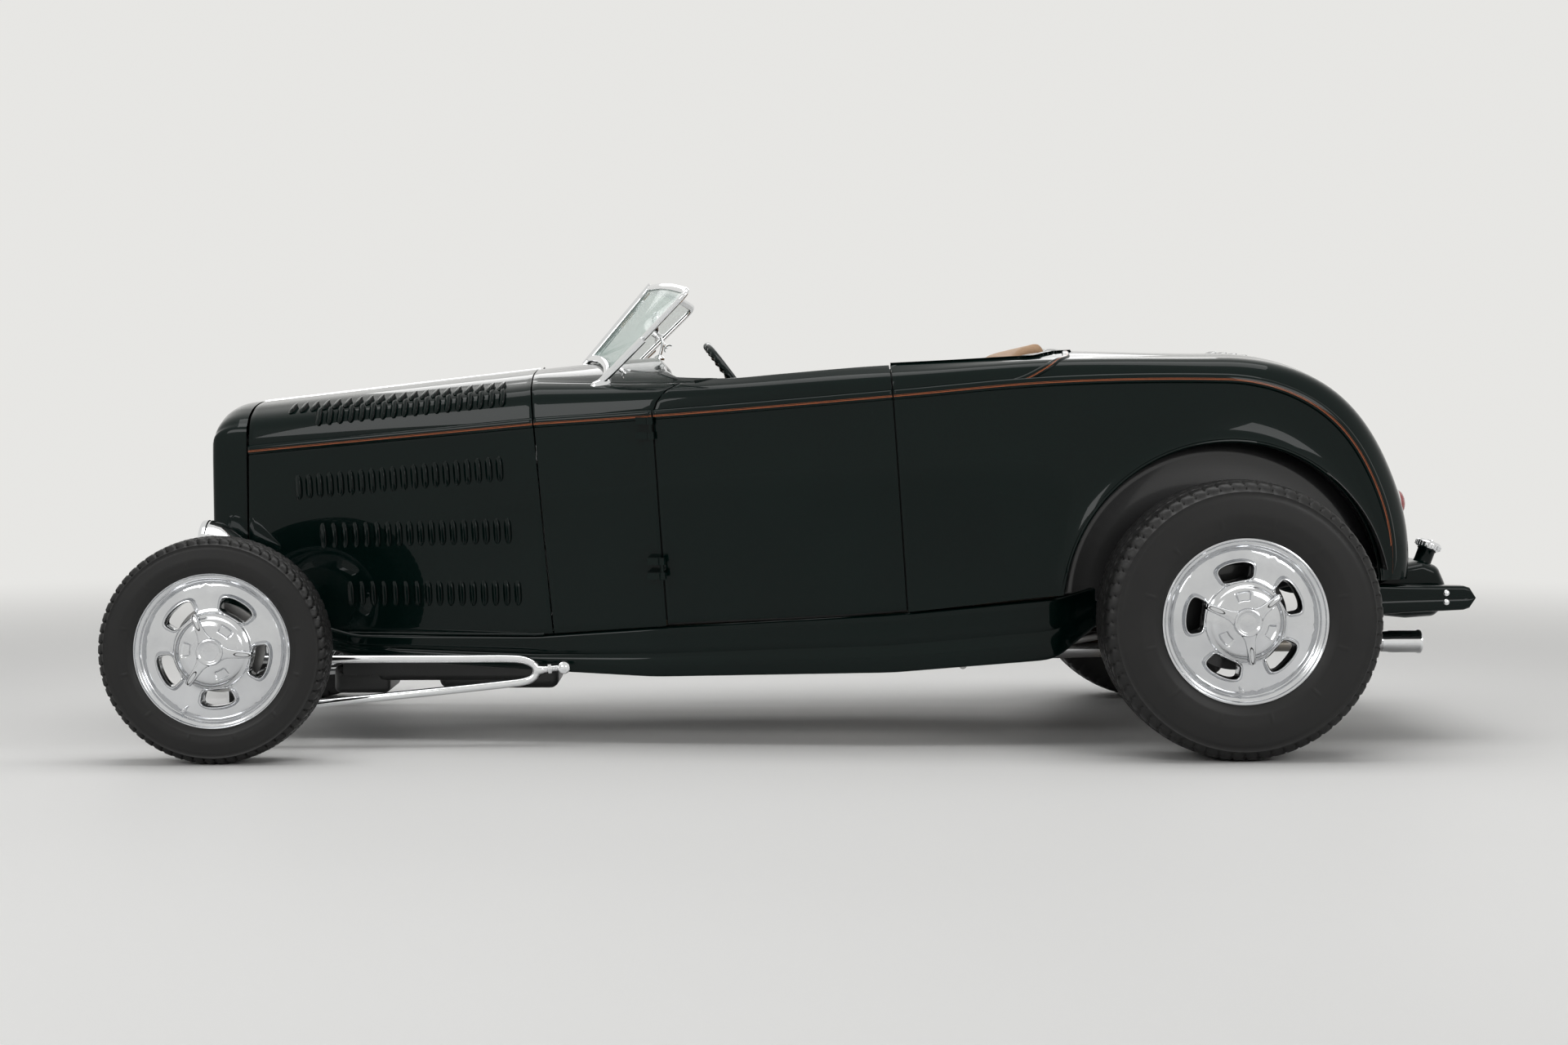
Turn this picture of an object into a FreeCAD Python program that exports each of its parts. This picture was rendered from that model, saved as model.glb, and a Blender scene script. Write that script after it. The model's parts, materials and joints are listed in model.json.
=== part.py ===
import FreeCAD, Part
import math
import os
import re
import Sketcher

# Street rod roadster, millimetres. The car faces -X, its left (driver's) side is -Y, up is +Z.
# The origin is on the ground, on the centreline, half way between its foremost and rearmost points.
Vector = FreeCAD.Vector
doc = FreeCAD.newDocument("roadster")
sheet = doc.addObject("Spreadsheet::Sheet", "dims")

# Driving dimensions: alias, value
dimensions = [
    ("wheelbase", 2692),
    ("rearOverhang", 732),            # rear axle to the end of the rear horns
    ("frontTrack", 1420),             # between the middles of the tyres
    ("rearTrack", 1396),
    ("frontTyreRadius", 297),
    ("frontTyreWidth", 150),
    ("frontRimRadius", 207),
    ("frontRimWidth", 124),
    ("rearTyreRadius", 370),
    ("rearTyreWidth", 224),
    ("rearRimRadius", 220),
    ("rearRimWidth", 198),
    ("rimWall", 7),
    ("tyreWall", 12),
    ("hubRadius", 60),
    ("stubRadius", 20),
    ("runningGap", 0.2),              # round a stub, pin or hinge
    ("seatGap", 0.3),                 # between a piece and what it sits on
    ("panelGap", 5),                  # round doors and lids
    ("bodyWall", 25),
    ("hoodWall", 8),
    ("kingpinHalf", 610),             # kingpin from the centreline
    ("armLength", 130),               # steering arm, kingpin to tie rod
    ("tieRodHeight", 180),
    ("railWidth", 50),
    ("cushionHalf", 440),
    ("seatDepth", 490),
    ("wheelRimRadius", 181),          # steering wheel
    ("archRadius", 445),
    ("wheelHouseHalf", 440),
    ("wheelHouseWall", 8),
    ("mufflerRadius", 50),
    ("pipeRadius", 28),
    ("exhaustHalf", 230),
    ("lampRadius", 89),
    ("hairpinRadius", 11),
    ("hairpinHalf", 462),
    ("glassThickness", 6),
    ("axleTubeRadius", 38),
    ("railEndRadius", 33),
]

# Body sections: name, place, bottom height, bottom half width, belt height, belt half width, shoulder
# height, shoulder half width, top height. Place counts from the front axle for the first one and from
# the rear axle for the others, rearwards.
sectionColumns = ["place", "bottom", "bottomHalf", "belt", "beltHalf", "shoulder", "shoulderHalf", "top"]
bodySections = [
    ("hoodFront", -6, 300, 265, 811, 275, 925, 190, 950),
    ("cowlFront", -1881, 304, 395, 889, 430, 1010, 320, 1046),
    ("doorFront", -1554, 329, 440, 911, 480, 1005, 410, 1078),
    ("doorRear", -903, 369, 500, 965, 545, 1038, 505, 1078),
    ("cockpitRear", -487, 415, 515, 1001, 560, 1068, 480, 1098),
    ("deckRear", -10, 455, 520, 1009, 555, 1072, 440, 1090),
]

# Tail sections, in planes turned about a cross axis: name, angle above level, half width at the root,
# belt radius, belt half width, shoulder radius, shoulder half width, outer radius.
tailColumns = ["angle", "rootHalf", "beltRadius", "beltHalf", "shoulderRadius", "shoulderHalf",
               "outerRadius"]
tailSections = [
    ("tailTop", 90, 540, 554, 555, 617, 440, 635),
    ("tailUpper", 60, 530, 542, 540, 622, 410, 645),
    ("tailLower", 30, 480, 503, 495, 580, 345, 603),
    ("tailEnd", 0, 440, 488, 450, 560, 300, 582),
]

# Frame rail stations: name, distance behind the rear axle, outer half width, bottom height, top height.
railColumns = ["aft", "half", "bottom", "top"]
railStations = [
    ("railCowl", -1881, 390, 203, 303),
    ("railDoor", -1554, 435, 189, 328),
    ("railDoorRear", -903, 494, 205, 368),
    ("railSill", -475, 492, 238, 410),
    ("railKick", -330, 431, 330, 440),
    ("railOver", -170, 431, 450, 540),
    ("railBack", 190, 431, 450, 540),
    ("railDrop", 400, 431, 352, 442),
    ("railHorn", 699, 431, 370, 436),
]

named = list(dimensions)
tables = [(sectionColumns, bodySections), (tailColumns, tailSections), (railColumns, railStations)]
for columns, table in tables:
    for line in table:
        for column, value in zip(columns, line[1:]):
            named.append((line[0] + column.capitalize(), value))

for index, (alias, value) in enumerate(named):
    sheet.set("A%d" % (index + 1), alias)
    sheet.set("B%d" % (index + 1), str(value))
    sheet.setAlias("B%d" % (index + 1), alias)
doc.recompute()
aliases = {alias for alias, value in named}

# Formulas built on the sheet
frontAxle = "(frontTyreRadius - (frontTyreRadius + wheelbase + rearOverhang) / 2)"
rearAxle = "(" + frontAxle + " + wheelbase)"


def bound(text):
    """The formula with each alias pointing at the sheet."""
    def pointed(word):
        return "dims." + word[0] if word[0] in aliases else word[0]

    return re.sub(r"[a-zA-Z]\w*", pointed, str(text))


def number(text):
    return float(sheet.evalExpression(bound(text)))


def row(name, columns):
    return {column: number(name + column.capitalize()) for column in columns}


pieces = []


def keep(label, item):
    item.Label = label
    pieces.append(item)
    return item


def feature(label, shape):
    item = doc.addObject("Part::Feature", label)
    item.Shape = shape
    return keep(label, item)


def mirrored(label, source):
    """The same piece on the other side of the centreline."""
    item = doc.addObject("Part::Mirroring", label)
    item.Source = source
    item.Normal = (0, 1, 0)
    return keep(label, item)


def newBody(label):
    return keep(label, doc.addObject("PartDesign::Body", label))


def sketchOn(owner, role, lift="0"):
    """A sketch on one of the body's own origin planes, lifted along its normal."""
    sketch = owner.newObject("Sketcher::SketchObject", owner.Name + "Sketch")
    plane = [item for item in owner.Origin.OriginFeatures if item.Role == role][0]
    sketch.AttachmentSupport = [(plane, "")]
    sketch.MapMode = "FlatFace"
    sketch.setExpression("AttachmentOffset.Base.z", bound(lift))
    return sketch


def polygonIn(sketch, corners):
    """A closed outline whose corners are formulas."""
    first = sketch.GeometryCount
    values = [(number(across), number(up)) for across, up in corners]
    count = len(corners)
    for index, (across, up) in enumerate(values):
        ahead = values[(index + 1) % count]
        sketch.addGeometry(Part.LineSegment(Vector(across, up, 0), Vector(ahead[0], ahead[1], 0)))
    for index in range(count):
        ahead = first + (index + 1) % count
        sketch.addConstraint(Sketcher.Constraint("Coincident", first + index, 2, ahead, 1))
    for index, corner in enumerate(corners):
        for kind, formula in zip(("DistanceX", "DistanceY"), corner):
            distance = Sketcher.Constraint(kind, -1, 1, first + index, 1, number(formula))
            sketch.setExpression("Constraints[%d]" % sketch.addConstraint(distance), bound(formula))


def padOf(owner, sketch, length):
    """A pad to both sides of the sketch."""
    pad = owner.newObject("PartDesign::Pad", owner.Name + "Pad")
    pad.Profile = sketch
    pad.Midplane = True
    pad.setExpression("Length", bound(length))
    return pad


def pocketOf(owner, sketch, length):
    """A pocket to both sides of the sketch."""
    pocket = owner.newObject("PartDesign::Pocket", owner.Name + "Pocket")
    pocket.Profile = sketch
    pocket.Midplane = True
    pocket.setExpression("Length", bound(length))
    return pocket


def revolutionOf(owner, sketch):
    turned = owner.newObject("PartDesign::Revolution", owner.Name + "Turned")
    turned.Profile = sketch
    turned.ReferenceAxis = (sketch, ["V_Axis"])
    turned.Angle = 360
    return turned


def moveTo(item, x="0", y="0", z="0"):
    for letter, formula in zip("xyz", (x, y, z)):
        item.setExpression("Placement.Base." + letter, bound(formula))


def turn(item, direction, angle):
    item.Placement.Rotation = FreeCAD.Rotation(Vector(*direction), angle)


def rod(start, end, radius):
    start, end = Vector(*start), Vector(*end)
    return Part.makeCylinder(radius, (end - start).Length, start, end - start)


def block(low, high):
    low, high = Vector(*low), Vector(*high)
    size = high - low
    return Part.makeBox(size.x, size.y, size.z, low)


def fused(shapes):
    whole = shapes[0].fuse(shapes[1:]) if len(shapes) > 1 else shapes[0]
    return whole.removeSplitter()


def tubePath(points, bends, radius):
    """A tube along straight runs that tangent arcs join."""
    points = [Vector(*point) for point in points]
    edges = []
    start = points[0]
    for corner, ahead, bend in zip(points[1:-1], points[2:], bends):
        into = (corner - start).normalize()
        out = (ahead - corner).normalize()
        angle = into.getAngle(out)
        reach = bend * math.tan(angle / 2)
        first = corner - into * reach
        last = corner + out * reach
        centre = first + (out - into * math.cos(angle)).normalize() * bend
        middle = centre + (corner - centre).normalize() * bend
        edges.append(Part.LineSegment(start, first).toShape())
        edges.append(Part.Arc(first, middle, last).toShape())
        start = last
    edges.append(Part.LineSegment(start, points[-1]).toShape())
    path = Part.Wire(edges)
    direction = (points[1] - points[0]).normalize()
    profile = Part.Wire([Part.Circle(points[0], direction, radius).toShape()])
    return path.makePipeShell([profile], True, False)


def sidePrism(corners, low, high):
    """A prism along Y over an outline of (x, z) corners."""
    points = [Vector(x, low, z) for x, z in corners]
    face = Part.Face(Part.makePolygon(points + points[:1]))
    return face.extrude(Vector(0, high - low, 0))


def planPrism(corners, low, high):
    """A prism along Z over an outline of (x, y) corners."""
    points = [Vector(x, y, low) for x, y in corners]
    face = Part.Face(Part.makePolygon(points + points[:1]))
    return face.extrude(Vector(0, 0, high - low))


def biggest(shape, count=1):
    """The biggest solid, or a compound of the few biggest."""
    solids = sorted(shape.Solids, key=lambda solid: -solid.Volume)
    return solids[0] if count == 1 else Part.makeCompound(solids[:count])


def upright(x, y, low, high, radius):
    """A cylinder along Z."""
    return Part.makeCylinder(radius, high - low, Vector(x, y, low))


def otherSide(shape):
    return shape.mirror(Vector(0, 0, 0), Vector(0, 1, 0))


def onBothSides(shape):
    return Part.makeCompound([shape, otherSide(shape)])


fx = number(frontAxle)
rx = number(rearAxle)
gap = number("panelGap")
wall = number("bodyWall")
hoodWall = number("hoodWall")
seat = number("seatGap")
sections = {name[0]: row(name[0], sectionColumns) for name in bodySections}
tails = {name[0]: row(name[0], tailColumns) for name in tailSections}
rails = {name[0]: row(name[0], railColumns) for name in railStations}


# Wheels and tyres, turned about their own Z, outer face up

def wheelBody(label, rimRadius, rimWidth, discPlace, hubFace):
    wheel = newBody(label)
    half = "(%s / 2)" % rimWidth
    seatRadius = rimRadius + " - 16"
    inside = seatRadius + " - rimWall"
    corners = [
        (rimRadius, "-" + half), (rimRadius, "6 - " + half), (seatRadius, "10 - " + half),
        (seatRadius, half + " - 10"), (rimRadius, half + " - 6"), (rimRadius, half),
        (rimRadius + " - rimWall", half), (inside, half + " - 14"), (inside, discPlace + " + 4"),
        (rimRadius + " * 0.8", discPlace + " + 12"), (rimRadius + " * 0.56", discPlace),
        (rimRadius + " * 0.52", discPlace + " + 10"), (rimRadius + " * 0.2", hubFace), ("0", hubFace),
        ("0", discPlace + " - 4"), ("stubRadius + runningGap", discPlace + " - 4"),
        ("stubRadius + runningGap", "-10"), ("hubRadius", "-10"), ("hubRadius", discPlace + " - 14"),
        (rimRadius + " * 0.56", discPlace + " - 14"), (rimRadius + " * 0.8", discPlace),
        (inside, discPlace + " - 8"), (inside, "14 - " + half), (rimRadius + " - rimWall", "-" + half),
    ]
    profile = sketchOn(wheel, "XZ_Plane")
    polygonIn(profile, corners)
    revolutionOf(wheel, profile)
    windows = sketchOn(wheel, "XY_Plane")
    shares = [("0.6", "-0.17"), ("0.79", "-0.22"), ("0.79", "0.22"), ("0.6", "0.17")]
    polygonIn(windows, [(rimRadius + " * " + out, rimRadius + " * " + across) for out, across in shares])
    window = pocketOf(wheel, windows, rimWidth + " * 2")
    pattern = wheel.newObject("PartDesign::PolarPattern", label + "Windows")
    pattern.Originals = [window]
    pattern.Axis = (windows, ["N_Axis"])
    pattern.Angle = 360
    pattern.Occurrences = 5
    wheel.Tip = pattern
    return wheel


def tyreBody(label, tyreRadius, tyreWidth, rimRadius, rimWidth):
    tyre = newBody(label)
    half = "(%s / 2)" % tyreWidth
    rimHalf = "(%s / 2)" % rimWidth
    outer = [
        (rimRadius + " - 16 + seatGap", rimHalf + " - 12 - tyreWall"),
        (rimRadius + " - 16 + seatGap", rimHalf + " - 12"),
        (rimRadius + " + 4", rimHalf + " - 10"),
        ("(%s + %s) / 2 - 6" % (rimRadius, tyreRadius), half),
        ("%s * 0.25 + %s * 0.75" % (rimRadius, tyreRadius), half + " - 3"),
        (tyreRadius + " - 9", half + " - 22"),
        (tyreRadius, half + " - 42"),
    ]
    inner = [
        (tyreRadius + " - tyreWall * 1.5", half + " - 42"),
        ("(%s + %s) / 2" % (rimRadius, tyreRadius), half + " - tyreWall"),
        (rimRadius + " + 2", rimHalf + " - 10 - tyreWall"),
    ]

    def below(points):
        return [(radius, "-(%s)" % place) for radius, place in reversed(points)]

    profile = sketchOn(tyre, "XZ_Plane")
    polygonIn(profile, outer + below(outer) + below(inner) + inner)
    revolutionOf(tyre, profile)
    return tyre


# Axle, place, track, and the heights of the disc and the hub face over the wheel's middle
axles = [("front", frontAxle, "frontTrack", "28", "52"), ("rear", rearAxle, "rearTrack", "58", "88")]
for axle, place, track, discPlace, hubFace in axles:
    rimRadius, rimWidth = axle + "RimRadius", axle + "RimWidth"
    tyreRadius, tyreWidth = axle + "TyreRadius", axle + "TyreWidth"
    for side, sign in (("left", -1), ("right", 1)):
        wheel = wheelBody("%s_wheel_%s" % (axle, side), rimRadius, rimWidth, discPlace, hubFace)
        tyre = tyreBody("%s_tyre_%s" % (axle, side), tyreRadius, tyreWidth, rimRadius, rimWidth)
        for item in (wheel, tyre):
            turn(item, (1, 0, 0), -90 * sign)
            moveTo(item, place, "%d * %s / 2" % (sign, track), tyreRadius)

# Frame rails: a loft through upright rectangles

railPlaces = {name: rx + rail["aft"] for name, rail in rails.items()}
horn = {"aft": fx - 154, "half": 262, "bottom": 302, "top": 356}
frontRail = {"aft": fx, "half": 288, "bottom": 305, "top": 362}
noseRail = {"aft": fx + 300, "half": 325, "bottom": 232, "top": 300 - seat}


def railSection(place, rail):
    inner = rail["half"] - number("railWidth")
    top = rail["top"] - seat
    corners = [(inner, rail["bottom"]), (rail["half"], rail["bottom"]), (rail["half"], top), (inner, top)]
    points = [Vector(place, -across, up) for across, up in corners]
    return Part.makePolygon(points + points[:1])


railWires = [railSection(rail["aft"], rail) for rail in (horn, frontRail, noseRail)]
railWires += [railSection(railPlaces[name[0]], rails[name[0]]) for name in railStations]
hornRail = rails["railHorn"]
hornMiddle = (hornRail["bottom"] + hornRail["top"]) / 2
hornInner = hornRail["half"] - number("railWidth")
railLoft = Part.makeLoft(railWires, True, True)
mirroredRail = otherSide(railLoft)
hornPlace = railPlaces["railHorn"]
hornCap = rod((hornPlace, -hornRail["half"], hornMiddle), (hornPlace, -hornInner, hornMiddle),
              number("railEndRadius"))
frameLeft = feature("frame_rail_left", fused([railLoft, hornCap]))
mirrored("frame_rail_right", frameLeft)


def clearOfRails(shape):
    return shape.cut(railLoft).cut(mirroredRail)

# Cross members and spreader bars

crossLow = 306
crossTop = 345
crossHalf = 260
barRadius = 16
frontCross = biggest(clearOfRails(block((fx - 45, -crossHalf, crossLow), (fx + 45, crossHalf, crossTop))))
frontBar = rod((fx - 140, -240, 329), (fx - 140, 240, 329), barRadius)
frontBar = biggest(clearOfRails(frontBar))
overInner = rails["railOver"]["half"] - number("railWidth") - seat
rearCrossLow = 500
rearCross = block((rx - 40, -overInner, rearCrossLow), (rx + 40, overInner, rearCrossLow + 34))

# The centre cross member: four legs out to the rails, and a pad slung under the gearbox
centreAt = rx - 1200
legLow = 296
legTop = 318
legRoot = 130
railAhead = 398
railBehind = 432
padHeight = 172
padThick = 10
postHalf = 10
legs = []
for side in (-1, 1):
    for ahead, railAt in ((-1, railAhead), (1, railBehind)):
        corners = [(0, legRoot), (ahead * 60, legRoot), (ahead * 440, railAt), (ahead * 340, railAt)]
        legs.append(planPrism([(centreAt + aft, side * half) for aft, half in corners], legLow, legTop))
centreBar = block((centreAt - 50, -150, padHeight), (centreAt + 50, 150, padHeight + padThick))
posts = [block((centreAt - 50, middle - postHalf, padHeight), (centreAt + 50, middle + postHalf, legTop))
         for middle in (-140, 140)]
centreCross = biggest(clearOfRails(fused(legs + [centreBar] + posts)))
rearBar = rod((hornPlace, seat - hornInner, hornMiddle), (hornPlace, hornInner - seat, hornMiddle), barRadius)
feature("crossmembers", Part.makeCompound([frontCross, centreCross, rearCross]))
feature("spreader_bars", Part.makeCompound([frontBar, rearBar]))

# Front axle, spring, knuckles, steering links, hairpins

pin = number("kingpinHalf")
frontRadius = number("frontTyreRadius")
bossLow = frontRadius - 45
bossTop = frontRadius + 35
bossRadius = 28
pinRadius = 11
pinFit = number("runningGap")
beamThick = 44
perch = 262                           # top of the posts that the spring's ends sit on
beamHalf = [(0, 185), (420, 185), (pin - 60, bossLow), (pin, bossLow), (pin, bossTop), (pin - 70, bossTop),
            (440, 235), (420, 235), (420, perch), (385, perch), (385, 230), (0, 230)]
beamFront = fx - beamThick / 2
beamRight = [Vector(beamFront, across, up) for across, up in beamHalf]
beamLeft = [Vector(beamFront, -across, up) for across, up in reversed(beamHalf[1:-1])]
beam = Part.Face(Part.makePolygon(beamRight + beamLeft + beamRight[:1])).extrude(Vector(beamThick, 0, 0))
hairpinHalf = number("hairpinHalf")
batwingHalf = 9
batwingLow = 92
bosses = []
batwings = []
for side in (-1, 1):
    bosses.append(upright(fx, side * pin, bossLow, bossTop, bossRadius))
    batwings.append(block((fx - 30, side * hairpinHalf - batwingHalf, batwingLow),
                          (fx + 30, side * hairpinHalf + batwingHalf, perch)))
frontAxleShape = fused([beam] + bosses + batwings)
for side in (-1, 1):
    pinHole = upright(fx, side * pin, frontRadius - 150, frontRadius + 150, pinRadius + pinFit)
    frontAxleShape = frontAxleShape.cut(pinHole)
feature("front_axle", frontAxleShape)

springHalf = 410
springLow = perch + seat
springHigh = 276


def springPoint(across, up):
    return Vector(beamFront, across, up)


springLowArc = Part.Arc(springPoint(-springHalf, springLow), springPoint(0, springHigh),
                        springPoint(springHalf, springLow))
springTopArc = Part.Arc(springPoint(springHalf, springHigh), springPoint(0, crossLow - seat),
                        springPoint(-springHalf, springHigh))
rightEnd = Part.LineSegment(springPoint(springHalf, springLow), springPoint(springHalf, springHigh))
leftEnd = Part.LineSegment(springPoint(-springHalf, springHigh), springPoint(-springHalf, springLow))
springWire = Part.Wire([edge.toShape() for edge in (springLowArc, rightEnd, springTopArc, leftEnd)])
feature("front_spring", Part.Face(springWire).extrude(Vector(beamThick, 0, 0)))

stub = number("stubRadius")
arm = number("armLength")
tieHeight = number("tieRodHeight")
frontHalf = number("frontTrack") / 2
earGap = 1                            # between the knuckle's ears and the axle's boss
earThick = 22
earTop = bossTop + earGap
earLow = bossLow - earGap
armThick = 16
armLow = tieHeight + 12
linkPin = 6
armEnd = fx + arm
knuckleParts = [
    rod((fx, -pin, frontRadius - 75), (fx, -pin, frontRadius + 65), pinRadius),
    upright(fx, -pin, earTop, earTop + earThick, bossRadius),
    upright(fx, -pin, earLow - earThick, earLow, bossRadius),
    block((fx - 26, -pin - 52, earLow - earThick), (fx + 26, -pin - 34, earTop + earThick)),
    block((fx - 26, -pin - 40, earTop), (fx + 26, -pin, earTop + earThick)),
    block((fx - 26, -pin - 40, earLow - earThick), (fx + 26, -pin, earLow)),
    rod((fx, -pin - 52, frontRadius), (fx, -pin - 62, frontRadius), 118),
    rod((fx, -pin - 50, frontRadius), (fx, -frontHalf - 20, frontRadius), stub),
    block((fx - 10, -pin - 22, armLow), (fx + 26, -pin + 12, earLow)),
    block((fx - 10, -pin - 14, armLow), (armEnd + 18, -pin + 14, armLow + armThick)),
    rod((armEnd, -pin, tieHeight - 12), (armEnd, -pin, tieHeight + 43), linkPin),
]
knuckleLeft = feature("knuckle_left", fused(knuckleParts))
mirrored("knuckle_right", knuckleLeft)

tieEnd = 15
tieParts = [rod((armEnd, -pin, tieHeight), (armEnd, pin, tieHeight), 11)]
tieParts += [upright(armEnd, side * pin, tieHeight - 10, tieHeight + 10, tieEnd) for side in (-1, 1)]
tieRod = fused(tieParts)
for side in (-1, 1):
    tieRod = tieRod.cut(upright(armEnd, side * pin, tieHeight - 30, tieHeight + 30, linkPin + pinFit))
feature("tie_rod", tieRod)

hairpinTop = 244
hairpinLow = 104
eyeHeight = 219
hairpinAt = -hairpinHalf
bendAt = fx + 812
bendHalf = hairpinAt + 6
eyeAt = fx + 890
eyeMiddle = hairpinAt + 12
eyeHalf = 14
hairRadius = number("hairpinRadius")
tubeStart = fx + 30 + seat
upperTube = tubePath([(tubeStart, hairpinAt, hairpinTop), (bendAt - 60, hairpinAt, hairpinTop),
                      (bendAt, bendHalf, eyeHeight)], [60], hairRadius)
lowerTube = tubePath([(tubeStart, hairpinAt, hairpinLow), (bendAt - 40, hairpinAt, 182),
                      (bendAt, bendHalf, eyeHeight)], [60], hairRadius)
rodEnd = rod((bendAt - 8, bendHalf, eyeHeight), (eyeAt, eyeMiddle, eyeHeight), 12)
eye = rod((eyeAt, eyeMiddle - eyeHalf, eyeHeight), (eyeAt, eyeMiddle + eyeHalf, eyeHeight), 20)
hanger = rod((eyeAt, eyeMiddle + eyeHalf - 2, eyeHeight), (eyeAt, -rails["railCowl"]["half"], eyeHeight), 9)
hairpin = fused([upperTube, lowerTube, rodEnd, eye, hanger])
hairpin = hairpin.cut(railLoft).cut(frontAxleShape)
feature("hairpins", onBothSides(hairpin))

# Rear axle, ladder bars with coil-overs, driveshaft

rearRadius = number("rearTyreRadius")
rearHalf = number("rearTrack") / 2
tube = number("axleTubeRadius")
drumRadius = 140
drumWidth = 50
drumAt = rearHalf - 88
housingRadius = 122
housingHalf = 115
noseAt = rx - 230
noseHeight = rearRadius - 30
axleTube = rod((rx, -rearHalf + 60, rearRadius), (rx, rearHalf - 60, rearRadius), tube)
rearStubs = rod((rx, -rearHalf - 50, rearRadius), (rx, rearHalf + 50, rearRadius), stub)
housing = Part.makeSphere(housingRadius, Vector(rx, 0, rearRadius)).common(
    block((rx - 150, -housingHalf, rearRadius - 140), (rx + 150, housingHalf, rearRadius + 140)))
nose = rod((noseAt, 0, noseHeight), (rx, 0, rearRadius), 55)
drums = [rod((rx, side * drumAt, rearRadius), (rx, side * (drumAt + drumWidth), rearRadius), drumRadius)
         for side in (-1, 1)]
feature("rear_axle", fused([axleTube, rearStubs, housing, nose] + drums))

barHalf = 320
barThick = 14
barFront = rx - 700
barHeight = 222
barBack = rx - tube - seat - barThick
strutAt = rx - 705
inboard = rails["railDoorRear"]["half"] - number("railWidth")
suspension = []
for side in (-1, 1):
    middle = side * barHalf
    front = (barFront, middle, barHeight)
    unit = fused([
        rod(front, (barBack, middle, rearRadius - 30), barThick),
        rod(front, (barBack, middle, rearRadius + 30), barThick),
        block((rx - tube - 30, middle - 15, rearRadius - 46), (rx + tube + 8, middle + 15, rearRadius + 46)),
        rod((rx, middle, rearRadius + 40), (rx, middle, rearCrossLow - seat), 30),
        block((barFront - 20, middle - 10, 205), (barFront + 10, middle + 10, 240)),
        rod((strutAt, middle, barHeight), (strutAt, side * inboard, barHeight), 12),
    ])
    suspension.append(biggest(clearOfRails(unit.cut(axleTube))))
feature("rear_suspension", Part.makeCompound(suspension))
gearboxEnd = rx - 1150
shaftGap = 4.5
shaftStart = (gearboxEnd + shaftGap, 0, 240)
shaftEnd = (noseAt - shaftGap, 0, noseHeight)
feature("driveshaft", rod(shaftStart, shaftEnd, 36))

# Engine with gearbox, exhaust, tank

engineBack = rx - 1885
engineHalf = 240
engine = fused([block((engineBack - 610, -engineHalf, 290), (engineBack - 4, engineHalf, 770)),
                block((engineBack - 570, -150, 165), (engineBack - 4, 150, 300)),
                block((engineBack - 10, -120, 185), (gearboxEnd, 120, 296))])
feature("engine_block", engine)

pipe = number("pipeRadius")
pipeAt = -number("exhaustHalf")
headerAt = -276
mufflerHeight = 243
tipHeight = 263
tipAt = rx + 627
tipRadius = 31
tipLength = 90
muffler = rod((rx - 1230, pipeAt, mufflerHeight), (rx - 850, pipeAt, mufflerHeight), number("mufflerRadius"))
pipePath = tubePath([(engineBack - 200, headerAt, 560), (engineBack - 160, headerAt, 330),
                     (engineBack + 120, pipeAt, mufflerHeight + 5), (rx - 1200, pipeAt, mufflerHeight)],
                    [70, 120], pipe)
tailPath = tubePath([(rx - 860, pipeAt, mufflerHeight), (rx - 500, pipeAt, mufflerHeight),
                     (rx + 200, pipeAt, tipHeight), (tipAt - 1, pipeAt, tipHeight)], [400, 400], pipe)
header = block((engineBack - 520, headerAt - 8, 520), (engineBack - 150, -engineHalf, 600))
tipSleeve = rod((tipAt - tipLength, pipeAt, tipHeight), (tipAt, pipeAt, tipHeight), tipRadius)
exhaustLeft = fused([muffler, pipePath, tailPath, header, tipSleeve]).cut(engine)
feature("exhaust_pipes", onBothSides(exhaustLeft))

tankFront = rx + 400
tankBack = hornPlace - barRadius - 12
tankHalf = 360
tank = sidePrism([(tankFront, 352), (tankBack - 20, 335), (tankBack, 360), (tankBack, 405),
                  (tankBack - 60, 440), (tankFront, 446)], -tankHalf, tankHalf)
earSide = [(tankFront + 40, 370), (tankBack - 60, 375), (tankBack - 60, 430), (tankFront + 40, 440)]
tankEar = sidePrism(earSide, tankHalf - 10, hornInner - seat)
neckFoot = Vector(tankBack - 75, -280, 400)
neckLean = math.radians(25)
neckLength = 130
neckUp = Vector(math.sin(neckLean), 0, math.cos(neckLean))
neck = Part.makeCylinder(24, neckLength, neckFoot, neckUp)
cap = Part.makeCylinder(34, 22, neckFoot + neckUp * neckLength, neckUp)
feature("fuel_tank", fused([tank, tankEar, otherSide(tankEar), neck, cap]))

# Body: one outer form, an inner form a wall inside it, cut into panels


def bodyWire(place, section, inset, drop):
    half, belt, shoulder = section["bottomHalf"], section["beltHalf"], section["shoulderHalf"]
    bottom, top = section["bottom"] - drop, section["top"] - inset
    half, belt, shoulder = half - inset, belt - inset, shoulder - inset * 0.7
    beltUp, shoulderUp = section["belt"] - inset * 0.3, section["shoulder"] - inset
    middle = (belt - (belt - shoulder) * 0.22, beltUp + (shoulderUp - beltUp) * 0.68)

    def point(across, up):
        return Vector(place, across, up)

    edges = [
        Part.LineSegment(point(-half, bottom), point(half, bottom)),
        Part.LineSegment(point(half, bottom), point(belt, beltUp)),
        Part.Arc(point(belt, beltUp), point(*middle), point(shoulder, shoulderUp)),
        Part.Arc(point(shoulder, shoulderUp), point(0, top), point(-shoulder, shoulderUp)),
        Part.Arc(point(-shoulder, shoulderUp), point(-middle[0], middle[1]), point(-belt, beltUp)),
        Part.LineSegment(point(-belt, beltUp), point(-half, bottom)),
    ]
    return Part.Wire([edge.toShape() for edge in edges])


hoodFrontAt = fx + sections["hoodFront"]["place"]


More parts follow.
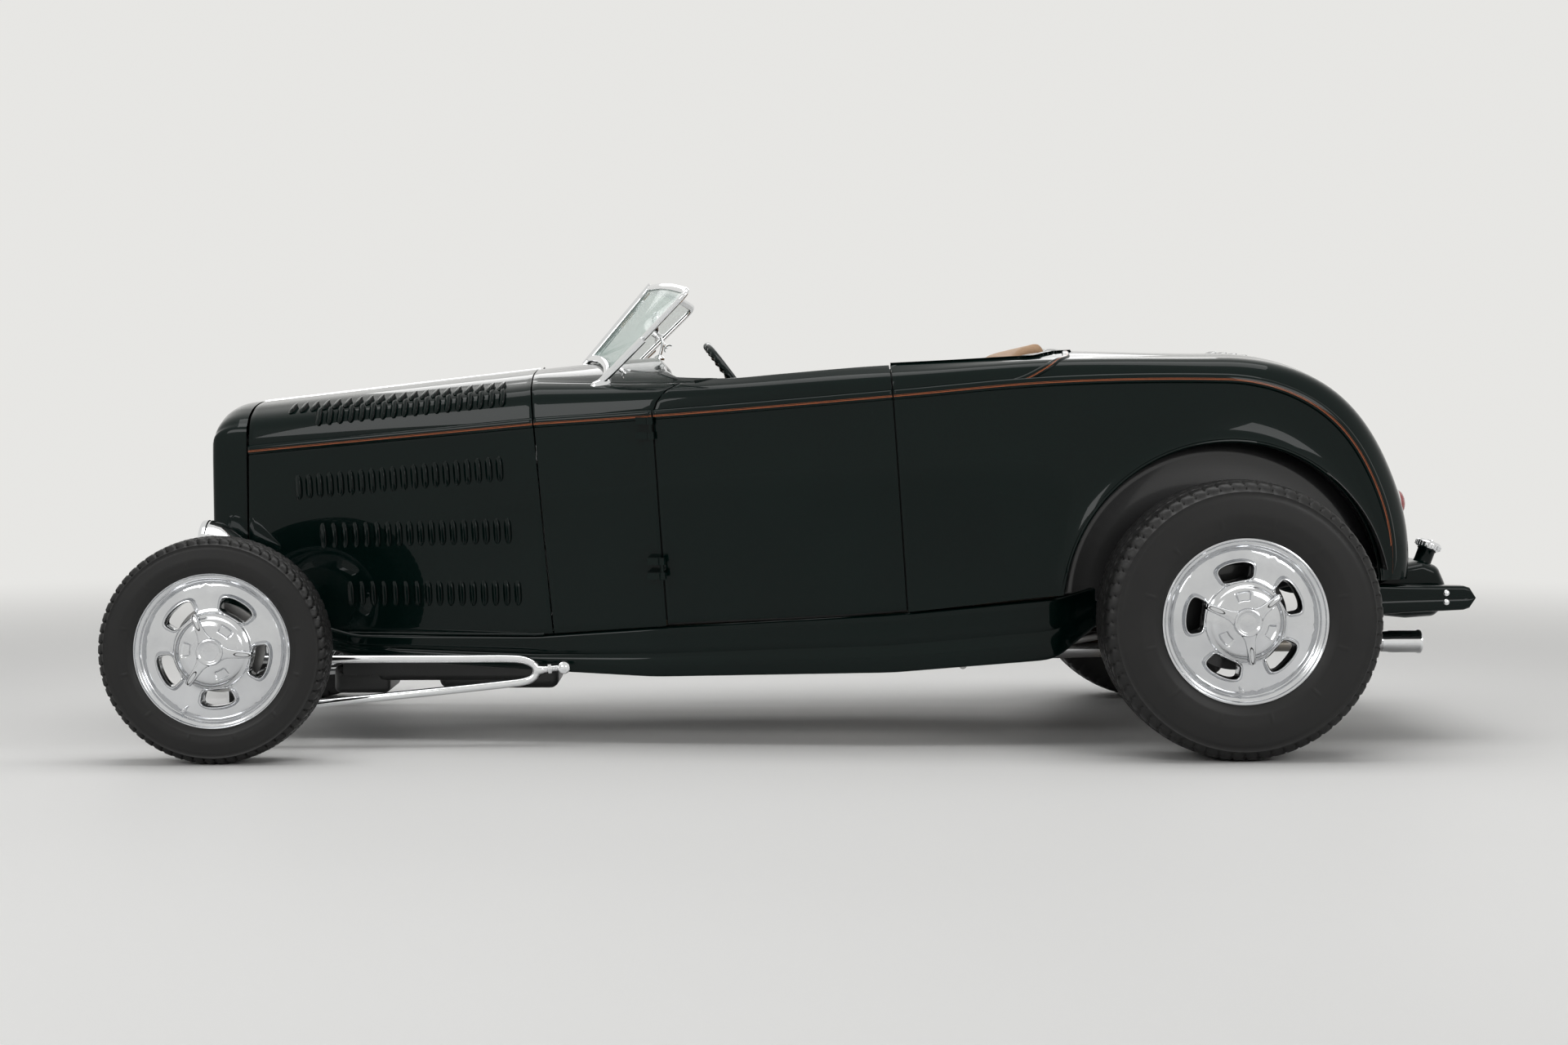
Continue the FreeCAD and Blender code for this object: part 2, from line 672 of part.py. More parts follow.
def bodyLoft(inset, drop):
    wires = [bodyWire(hoodFrontAt, sections["hoodFront"], inset, drop)]
    for name in list(sections)[1:]:
        wires.append(bodyWire(rx + sections[name]["place"], sections[name], inset, drop))
    return Part.makeLoft(wires, True, False)


tailPivot = Vector(rx + sections["deckRear"]["place"], 0, sections["deckRear"]["bottom"])
tailRoot = 300


def tailWire(section, inset, root):
    angle = math.radians(section["angle"])
    out = Vector(math.cos(angle), 0, math.sin(angle))
    half, belt = section["rootHalf"] - inset, section["beltHalf"] - inset
    shoulder = section["shoulderHalf"] - inset * 0.7
    beltOut, shoulderOut = section["beltRadius"] - inset * 0.3, section["shoulderRadius"] - inset
    top = section["outerRadius"] - inset
    middle = (belt - (belt - shoulder) * 0.22, beltOut + (shoulderOut - beltOut) * 0.68)

    def point(across, reach):
        return tailPivot + out * reach + Vector(0, across, 0)

    edges = [
        Part.LineSegment(point(-half, root), point(half, root)),
        Part.LineSegment(point(half, root), point(belt, beltOut)),
        Part.Arc(point(belt, beltOut), point(*middle), point(shoulder, shoulderOut)),
        Part.Arc(point(shoulder, shoulderOut), point(0, top), point(-shoulder, shoulderOut)),
        Part.Arc(point(-shoulder, shoulderOut), point(-middle[0], middle[1]), point(-belt, beltOut)),
        Part.LineSegment(point(-belt, beltOut), point(-half, root)),
    ]
    return Part.Wire([edge.toShape() for edge in edges])


def tailLoft(inset, root):
    return Part.makeLoft([tailWire(tails[name[0]], inset, root) for name in tailSections], True, False)


outer = bodyLoft(0, 0)
tubInner = bodyLoft(wall, 5)
hoodInner = bodyLoft(hoodWall, 5)
tailOuter = tailLoft(0, tailRoot)
tailInner = tailLoft(wall, tailRoot - 5)

# Hood: two sides below the belt line, two tops that hinge on the centreline

far = 900                             # beyond the body's side
aboveAll = 1300                       # over the body
cowl = sections["cowlFront"]
hoodSeamTop = (rx - 1900, 1060)
hoodSeamLow = (rx - 1827, 230)
hoodRegion = sidePrism([(hoodFrontAt + gap, 230), (hoodFrontAt + gap, 1100),
                        (hoodSeamTop[0] - gap, hoodSeamTop[1] + 40), (hoodSeamLow[0] - gap, hoodSeamLow[1])],
                       -far, far)
hoodShell = outer.cut(hoodInner).common(hoodRegion)
beltFront = (hoodFrontAt - 100, 811 - 9.5)
beltBack = (rx - 1700, 889 + 17)
lowRegion = sidePrism([(beltFront[0], 200), (beltFront[0], beltFront[1] - gap / 2),
                       (beltBack[0], beltBack[1] - gap / 2), (beltBack[0], 200)], -far, far)
highRegion = sidePrism([(beltFront[0], 1200), (beltFront[0], beltFront[1] + gap / 2),
                        (beltBack[0], beltBack[1] + gap / 2), (beltBack[0], 1200)], -far, far)
feature("hood_sides", biggest(clearOfRails(hoodShell.common(lowRegion)), count=2))
hingeRadius = 4
hingeFront = Vector(hoodFrontAt, 0, sections["hoodFront"]["top"])
hingeRear = Vector(rx + cowl["place"], 0, cowl["top"])
hingeLine = (hingeRear - hingeFront).normalize()
hingeRoom = Part.makeCylinder(hingeRadius + seat, 1200, hingeFront - hingeLine * 100, hingeLine)
hoodTop = hoodShell.common(highRegion).cut(hingeRoom)
hoodLeft = hoodTop.common(block((fx - 100, -far, 500), (rx, -gap / 2, 1300)))
hoodTopLeft = feature("hood_top_left", hoodLeft)
mirrored("hood_top_right", hoodTopLeft)

tubShell = outer.cut(tubInner).common(
    sidePrism([(hoodSeamTop[0], hoodSeamTop[1] + 40), (hoodSeamLow[0], hoodSeamLow[1]), (tailPivot.x, 230),
               (tailPivot.x, 1140)], -far, far))
cockpitHalf = [(-1536, 330), (-1500, 405), (-1380, 448), (-903, 498), (-560, 488), (-480, 440), (-445, 330)]
cockpitPlan = [(rx + aft, half) for aft, half in cockpitHalf]
cockpitPlan += [(x, -half) for x, half in reversed(cockpitPlan)]
tubShell = tubShell.cut(planPrism(cockpitPlan, 860, 1200))

sillGap = 6
rearBottom = sections["doorRear"]["bottom"] + sillGap
frontBottom = sections["doorFront"]["bottom"] + sillGap
doorSill = [(rx - 862, rearBottom + 4), (rx - 903, rearBottom), (rx - 1200, 350 + sillGap),
            (rx - 1519, frontBottom + 3)]
doorFront = [(rx - 1554, 911), (rx - 1535, 968), (rx - 1470, 1003), (rx - 1450, 1150)]
doorRear = [(rx - 916, 1150), (rx - 912, 1038)]
doorOutline = doorFront + doorRear + doorSill


def doorPrism(grow, side):
    points = [Vector(x, 0, z) for x, z in doorOutline]
    face = Part.Face(Part.makePolygon(points + points[:1]))
    if grow:
        face = face.makeOffset2D(grow, 2)
    shape = face.extrude(Vector(0, side * far, 0))
    return shape.cut(block((rx - 2000, -200, 0), (rx, 200, 1300)))


doorPanel = tubShell.common(doorPrism(0, -1))
bodyRest = tubShell.cut(doorPrism(gap, -1)).cut(doorPrism(gap, 1))
doorMiddle = rx - 1200
cowlPart = bodyRest.common(block((fx, -far, 0), (doorMiddle, far, 1300)))
firewallThick = 18
firewall = outer.common(sidePrism([hoodSeamTop, (hoodSeamTop[0] + firewallThick, hoodSeamTop[1]),
                                   (hoodSeamLow[0] + firewallThick, hoodSeamLow[1]), hoodSeamLow], -far, far))
columnTop = Vector(rx - 1301, -228, 959)
columnLine = Vector(-0.804, 0, -0.594)
columnRoom = 26                       # radius of the holes round the steering column
columnHole = Part.makeCylinder(columnRoom, 500, columnTop + columnLine * 500, columnLine)
cowlShape = biggest(clearOfRails(fused([cowlPart, firewall]).cut(columnHole)))
feature("cowl", cowlShape)

# Rear body with its wheel houses, and the lid cut out of it

archCentre = (rx + 4, 395)
arch = number("archRadius")
houseHalf = number("wheelHouseHalf")
houseWall = number("wheelHouseWall")
rearPart = bodyRest.common(block((doorMiddle, -far, 0), (tailPivot.x, far, 1300)))
rearShell = rearPart.fuse(tailOuter.cut(tailInner))
lidPlan = [(rx - 395, 372), (rx + 500, 315), (rx + 700, 300)]
lidPlan += [(x, -half) for x, half in reversed(lidPlan)]
lidLow = 565
lidTop = 1103                         # of the skin at the lid's front edge
lid = rearShell.common(planPrism(lidPlan, lidLow, aboveAll))
lidCut = [(x, half + math.copysign(gap, half)) for x, half in lidPlan]
lidCut[0] = (lidCut[0][0] - gap, lidCut[0][1])
lidCut[-1] = (lidCut[-1][0] - gap, lidCut[-1][1])
rearShell = rearShell.cut(planPrism(lidCut, lidLow - gap, aboveAll))
skin = outer.fuse(tailOuter)
houseLow = 445
for side in (-1, 1):
    inside = Vector(archCentre[0], side * (houseHalf - houseWall), archCentre[1])
    outside = Vector(archCentre[0], side * houseHalf, archCentre[1])
    across = Vector(0, side, 0)
    archHole = Part.makeCylinder(arch, 400, outside, across)
    well = Part.makeCylinder(arch + houseWall, 200, inside, across).cut(archHole)
    low, high = sorted((inside.y, outside.y))
    disc = block((rx - 600, low, houseLow), (rx + 600, high, 900))
    rearShell = rearShell.cut(archHole).fuse([well.common(disc), well.common(skin)])
lidPin = gap / 2 - pinFit
lidHinge = Vector(lidPlan[0][0] - gap / 2, 0, lidTop - lidPin - 1)
lidPinHalf = 110
hingeRod = rod((lidHinge.x, -lidPinHalf, lidHinge.z), (lidHinge.x, lidPinHalf, lidHinge.z), lidPin)
hingeTab = block((lidHinge.x - gap, -lidPinHalf, lidHinge.z - 1.5),
                 (lidHinge.x - 1, lidPinHalf, lidHinge.z + 1))
feature("rear_body", biggest(clearOfRails(fused([rearShell, hingeRod, hingeTab]))))
feature("deck_lid", lid)


# Hood hinge: a bead on the centreline, at the height of the hood's top

hingeEnd = hingeFront + hingeLine * ((hoodSeamTop[0] - hingeFront.x) / hingeLine.x + 2)
hoodBead = Part.makeCylinder(hingeRadius, (hingeEnd - hingeFront).Length, hingeFront, hingeLine)
feature("hood_hinge", hoodBead.cut(cowlShape))

# Radiator shell and grille

shellColumns = ["aft", "bottomHalf", "belt", "beltHalf", "shoulder", "shoulderHalf", "top"]
shellSections = [(-6, 265, 811, 275, 925, 190, 950), (-58, 263, 806, 273, 912, 186, 935),
                 (-103, 240, 780, 250, 860, 165, 884)]


def shellWire(values, inset, place, low):
    section = dict(zip(shellColumns, values))
    section["bottom"] = low
    return bodyWire(place, section, inset, 0)


def shellLoft(inset, shift, low):
    wires = [shellWire(values, inset, fx + values[0] + (shift if values[0] < -6 else shift / 10), low)
             for values in shellSections]
    return Part.makeLoft(wires, True, False)


shellBottom = 350
shellWall = 14
shellOuter = shellLoft(0, 0, shellBottom)
shellInner = shellLoft(shellWall, shellWall, shellBottom - 5)
openingSection = (-103, 205, 765, 214, 832, 148, 850)
openingFace = Part.Face(shellWire(openingSection, 0, fx - 130, 395))
shellShape = shellOuter.cut(shellInner).cut(openingFace.extrude(Vector(90, 0, 0)))
feature("grille_shell", biggest(clearOfRails(shellShape)))
grilleLow = 372
grilleSolid = shellLoft(shellWall + seat, shellWall + seat, grilleLow).common(
    block((fx - 84, -far, grilleLow), (fx - 28, far, 1000)))
feature("grille", grilleSolid)

# Floor, dashboard, seat

floorThick = 12
trunkFloor = 556
innerFit = bodyLoft(wall + seat, 0)
floorLine = [(rx - 1810, 309), (rx - 1554, 330), (rx - 903, 370), (rx - 487, 416), (rx - 452, 419)]
floorOutline = floorLine + [(x, z + floorThick) for x, z in reversed(floorLine)]
floorPlate = sidePrism(floorOutline, -far, far).common(innerFit)
houseInner = houseHalf - houseWall - seat
riserAt = rx - 458
trunkTop = trunkFloor + floorThick
riser = block((riserAt, -420, 424), (riserAt + floorThick, 420, trunkTop))
trunkPlate = block((riserAt, -houseInner, trunkFloor), (rx + 200, houseInner, trunkTop))
tailPlate = block((rx + 199, -400, trunkFloor), (rx + 380, 400, trunkTop))
floorShape = fused([floorPlate, riser, trunkPlate, tailPlate])
feature("floor", floorShape)

dashSlab = block((rx - 1580, -far, 885), (rx - 1560, far, 1100)).common(innerFit)
dashHole = Part.makeCylinder(columnRoom, 700, columnTop + columnLine * 20, columnLine)
feature("dashboard", dashSlab.cut(dashHole))

seatBack = -580                       # back of the cushion, behind the rear axle


def floorAt(aft):
    """Height of the floor's top at a place behind the rear axle."""
    for (x0, z0), (x1, z1) in zip(floorLine, floorLine[1:]):
        if x0 <= rx + aft <= x1:
            return z0 + (z1 - z0) * (rx + aft - x0) / (x1 - x0) + floorThick
    return floorLine[-1][1] + floorThick


def cushionBody(label, corners, half):
    cushion = newBody(label)
    profile = sketchOn(cushion, "XZ_Plane")
    polygonIn(profile, corners)
    padOf(cushion, profile, "(%s) * 2" % half)
    moveTo(cushion, rearAxle)
    return cushion


# Corners: place from the cushion's back as a formula, height
cushionFoot = floorAt(seatBack) + 1
backFoot = floorAt(seatBack + 60) + 2
cushionCorners = [("+ 0", cushionFoot), ("+ 0", 620), ("- seatDepth + 20", 648), ("- seatDepth", 630),
                  ("- seatDepth + 10", cushionFoot)]
backCorners = [("+ seatGap", backFoot), ("+ seatGap", 622), ("- 90", 650), ("- 4", 1090), ("+ 20", 1108),
               ("+ 66", 1096), ("+ 78", 1040), ("+ 78", backFoot)]
for label, corners, half in (("seat_cushion", cushionCorners, "cushionHalf"),
                             ("seat_back", backCorners, "cushionHalf - 10")):
    outline = [("%s %s" % (seatBack, shift), str(height)) for shift, height in corners]
    cushionBody(label, outline, half)

# Steering: wheel on its column, shaft to the box, pitman arm, links

columnRadius = 20
shaftRadius = 9
columnEnd = columnTop + columnLine * 690
column = rod(columnTop + columnLine * 42, columnEnd, columnRadius)
postEnd = rod(columnTop + columnLine * 60, columnTop + columnLine * 4, shaftRadius)
boxAt = Vector(fx + 75, -200, 0)
steerShaft = tubePath([tuple(columnEnd), (rx - 1975, -325, 470), (fx + 188, -264, 356),
                       (boxAt.x + 40, boxAt.y - 6, 300)], [30, 60], shaftRadius)
pitmanLow = 224
pitmanHigh = 236
boxLow = 240
boxShaft = 8
steerBox = block((boxAt.x - 22, boxAt.y - 70, boxLow), (boxAt.x + 62, boxAt.y + 30, 318)).cut(railLoft)
boxFoot = upright(boxAt.x, boxAt.y, pitmanLow, boxLow, boxShaft)
columnShape = fused([column, postEnd, steerShaft, biggest(steerBox), boxFoot]).cut(frontCross)
feature("steering_column", columnShape)

linkLow = 208.5
linkHigh = 223.5
pitmanEnd = boxAt.x + arm
pitman = fused([block((boxAt.x, boxAt.y - 11, pitmanLow), (pitmanEnd, boxAt.y + 11, pitmanHigh)),
                upright(boxAt.x, boxAt.y, pitmanLow, pitmanHigh, 18),
                upright(pitmanEnd, boxAt.y, pitmanLow, pitmanHigh, 13),
                upright(pitmanEnd, boxAt.y, pitmanLow - 16, pitmanLow, linkPin)])
feature("pitman_arm", pitman.cut(upright(boxAt.x, boxAt.y, 200, boxLow, boxShaft + pinFit)))
linkMiddle = (linkLow + linkHigh) / 2
linkEnds = [(pitmanEnd, boxAt.y), (armEnd, pin)]
linkParts = [rod(linkEnds[0] + (linkMiddle,), linkEnds[1] + (linkMiddle,), 7)]
linkParts += [upright(x, y, linkLow, linkHigh, tieEnd) for x, y in linkEnds]
dragLink = fused(linkParts)
for x, y in linkEnds:
    dragLink = dragLink.cut(upright(x, y, 190, 250, linkPin + pinFit))
feature("drag_link", dragLink)

wheelUp = columnLine * -1
wheelAcross = Vector(0, 1, 0)
wheelAway = wheelUp.cross(wheelAcross)
rim = number("wheelRimRadius")
rimThick = 12
spokeThick = 6
steering = [Part.makeTorus(rim, rimThick, columnTop, wheelUp),
            Part.makeCylinder(30, 40, columnTop + columnLine * 34, wheelUp)]
for degrees in (0, 90, 180, 270):
    angle = math.radians(degrees)
    out = wheelAcross * math.cos(angle) + wheelAway * math.sin(angle)
    steering.append(rod(columnTop + columnLine * spokeThick, columnTop + out * rim, spokeThick))
steeringHole = Part.makeCylinder(shaftRadius + pinFit, 42, columnTop + columnLine * 40, wheelUp)
feature("steering_wheel", fused(steering).cut(steeringHole))

# Windshield: two flat panes that meet in a vee, leaning back

postFoot = Vector(rx - 1767, 0, 1059)
postTop = Vector(rx - 1576, 0, 1287)
sideTop = Vector(rx - 1460, -527, 1262)
sideFoot = Vector(rx - 1717, -440, 986)
frameWidth = 17
frameDepth = 16
glassThick = number("glassThickness")
paneNormal = (postTop - postFoot).cross(sideFoot - postFoot).normalize()
sideTop = sideTop - paneNormal * (sideTop - postFoot).dot(paneNormal)
middleDown = (postFoot - postTop).normalize() * 60
sideDown = (sideFoot - sideTop).normalize() * 60
paneCorners = [postFoot + middleDown, postTop, sideTop, sideFoot + sideDown]
paneBends = [0, 0, 70, 0]


def roundedWire(corners, bends):
    """A closed outline of straight runs, with an arc of the bend radius at each corner that has one."""
    edges = []
    count = len(corners)
    ends = []
    for index, (corner, bend) in enumerate(zip(corners, bends)):
        into = (corner - corners[index - 1]).normalize()
        out = (corners[(index + 1) % count] - corner).normalize()
        if not bend:
            ends.append((corner, None, corner))
            continue
        angle = into.getAngle(out)
        reach = bend * math.tan(angle / 2)
        first = corner - into * reach
        centre = first + (out - into * math.cos(angle)).normalize() * bend
        ends.append((first, centre + (corner - centre).normalize() * bend, corner + out * reach))
    for index, (first, middle, last) in enumerate(ends):
        edges.append(Part.LineSegment(ends[index - 1][2], first).toShape())
        if middle:
            edges.append(Part.Arc(first, middle, last).toShape())
    return Part.Wire(edges)


def paneSolid(inset, depth):
    """The pane's outline, moved in and given a depth."""
    face = Part.Face(roundedWire(paneCorners, paneBends))
    if inset:
        face = face.makeOffset2D(-inset, 2)
    face.translate(paneNormal * (-depth / 2))
    return face.extrude(paneNormal * depth)


cowlTop = outer.common(block((rx - 1895, -far, 900), (rx - 1500, far, 1200)))


def raised(lift):
    copy = cowlTop.copy()
    copy.translate(Vector(0, 0, lift))
    return copy.fuse(cowlTop)


sillHeight = 20
windowSpace = paneSolid(frameWidth, 60).cut(raised(sillHeight))
frameSide = paneSolid(0, frameDepth).cut(windowSpace).cut(cowlTop)
frameSide = frameSide.common(block((rx - 1900, -far, 900), (rx - 1300, 0, 1400)))
postRadius = 11
centrePost = rod(postFoot + middleDown * 0.3, postTop - middleDown * 0.05, postRadius).cut(cowlTop)
feature("windshield_frame", fused([frameSide, otherSide(frameSide), centrePost]))
postRoom = Part.makeCylinder(postRadius + seat, 400, postFoot + middleDown, middleDown * -1)
glassLeft = paneSolid(frameWidth + seat, glassThick).cut(raised(sillHeight + seat)).cut(postRoom)
feature("windshield_glass", onBothSides(glassLeft))

mirrorFoot = Vector(rx - 1555, 0, 1068)
mirrorHead = Vector(rx - 1590, 0, 1185)
stalk = rod(mirrorFoot, mirrorHead, 5)
head = Part.makeCylinder(42, 12, mirrorHead + Vector(-2, 0, 0), Vector(1, 0, 0))
base = upright(mirrorFoot.x, 0, mirrorFoot.z - 6, mirrorFoot.z + 10, 14)
feature("mirror", fused([stalk, head, base]).cut(outer))

# Lights

lamp = number("lampRadius")
lampHalf = 378
lampHeight = 521
lampFront = fx - 137
lampBarAt = fx - 125
lampBarHeight = 384
lampBarHalf = lampHalf + 14
stayHalf = 240
# Half of the bowl's outline: distance behind the lens, radius
lampProfile = [(0, 0), (0, lamp), (54, lamp), (92, 66), (120, 34), (140, 16), (146, 0)]
lights = [rod((lampBarAt, -lampBarHalf, lampBarHeight), (lampBarAt, lampBarHalf, lampBarHeight), 12)]
for side in (-1, 1):
    middle = Vector(lampFront, side * lampHalf, lampHeight)
    outline = [middle + Vector(along, 0, out) for along, out in lampProfile]
    bowlFace = Part.Face(Part.makePolygon(outline + outline[:1]))
    lights.append(bowlFace.revolve(middle, Vector(1, 0, 0), 360))
    lights.append(rod((lampBarAt, side * lampHalf, lampBarHeight),
                      (lampBarAt + 20, side * lampHalf, lampHeight - lamp + 6), 10))
    lights.append(rod((lampBarAt, side * stayHalf, 345), (lampBarAt, side * stayHalf, lampBarHeight), 10))
feature("headlights", clearOfRails(fused(lights)))

tailLampHalf = 330
tailLampHeight = 665
tailLamp = rod((rx + 470, -tailLampHalf, tailLampHeight), (rx + 548, -tailLampHalf, tailLampHeight), 38)
tailLamp = max(tailLamp.cut(tailOuter).Solids, key=lambda solid: solid.CenterOfMass.x)
feature("taillights", onBothSides(tailLamp))

# Door hinges: barrels on the cowl with their pins, lugs on the doors

hingeHalf = 496
hingeLow = Vector(rx - 1531, -hingeHalf, 492)
hingeHigh = Vector(rx - 1563, -hingeHalf, 874)
hingeUp = (hingeHigh - hingeLow).normalize()
barrel = 10
hingePin = 5
lugHalf = 10
barrelHalf = 30
lugGap = 0.5                          # above and below a lug
barrelLength = barrelHalf - lugHalf - lugGap
leafOuter = -hingeHalf - 4
fixedHinges = []
doorLugs = []
hingeHoles = []
for foot in (hingeLow, hingeHigh):
    for start in (-barrelHalf, lugHalf + lugGap):
        fixedHinges.append(Part.makeCylinder(barrel, barrelLength, foot + hingeUp * start, hingeUp))
        leafLow = foot.z + start
        leaf = block((foot.x - 40, leafOuter, leafLow), (foot.x, -hingeHalf + 60, leafLow + barrelLength))
        fixedHinges.append(leaf.cut(doorPrism(gap, -1)).cut(outer))
    fixedHinges.append(Part.makeCylinder(hingePin, barrelHalf * 2, foot - hingeUp * barrelHalf, hingeUp))
    doorLugs.append(Part.makeCylinder(barrel, (lugHalf - lugGap) * 2, foot - hingeUp * (lugHalf - lugGap),
                                      hingeUp))
    lugLow, lugHigh = foot.z - lugHalf + 1, foot.z + lugHalf - 1
    lugLeaf = block((foot.x + 17, leafOuter, lugLow), (foot.x + 44, -hingeHalf + 50, lugHigh))
    doorLugs.append(lugLeaf.cut(tubInner))
    doorLugs.append(block((foot.x - 4, leafOuter, lugLow), (foot.x + 20, -hingeHalf + 8, lugHigh)))
    hingeHoles.append(Part.makeCylinder(hingePin + pinFit, barrelHalf * 2, foot - hingeUp * barrelHalf,
                                        hingeUp))
feature("door_hinges", onBothSides(fused(fixedHinges)))
doorShape = fused([doorPanel] + doorLugs)
for hole in hingeHoles:
    doorShape = doorShape.cut(hole)
doorLeft = feature("door_left", doorShape)
mirrored("door_right", doorLeft)

doc.recompute()
for item in doc.Objects:
    if "Invalid" in item.State or "Error" in item.State:
        raise SystemExit("failed object: " + item.Label)
os.makedirs("parts", exist_ok=True)
for item in pieces:
    if item.Shape.isNull() or not item.Shape.isValid() or not item.Shape.Solids:
        raise SystemExit("bad shape: " + item.Label)
    item.Shape.exportStep("parts/%s.step" % item.Label)
    print(item.Label, len(item.Shape.Solids), round(item.Shape.Volume / 1e6, 2))
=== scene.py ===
import json
import math
import bmesh
import bpy
import numpy as np
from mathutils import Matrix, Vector


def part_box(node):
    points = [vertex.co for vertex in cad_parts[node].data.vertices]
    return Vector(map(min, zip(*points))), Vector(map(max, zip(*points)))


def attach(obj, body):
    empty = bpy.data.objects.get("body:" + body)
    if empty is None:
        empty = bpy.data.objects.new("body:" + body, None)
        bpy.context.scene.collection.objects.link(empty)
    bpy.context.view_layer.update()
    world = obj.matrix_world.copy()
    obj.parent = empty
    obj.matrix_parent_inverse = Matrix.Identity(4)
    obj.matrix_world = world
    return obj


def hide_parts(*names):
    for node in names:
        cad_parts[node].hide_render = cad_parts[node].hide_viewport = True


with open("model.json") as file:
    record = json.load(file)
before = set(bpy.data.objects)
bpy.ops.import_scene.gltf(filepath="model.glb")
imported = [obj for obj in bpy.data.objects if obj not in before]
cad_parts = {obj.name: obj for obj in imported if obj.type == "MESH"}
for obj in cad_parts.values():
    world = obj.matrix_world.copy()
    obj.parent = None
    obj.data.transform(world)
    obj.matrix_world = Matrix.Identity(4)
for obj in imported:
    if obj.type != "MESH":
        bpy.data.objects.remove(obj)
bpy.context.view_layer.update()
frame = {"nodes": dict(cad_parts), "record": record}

print("frame loaded:", len(frame["nodes"]), "nodes")

# Where the axles stand along the car, and its two sides with the sign that mirrors a grid of the left one
rearWheelBox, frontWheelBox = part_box("rear_wheel_left"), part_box("front_wheel_left")
rearAxle = (rearWheelBox[0][0] + rearWheelBox[1][0]) / 2
frontAxle = (frontWheelBox[0][0] + frontWheelBox[1][0]) / 2
bothSides = (("Left", "left", 1), ("Right", "right", -1))


# One output socket; arithmetic on it adds the Math node that does the sum
class Wire:
    def __init__(self, finish, socket):
        self.finish, self.socket = finish, socket

    def math(self, operation, *others):
        return self.finish.node("ShaderNodeMath", {"operation": operation}, dict(enumerate((self,) + others)))

    def __add__(self, other):
        return self.math("ADD", other)

    __radd__ = __add__

    def __rsub__(self, other):
        return self.finish.node("ShaderNodeMath", {"operation": "SUBTRACT"}, {0: other, 1: self})

    def __mul__(self, other):
        return self.math("MULTIPLY", other)

    def above(self, other):
        return self.math("GREATER_THAN", other)

    def below(self, other):
        return self.math("LESS_THAN", other)

    # 0 under low, 1 over high, a smooth step between
    def ramp(self, low, high):
        return self.finish.node("ShaderNodeMapRange", {"interpolation_type": "SMOOTHSTEP"},
            {0: self, 1: low, 2: high, 3: 0.0, 4: 1.0})


# A material under construction round one Principled shader
class Finish:
    def __init__(self, name, **fixed):
        self.material = bpy.data.materials.new(name)
        self.material.use_nodes = True
        self.tree = self.material.node_tree
        self.tree.nodes.clear()
        self.shader = self.tree.nodes.new("ShaderNodeBsdfPrincipled")
        self.output = self.tree.nodes.new("ShaderNodeOutputMaterial")
        self.tree.links.new(self.shader.outputs[0], self.output.inputs[0])
        for label, value in fixed.items():
            self.give(label.replace("_", " "), value)

    def feed(self, socket, value):
        if isinstance(value, Wire):
            self.tree.links.new(value.socket, socket)
        elif socket.type == "RGBA" and len(value) == 3:
            socket.default_value = (*value, 1)
        else:
            socket.default_value = value

    def node(self, kind, settings=None, inputs=None, output=0):
        made = self.tree.nodes.new(kind)
        for label, value in (settings or {}).items():
            setattr(made, label, value)
        for label, value in (inputs or {}).items():
            self.feed(made.inputs[label], value)
        return Wire(self, made.outputs[output])

    def give(self, label, value):
        self.feed(self.shader.inputs[label], value)

    def place(self, scale=(1, 1, 1)):
        where = self.node("ShaderNodeTexCoord", output=3)
        return self.node("ShaderNodeMapping", {}, {0: where, 2: (0, 0, 0), 3: scale})

    # Grey noise whose lumps are about size metres across
    def noise(self, size, detail=3.0, stretch=(1, 1, 1)):
        return self.node("ShaderNodeTexNoise", {}, {"Vector": self.place(stretch), "Scale": 1 / size,
            "Detail": detail})

    def mix(self, factor, first, second):
        return self.node("ShaderNodeMix", {"data_type": "RGBA"}, {0: factor, 6: first, 7: second}, output=2)

    def parts(self, where):
        made = self.tree.nodes.new("ShaderNodeSeparateXYZ")
        self.tree.links.new(where.socket, made.inputs[0])
        return [Wire(self, socket) for socket in made.outputs]

    def uv(self):
        return self.parts(self.node("ShaderNodeUVMap"))[:2]

    def xyz(self):
        return self.parts(self.node("ShaderNodeTexCoord", output=3))

    def sine(self, wire):
        return self.node("ShaderNodeMath", {"operation": "SINE"}, {0: wire})

    def bump(self, height, distance=0.001, strength=1.0):
        self.give("Normal", self.node("ShaderNodeBump", {}, {"Height": height, "Distance": distance,
            "Strength": strength}))


# Finishes
# deep and lit are a shaded and a lit copy of the body green: painted light and shade
paintLook = dict(deep=(0.0006, 0.0046, 0.0039), lit=(0.0011, 0.0086, 0.007), rough=0.24,
    stripe=(0.44, 0.125, 0.05))


# Deep gloss green under clear coat, clouded between a shaded and a lit tone as painted light and shade; the
# striped one has two thin lines along its UV v
def bodyPaint(name="bodyPaint", striped=False):
    finish = Finish(name, Coat_Weight=1.0, Coat_Roughness=0.01, Coat_IOR=1.25, IOR=1.5, Specular_IOR_Level=0.03)
    # patches about 0.35 m across of painted light and shade
    cloud = finish.noise(0.35, 2.0)
    colour = finish.mix(cloud, paintLook["deep"], paintLook["lit"])
    fleck = finish.noise(0.0006, 1.0)
    if striped:
        across = finish.uv()[1]
        thick = across.above(0.3) * across.below(0.375)
        thin = across.above(0.435) * across.below(0.465)
        colour = finish.mix(thick + thin, colour, paintLook["stripe"])
    finish.give("Base Color", colour)
    finish.give("Roughness", paintLook["rough"] + fleck * 0.08)
    return finish.material


# Bright plating, with a faint cloudiness in its polish
def chromePlate():
    finish = Finish("chromePlate", Metallic=1.0)
    cloud = finish.noise(0.03, 3.0)
    finish.give("Base Color", finish.mix(cloud, (0.74, 0.75, 0.76), (0.84, 0.85, 0.86)))
    finish.give("Roughness", 0.035 + cloud * 0.03)
    return finish.material


